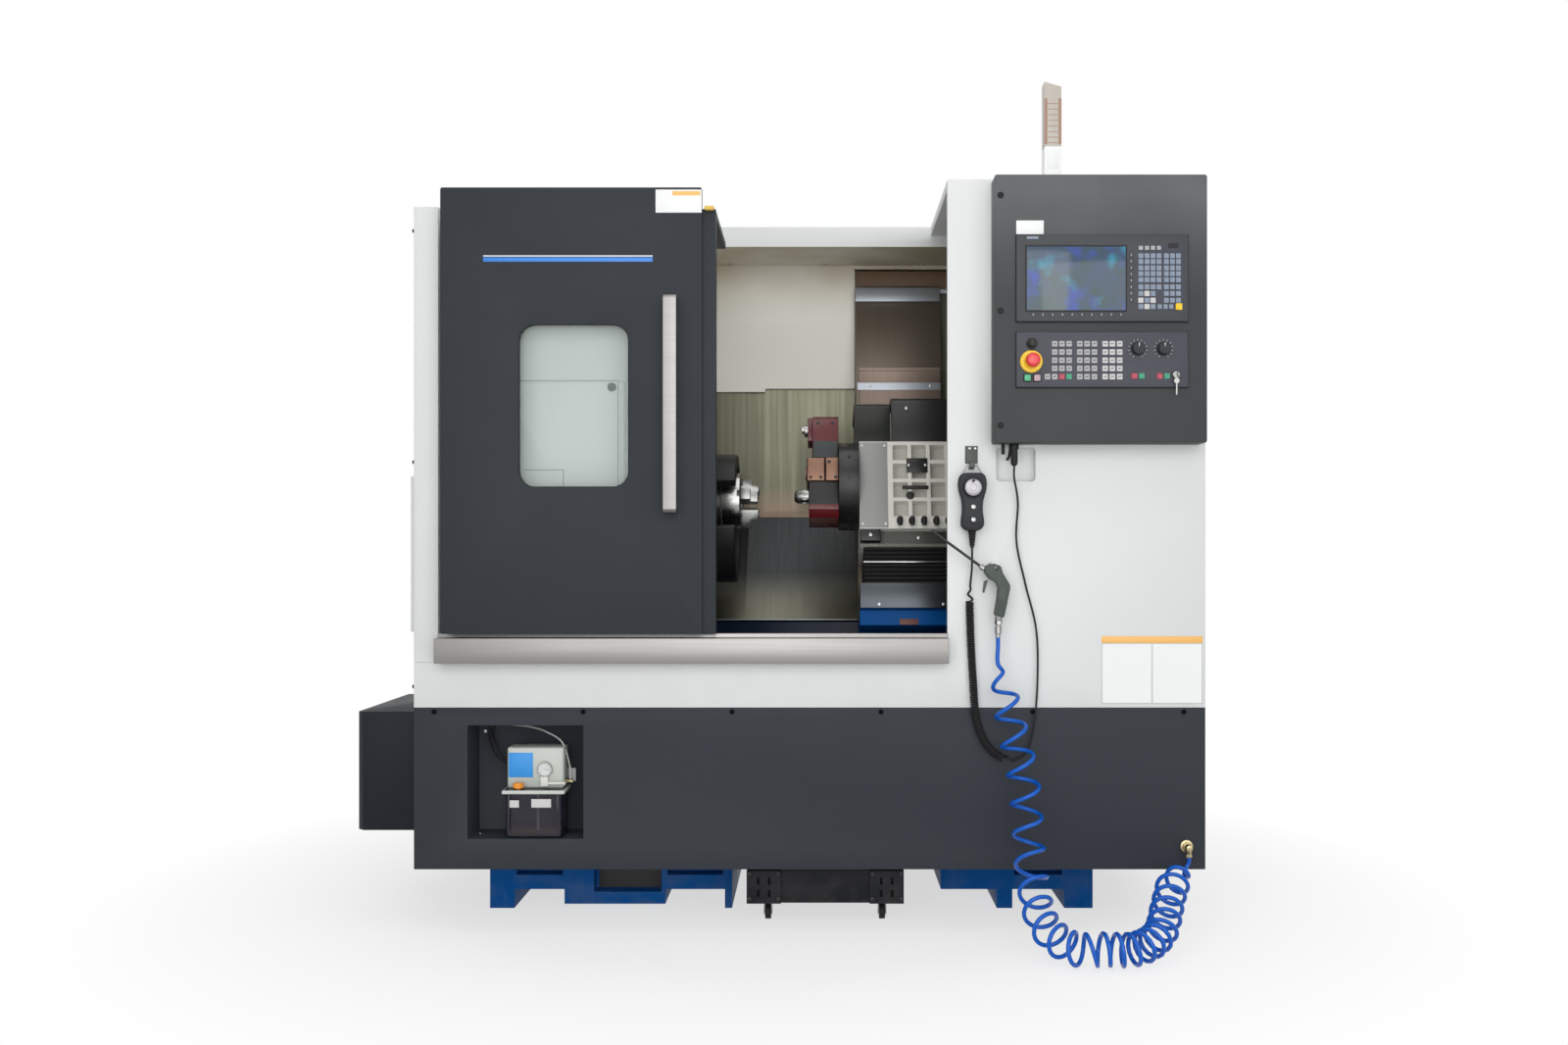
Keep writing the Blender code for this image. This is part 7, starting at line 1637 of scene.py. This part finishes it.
class LATHE_OT_dress_turret(bpy.types.Operator):
    """Dress the turret disc with its tool blocks, the copper holder and their bolts"""

    bl_idname = "lathe.dress_turret"
    bl_label = "Turret"

    def execute(self, context):
        disc = softened("turret_disc", "Blackened steel", 0.0015)
        repaint(disc, "Ground steel", lambda f: f.center.x < 0.19 and on_slope(f.center).yz.length < 0.045)
        rim = []
        for number in range(12):
            turn = radians(7.5 + 30 * number)
            out = Vector((0, cos(turn), sin(turn)))
            facing = LEAN.to_3x3() @ out
            place = LEAN @ (Vector((0.2225, 0, 0)) + out * 0.1385)
            rim.append(Matrix.Translation(place) @ facing.to_track_quat("Z", "Y").to_matrix().to_4x4())
        fitted(copies("disc_rim_screws", screw_model(), rim), "Dark screw", "turret")
        hub = [LEAN @ Vector((0.1785, 0.026 * cos(pi / 3 * n), 0.026 * sin(pi / 3 * n))) for n in range(6)]
        screws("hub_screws", hub, LEFT, "Dark screw", "turret")
        near = lean(block("holder_near", (0.149, -0.108, -0.019), (0.1902, -0.015, 0.059), 0.003, 3))
        far = lean(block("holder_far", (0.09, -0.106, -0.019), (0.147, -0.022, 0.059), 0.004, 3))
        ring = lean(drum("holder_ring", (0.086, -0.06, 0.02), RIGHT, 0.021, 0.006, 32, 0.001))
        fitted(joined("copper_holder", [near, far, ring]), "Copper", "turret")
        spots = ((0.102, -0.106, -0.008), (0.134, -0.106, -0.008), (0.16, -0.108, 0.044),
            (0.18, -0.108, -0.008))
        slope_screws("holder_screws", spots, "turret", 0.9, "Dark screw")
        block_red = softened("tool_block", "Wine enamel", 0.002, 3)
        repaint(block_red, "Bright steel", lambda f: f.center.x < 0.1065)
        slope_screws("red_block_screws", [(x, -0.042, up) for x in (0.125, 0.172) for up in (0.108, 0.203)],
            "turret", 0.9, "Dark screw")
        trim("clamp_block", (0.109, -0.06, 0.06), (0.189, -0.04, 0.1335), "Slate block", 0.002, 3,
            body="turret", leaning=True)
        trim("red_flange", (0.0925, -0.033, 0.145), (0.108, 0.033, 0.225), "Wine enamel", 0.002, 3,
            body="turret", leaning=True)
        fitted(lean(drum("red_block_nozzle", (0.074, 0.0, 0.195), RIGHT, 0.013, 0.02, 24, 0.001)),
            "Bright steel", "turret")
        live = softened("live_tool_block", "Blackened steel", 0.002, 3)
        parted(live, (LEAN @ Vector((0, 0, -0.095)), UP_SLOPE))
        repaint(live, "Wine enamel", lambda f: f.center.x > 0.0975 and on_slope(f.center).z < -0.095)
        repaint(live, "Bright steel", lambda f: f.center.x < 0.0965)
        slope_screws("live_block_screws", [(x, -0.1, up) for x in (0.115, 0.173) for up in (-0.008, -0.08)],
            "turret", 0.9, "Dark screw")
        nut = []
        for number in range(8):
            turn = pi / 4 * number
            place = (0.077, -0.064 + 0.0205 * cos(turn), -0.057 + 0.0205 * sin(turn))
            nut.append(lean(drum(f"nut_flat_{number}", place, RIGHT, 0.004, 0.014, 10, 0.0008)))
        fitted(joined("collet_nut", nut), "Ground steel", "turret")
        return {"FINISHED"}


class LATHE_OT_dress_chuck(bpy.types.Operator):
    """Dress the chuck, its jaws with their bolts, and the black guard round it"""

    bl_idname = "lathe.dress_chuck"
    bl_label = "Chuck"

    def execute(self, context):
        softened("headstock", "Casting paint", 0.003)
        softened("chuck_guard", "Black plastic", 0.005, 4)
        chuck = softened("chuck", "Bright steel", 0.0012)
        repaint(chuck, "Pale steel", lambda f: f.center.x < -0.179)
        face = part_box("chuck")[1].x
        fitted(pipe("chuck_groove", [(face + 0.0001, SPINDLE_Y + 0.07 * cos(pi * n / 32),
            SPINDLE_Z + 0.07 * sin(pi * n / 32)) for n in range(64)], 0.0006, 2, True), "Dark screw",
            "spindle")
        middle = Vector((face, SPINDLE_Y, SPINDLE_Z))
        spots = []
        for number in range(3):
            for side in (-0.42, 0.42):
                turn = radians(15.0 + 120 * number) + side
                spots.append(middle + Vector((0, cos(turn), sin(turn))) * 0.058)
        screws("chuck_screws", spots, RIGHT, "Dark screw", "spindle", 1.1)
        names = ("jaw_front", "jaw_low", "jaw_rear")
        for number, name in enumerate(names):
            softened(name, "Ground steel", 0.001)
            turn = radians(75.0 + 120 * number)
            out = Vector((0, -sin(turn), cos(turn)))
            heads = [middle + out * 0.0335 + Vector((0.052, 0, 0)),
                middle + out * 0.047 + Vector((0.052, 0, 0))]
            screws(name + "_bolts", heads, RIGHT, "Dark screw", body_of(name), 0.9)
        return {"FINISHED"}


class LATHE_OT_dress_base(bpy.types.Operator):
    """Dress the cast base, the tank with its brackets, and the casters"""

    bl_idname = "lathe.dress_base"
    bl_label = "Base and tank"

    def execute(self, context):
        softened("base_casting", "Base enamel", 0.0025)
        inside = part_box("base_casting")[0].y + 0.0586
        # A dark plate painted as the shade in the base's pocket.
        trim("pocket_shade", (-0.553, inside, 0.051), (-0.352, inside + 0.0012, 0.118), "Dark recess",
            0.0003, smooth=0)
        softened("chip_tank", "Tank paint", 0.0012)
        low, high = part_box("chip_tank")
        front = low.y
        for side, left in (("left", low.x), ("right", high.x - 0.1)):
            # Black plates painted as the shade inside the brackets' slots.
            plates = [block("bracket_slot", (left + x, front - 0.0012, z),
                (left + x + 0.008, front + 0.0004, z + 0.021), 0.0005) for x in (0.03,
                0.062) for z in (0.086, 0.122)]
            fitted(joined(f"bracket_slots_{side}", plates), "Deep black", "chip_tank")
            places = [(left + x, front, z) for x in (0.008, 0.092) for z in (0.08, 0.153)]
            screws(f"bracket_bolts_{side}", places, FRONT, "Dark screw", "chip_tank", 1.1)
        trim("tank_rim", (low.x + 0.104, front + 0.0075, 0.16), (high.x - 0.104, front + 0.0125, 0.168),
            "Tank paint", 0.001, body="chip_tank")
        for side in ("left", "right"):
            softened(f"caster_fork_{side}", "Screw steel", 0.0006)
            for row in ("front", "rear"):
                self.wheel(f"{row}_wheel_{side}")
        return {"FINISHED"}

    def wheel(self, node):
        """A caster wheel: tyre from the part's own shape, with paler hub faces."""
        tyre = softened(node, "Black rubber", 0.001)
        low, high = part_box(node)
        middle = (low + high) / 2
        repaint(tyre, "Pale plastic", lambda f: (f.center - middle).yz.length < 0.0195)


class LATHE_OT_dress_pump(bpy.types.Operator):
    """Dress the lubrication pump: label, gauge, reservoir with its oil, cap, tube and cable"""

    bl_idname = "lathe.dress_pump"
    bl_label = "Lubrication pump"

    def execute(self, context):
        softened("lubrication_pump", "Pump paint", 0.0008)
        front = -0.7
        trim("pump_label", (-0.767, front - 0.0008, 0.44), (-0.697, front + 0.0003, 0.511), "Label blue",
            0.0003)
        manifold = block("pump_manifold", (-0.674, front - 0.011, 0.415), (-0.652, front + 0.0004, 0.444),
            0.0015, 3)
        arm = drum("manifold_arm", (-0.654, front - 0.0055, 0.4235), RIGHT, 0.0046, 0.052, 20, 0.001)
        fitted(joined("pump_manifold_set", [manifold, arm]), "Pale plastic")
        self.gauge()
        softened("oil_reservoir", "Smoky plastic", 0.0015)
        low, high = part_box("oil_reservoir")
        trim("reservoir_oil", (low.x + 0.008, low.y + 0.008, low.z + 0.004),
            (high.x - 0.008, high.y - 0.008, 0.3), "Oil", 0.006, 3)
        trim("reservoir_lid", (low.x - 0.004, low.y - 0.004, high.z - 0.011),
            (high.x + 0.004, high.y, high.z - 0.0004), "Pump paint", 0.002, 3)
        ribs = []
        for x in (low.x + 0.014, high.x - 0.0185):
            ribs.append(block("tank_rib", (x, low.y - 0.0012, low.z + 0.012),
                (x + 0.0045, low.y + 0.001, high.z - 0.014), 0.0008))
        fitted(joined("reservoir_ribs", ribs), "Smoky plastic")
        skin = low.y - 0.001
        plates = [block("reservoir_plate", (-0.6948, skin, 0.359), (-0.6385, skin + 0.0014, 0.3836),
            0.0004), block("reservoir_mark", (-0.757, skin, 0.359), (-0.73, skin + 0.0014, 0.38), 0.0004)]
        fitted(joined("reservoir_plates", plates), "Pale key caps", smooth=0)
        fitted(drum("suction_tube", ((low.x + high.x) / 2 + 0.012, low.y + 0.012, low.z + 0.02), UP, 0.005,
            high.z - low.z - 0.03, 16), "Pale plastic")
        self.cap()
        fitted(turned("pump_outlet", (-0.6082, -0.672, 0.426), RIGHT,
            ((0, 0.009), (0.007, 0.009), (0.007, 0.0055), (0.016, 0.0055), (0.016, 0.007), (0.022, 0.007),
            (0.022, 0.001)), 6), "Brass", smooth=20)
        route = ((-0.5935, -0.672, 0.431), (-0.596, -0.672, 0.47), (-0.618, -0.668, 0.536),
            (-0.667, -0.655, 0.566), (-0.713, -0.64, 0.578), (-0.77, -0.615, 0.581), (-0.813, -0.592, 0.58))
        fitted(pipe("oil_tube", flowing(route, 60), 0.0026, 4), "Clear tube")
        leads = []
        for number, off in enumerate((0.0, 0.01)):
            lead = ((-0.837, -0.605, 0.574), (-0.83 - off, -0.615, 0.55 - off),
                (-0.808 - off, -0.64, 0.51 - off), (-0.788, -0.655, 0.488 - off),
                (-0.768, -0.66, 0.486 - off))
            leads.append(pipe(f"pump_lead_{number}", flowing(lead, 40), 0.0034, 4))
        gland = drum("pump_lead_gland", (-0.837, -0.5915, 0.576), FRONT, 0.0105, 0.018, 6, 0.001)
        fitted(joined("pump_leads", [*leads, gland]), "Black rubber")
        trim("recess_plate", (-0.615, -0.5915, 0.413), (-0.5915, -0.5898, 0.451), "Label white", 0.0004)
        screws("recess_low_screw", [(-0.858, -0.66, 0.2698)], UP, scale=0.8)
        return {"FINISHED"}

    def gauge(self):
        x, z, rim = -0.661, 0.465, -0.714
        ring = turned("gauge_ring", (x, rim + 0.003, z), FRONT, ((0, 0.0214), (0.0022, 0.0214),
            (0.0034, 0.0204), (0.0034, 0.0188), (0.0006, 0.0182), (0.0006, 0.001)), 36)
        fitted(ring, "Bright steel")
        repaint(ring, "Label white", lambda f: f.normal.y < -0.9 and f.center.y > rim + 0.002)
        dial = (x, rim + 0.002, z)
        marks = marks_round("gauge_mark", (-0.0004, -0.0003, 0.0125), (0.0004, 0.0003, 0.0165), dial,
            range(-120, 121, 30))
        marks += marks_round("gauge_needle", (-0.0005, -0.0008, -0.003), (0.0005, -0.0003, 0.0135), dial,
            (-100,))
        fitted(joined("gauge_marks", marks), "Dark screw", smooth=0)
        fitted(drum("gauge_pane", (x, rim + 0.0012, z), FRONT, 0.0188, 0.001, 36), "Gauge glass")

    def cap(self):
        """The fluted filler cap."""
        low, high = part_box("filler_cap")
        middle = (low + high) / 2
        cap = turned("filler_cap_turned", (middle.x, middle.y, low.z), UP,
            ((0, 0.008), (0.004, 0.008), (0.004, 0.0152), (0.016, 0.0152), (0.018, 0.0134), (0.018, 0.001)),
            36)
        flutes = []
        for number in range(12):
            turn = number * pi / 6
            place = (middle.x + 0.0164 * cos(turn), middle.y + 0.0164 * sin(turn), low.z - 0.01)
            flutes.append(drum(f"cap_flute_{number}", place, UP, 0.002, 0.05, 10))
        pierced(cap, joined("cap_flutes", flutes))
        stand_in(cap, "Cap orange", "filler_cap")


class LATHE_OT_dress_pendant(bpy.types.Operator):
    """Dress the hand pendant: dial with its scale, selectors, ribbed strain relief, bracket"""

    bl_idname = "lathe.dress_pendant"
    bl_label = "Pendant"

    def execute(self, context):
        low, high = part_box("pendant_body")
        face = low.y
        middle = (low.x + high.x) / 2
        half = ((0.025, 1.314), (0.0345, 1.308), (0.0385, 1.296), (0.04, 1.281), (0.038, 1.264),
            (0.03, 1.236), (0.0285, 1.22), (0.0285, 1.204), (0.032, 1.18), (0.0322, 1.164), (0.022, 1.1525),
            (0.011, 1.15))
        outline = [(middle + x, z) for x, z in half] + [(middle - x, z) for x, z in reversed(half)]
        body = faced("pendant_case", outline, face, high.y, 0.005, 3)
        pierced(body, drum("dial_hole", (middle, face - 0.02, DIAL_Z), BACK, 0.0335, 0.0215, 40))
        stand_in(body, "Pendant plastic", "pendant_body")
        inner = [(middle + x * 0.74, 1.232 + (z - 1.232) * 0.9) for x, z in half[4:10]]
        inner += [(middle - x * 0.74, 1.232 + (z - 1.232) * 0.9) for x, z in reversed(half[4:10])]
        plate = faced("pendant_plate", inner, face - 0.0008, face + 0.001, 0.0004)
        pierced(plate, drum("plate_hole", (middle, face - 0.02, DIAL_Z), BACK, 0.0345, 0.05, 40))
        fitted(plate, "Pendant film")
        softened("pendant_bracket", "Bracket green", 0.0006)
        low_b, high_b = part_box("pendant_bracket")
        heads = [(middle + x, low_b.y, high_b.z - 0.009) for x in (-0.008, 0.008)]
        screws("bracket_screws", heads, FRONT, "Bright steel", scale=0.6)
        softened("cable_gland", "Black plastic", 0.0006)
        depth = (face + high.y) / 2
        core = turned("relief_core", (middle, depth, 1.1012), UP, ((0, 0.0046), (0.001, 0.0052),
            (0.048, 0.0105), (0.053, 0.0105)), 24)
        wire = [(middle + x, depth, z) for x, z in ((-0.03, 1.306), (-0.015, 1.335), (0.015, 1.335),
            (0.03, 1.306))]
        fitted(pipe("pendant_hanger", wire, 0.0022, 3), "Pale steel", smooth=60)
        rings = [core]
        for number in range(6):
            z = 1.148 - number * 0.0075
            radius = 0.011 - number * 0.0008
            rings.append(turned(f"relief_ring_{number}", (middle, (face + high.y) / 2, z - 0.002), UP,
                ((0, radius), (0.001, radius + 0.0012), (0.003, radius + 0.0012), (0.004, radius)), 20))
        fitted(joined("relief_rings", rings), "Black rubber")
        softened("pendant_dial", "Black plastic", 0.0006)
        top = face - 0.012
        fitted(turned("dial_face", (middle, top + 0.0002, DIAL_Z), FRONT,
            ((0, 0.0235), (0.001, 0.0235), (0.0016, 0.0225), (0.0016, 0.0105), (0.0006, 0.0095),
            (0.0006, 0.001)), 40), "Pale steel", "pendant_dial")
        centre = (middle, top - 0.0015, DIAL_Z)
        ticks = marks_round("dial_tick", (-0.0003, -0.0003, 0.018), (0.0003, 0.0003, 0.0215), centre,
            range(0, 360, 18))
        fitted(joined("dial_ticks", ticks), "Dark screw", "pendant_dial", smooth=0)
        for name in ("pendant_axis_selector", "pendant_rate_selector"):
            softened(name, "Bright steel", 0.001)
            z = (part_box(name)[0].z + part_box(name)[1].z) / 2
            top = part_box(name)[0].y
            trim(name + "_line", (middle - 0.0006, top - 0.0004, z),
                (middle + 0.0006, top + 0.0003, z + 0.007), "Dark screw", 0.0002, body=name)
        return {"FINISHED"}


class LATHE_OT_dress_gun(bpy.types.Operator):
    """Dress the air gun: rounded grip, steel nozzle, trigger, hose connector, hook and fitting"""

    bl_idname = "lathe.dress_gun"
    bl_label = "Air gun"

    def execute(self, context):
        middle = GUN_Y
        grip = ((0.5935, 1.047), (0.608, 1.0555), (0.624, 1.057), (0.642, 1.049), (0.647, 1.03),
            (0.668, 0.9955), (0.6675, 0.986), (0.6505, 0.904), (0.6215, 0.9105), (0.629, 0.956),
            (0.6325, 0.988), (0.625, 1.006), (0.606, 1.014), (0.5945, 1.032))
        made = faced("gun_body", grip, middle - 0.013, middle + 0.013, 0.005, 3)
        pierced(made, drum("hang_hole", (0.628, middle - 0.03, 1.044), BACK, 0.0065, 0.06, 24))
        panel = ((0.6385, 0.996), (0.66, 0.984), (0.647, 0.916), (0.629, 0.918), (0.637, 0.956))
        cheek = faced("gun_cheek", panel, middle - 0.0142, middle + 0.0142, 0.001, 2)
        ribs = [block(f"gun_rib_{n}", (0.632 + n * 0.003, middle - 0.015, 0.926),
            (0.6332 + n * 0.003, middle + 0.015, 0.958)) for n in range(5)]
        pivot = drum("gun_pivot", (0.612, middle - 0.0142, 1.029), BACK, 0.0055, 0.0284, 20, 0.0008)
        start, end = Vector((0.6, middle, 1.038)), Vector((0.445, middle - 0.02, 1.15))
        nozzle = drum("gun_nozzle", start, end - start, 0.004, (end - start).length, 16, 0.0008)
        stud = drum("hang_stud", (0.628, middle + 0.0125, 1.038), BACK, 0.004, 0.0045, 12)
        made = joined("gun", [made, cheek, *ribs, pivot, nozzle, stud])
        stand_in(made, "Gun plastic", "air_gun")
        repaint(made, "Blackened steel", lambda f: f.center.x < 0.592)
        softened("gun_trigger", "Gun plastic", 0.001)
        softened("air_gun_hook", "Tower plastic", 0.0015)
        neck = ((0, 0.0066), (0.01, 0.0066), (0.012, 0.0095), (0.03, 0.0095), (0.032, 0.0078),
            (0.046, 0.0078), (0.05, 0.0105), (0.058, 0.0105))
        collars = [turned("connector_neck", (0.634, middle, 0.848), (0.03, 0, 1), neck, 24),
            drum("connector_nut", (0.635, middle, 0.886), (0.03, 0, 1), 0.0105, 0.009, 6, 0.0008),
            turned("nozzle_collar", (0.5945, middle - 0.0007, 1.042), (-0.81, 0, 0.586),
            ((0, 0.0075), (0.001, 0.0085), (0.012, 0.0075), (0.016, 0.005)), 24)]
        fitted(joined("gun_collars", collars), "Ground steel", body_of("air_gun"))
        softened("hose_fitting", "Brass", 0.0006)
        nut = drum("fitting_nut", (FITTING_X, -0.7465, 0.25), FRONT, 0.0135, 0.011, 6, 0.001)
        ferrule = drum("fitting_ferrule", (FITTING_X, -0.771, 0.2245), UP, 0.009, 0.008, 6, 0.0008)
        fitted(joined("fitting_nuts", [nut, ferrule]), "Brass", smooth=20)
        return {"FINISHED"}


class LATHE_OT_dress_outside(bpy.types.Operator):
    """Screws and lifting eyes on the sides, the back and the roof"""

    bl_idname = "lathe.dress_outside"
    bl_label = "Sides, back and roof"

    def execute(self, context):
        seat = 0.0031
        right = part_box("right_side_cover")[1].x - seat
        places = [(right, y, z) for y in (-0.66, -0.16, 0.34, 0.81) for z in (0.24, 1.17, 2.1)]
        screws("right_cover_screws", places, RIGHT, "Dark screw")
        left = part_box("left_side_cover")[0].x
        places = [(left, y, z) for y in (-0.18, 0.34, 0.81) for z in (0.68, 1.35, 2.02)]
        places += [(left, -0.68, z) for z in (0.7, 1.35, 2.02)]
        screws("left_cover_screws", places, LEFT, "Dark screw")
        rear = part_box("rear_cover")[1].y - seat
        places = [(x, rear, z) for x in (-0.98, -0.49, 0.1, 0.66, 1.18) for z in (0.24, 2.1)]
        places += [(x, rear, z) for x in (-0.98, 1.18) for z in (0.86, 1.48)]
        screws("rear_cover_screws", places, BACK, "Dark screw")
        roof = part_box("roof")[1].z
        eyes = []
        for x in (0.62, 1.1):
            for y in (-0.3, 0.62):
                eyes.append(self.eye(x, y, roof))
        fitted(joined("lifting_eyes", eyes), "Screw steel")
        return {"FINISHED"}

    def eye(self, x, y, z):
        """A lifting eye bolt: collar and ring."""
        collar = turned("eye_collar", (x, y, z), UP, ((0, 0.02), (0.008, 0.02), (0.012, 0.012),
            (0.016, 0.01)), 24)
        ring = [(x + 0.018 * cos(pi * n / 12), y, z + 0.032 + 0.018 * sin(pi * n / 12)) for n in range(24)]
        return joined("eye", [collar, pipe("eye_ring", ring, 0.0055, 4, True)])


class LATHE_PT_sidebar(bpy.types.Panel):
    """Lists the steps that dress the lathe"""

    bl_label = "Turning lathe"
    bl_idname = "LATHE_PT_sidebar"
    bl_space_type = "VIEW_3D"
    bl_region_type = "UI"
    bl_category = "Lathe"

    def draw(self, context):
        for step in STEPS:
            self.layout.operator(step.bl_idname)


GROUPS = (LatheColours, LatheSizes, LatheStage)
STEPS = (
    LATHE_OT_mix_finishes,
    LATHE_OT_set_camera,
    LATHE_OT_build_studio,
    LATHE_OT_wind_hose,
    LATHE_OT_curl_cord,
    LATHE_OT_fold_enclosure,
    LATHE_OT_fit_panel_screws,
    LATHE_OT_dress_door,
    LATHE_OT_dress_control_box,
    LATHE_OT_build_display,
    LATHE_OT_build_operator_panel,
    LATHE_OT_build_knobs,
    LATHE_OT_build_tower,
    LATHE_OT_dress_chamber,
    LATHE_OT_dress_carriage,
    LATHE_OT_fold_bellows,
    LATHE_OT_dress_turret,
    LATHE_OT_dress_chuck,
    LATHE_OT_dress_base,
    LATHE_OT_dress_pump,
    LATHE_OT_dress_pendant,
    LATHE_OT_dress_gun,
    LATHE_OT_dress_outside,
)


def register():
    for kind in (*GROUPS, *STEPS, LATHE_PT_sidebar):
        bpy.utils.register_class(kind)
    bpy.types.Scene.lathe_colours = bpy.props.PointerProperty(type=LatheColours)
    bpy.types.Scene.lathe_sizes = bpy.props.PointerProperty(type=LatheSizes)
    bpy.types.Scene.lathe_stage = bpy.props.PointerProperty(type=LatheStage)


def unregister():
    del bpy.types.Scene.lathe_stage
    del bpy.types.Scene.lathe_sizes
    del bpy.types.Scene.lathe_colours
    for kind in reversed((*GROUPS, *STEPS, LATHE_PT_sidebar)):
        bpy.utils.unregister_class(kind)


def main():
    """Dresses the lathe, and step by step."""
    register()
    for step in STEPS:
        group, name = step.bl_idname.split(".")
        getattr(getattr(bpy.ops, group), name)()


if __name__ == "__main__":
    main()
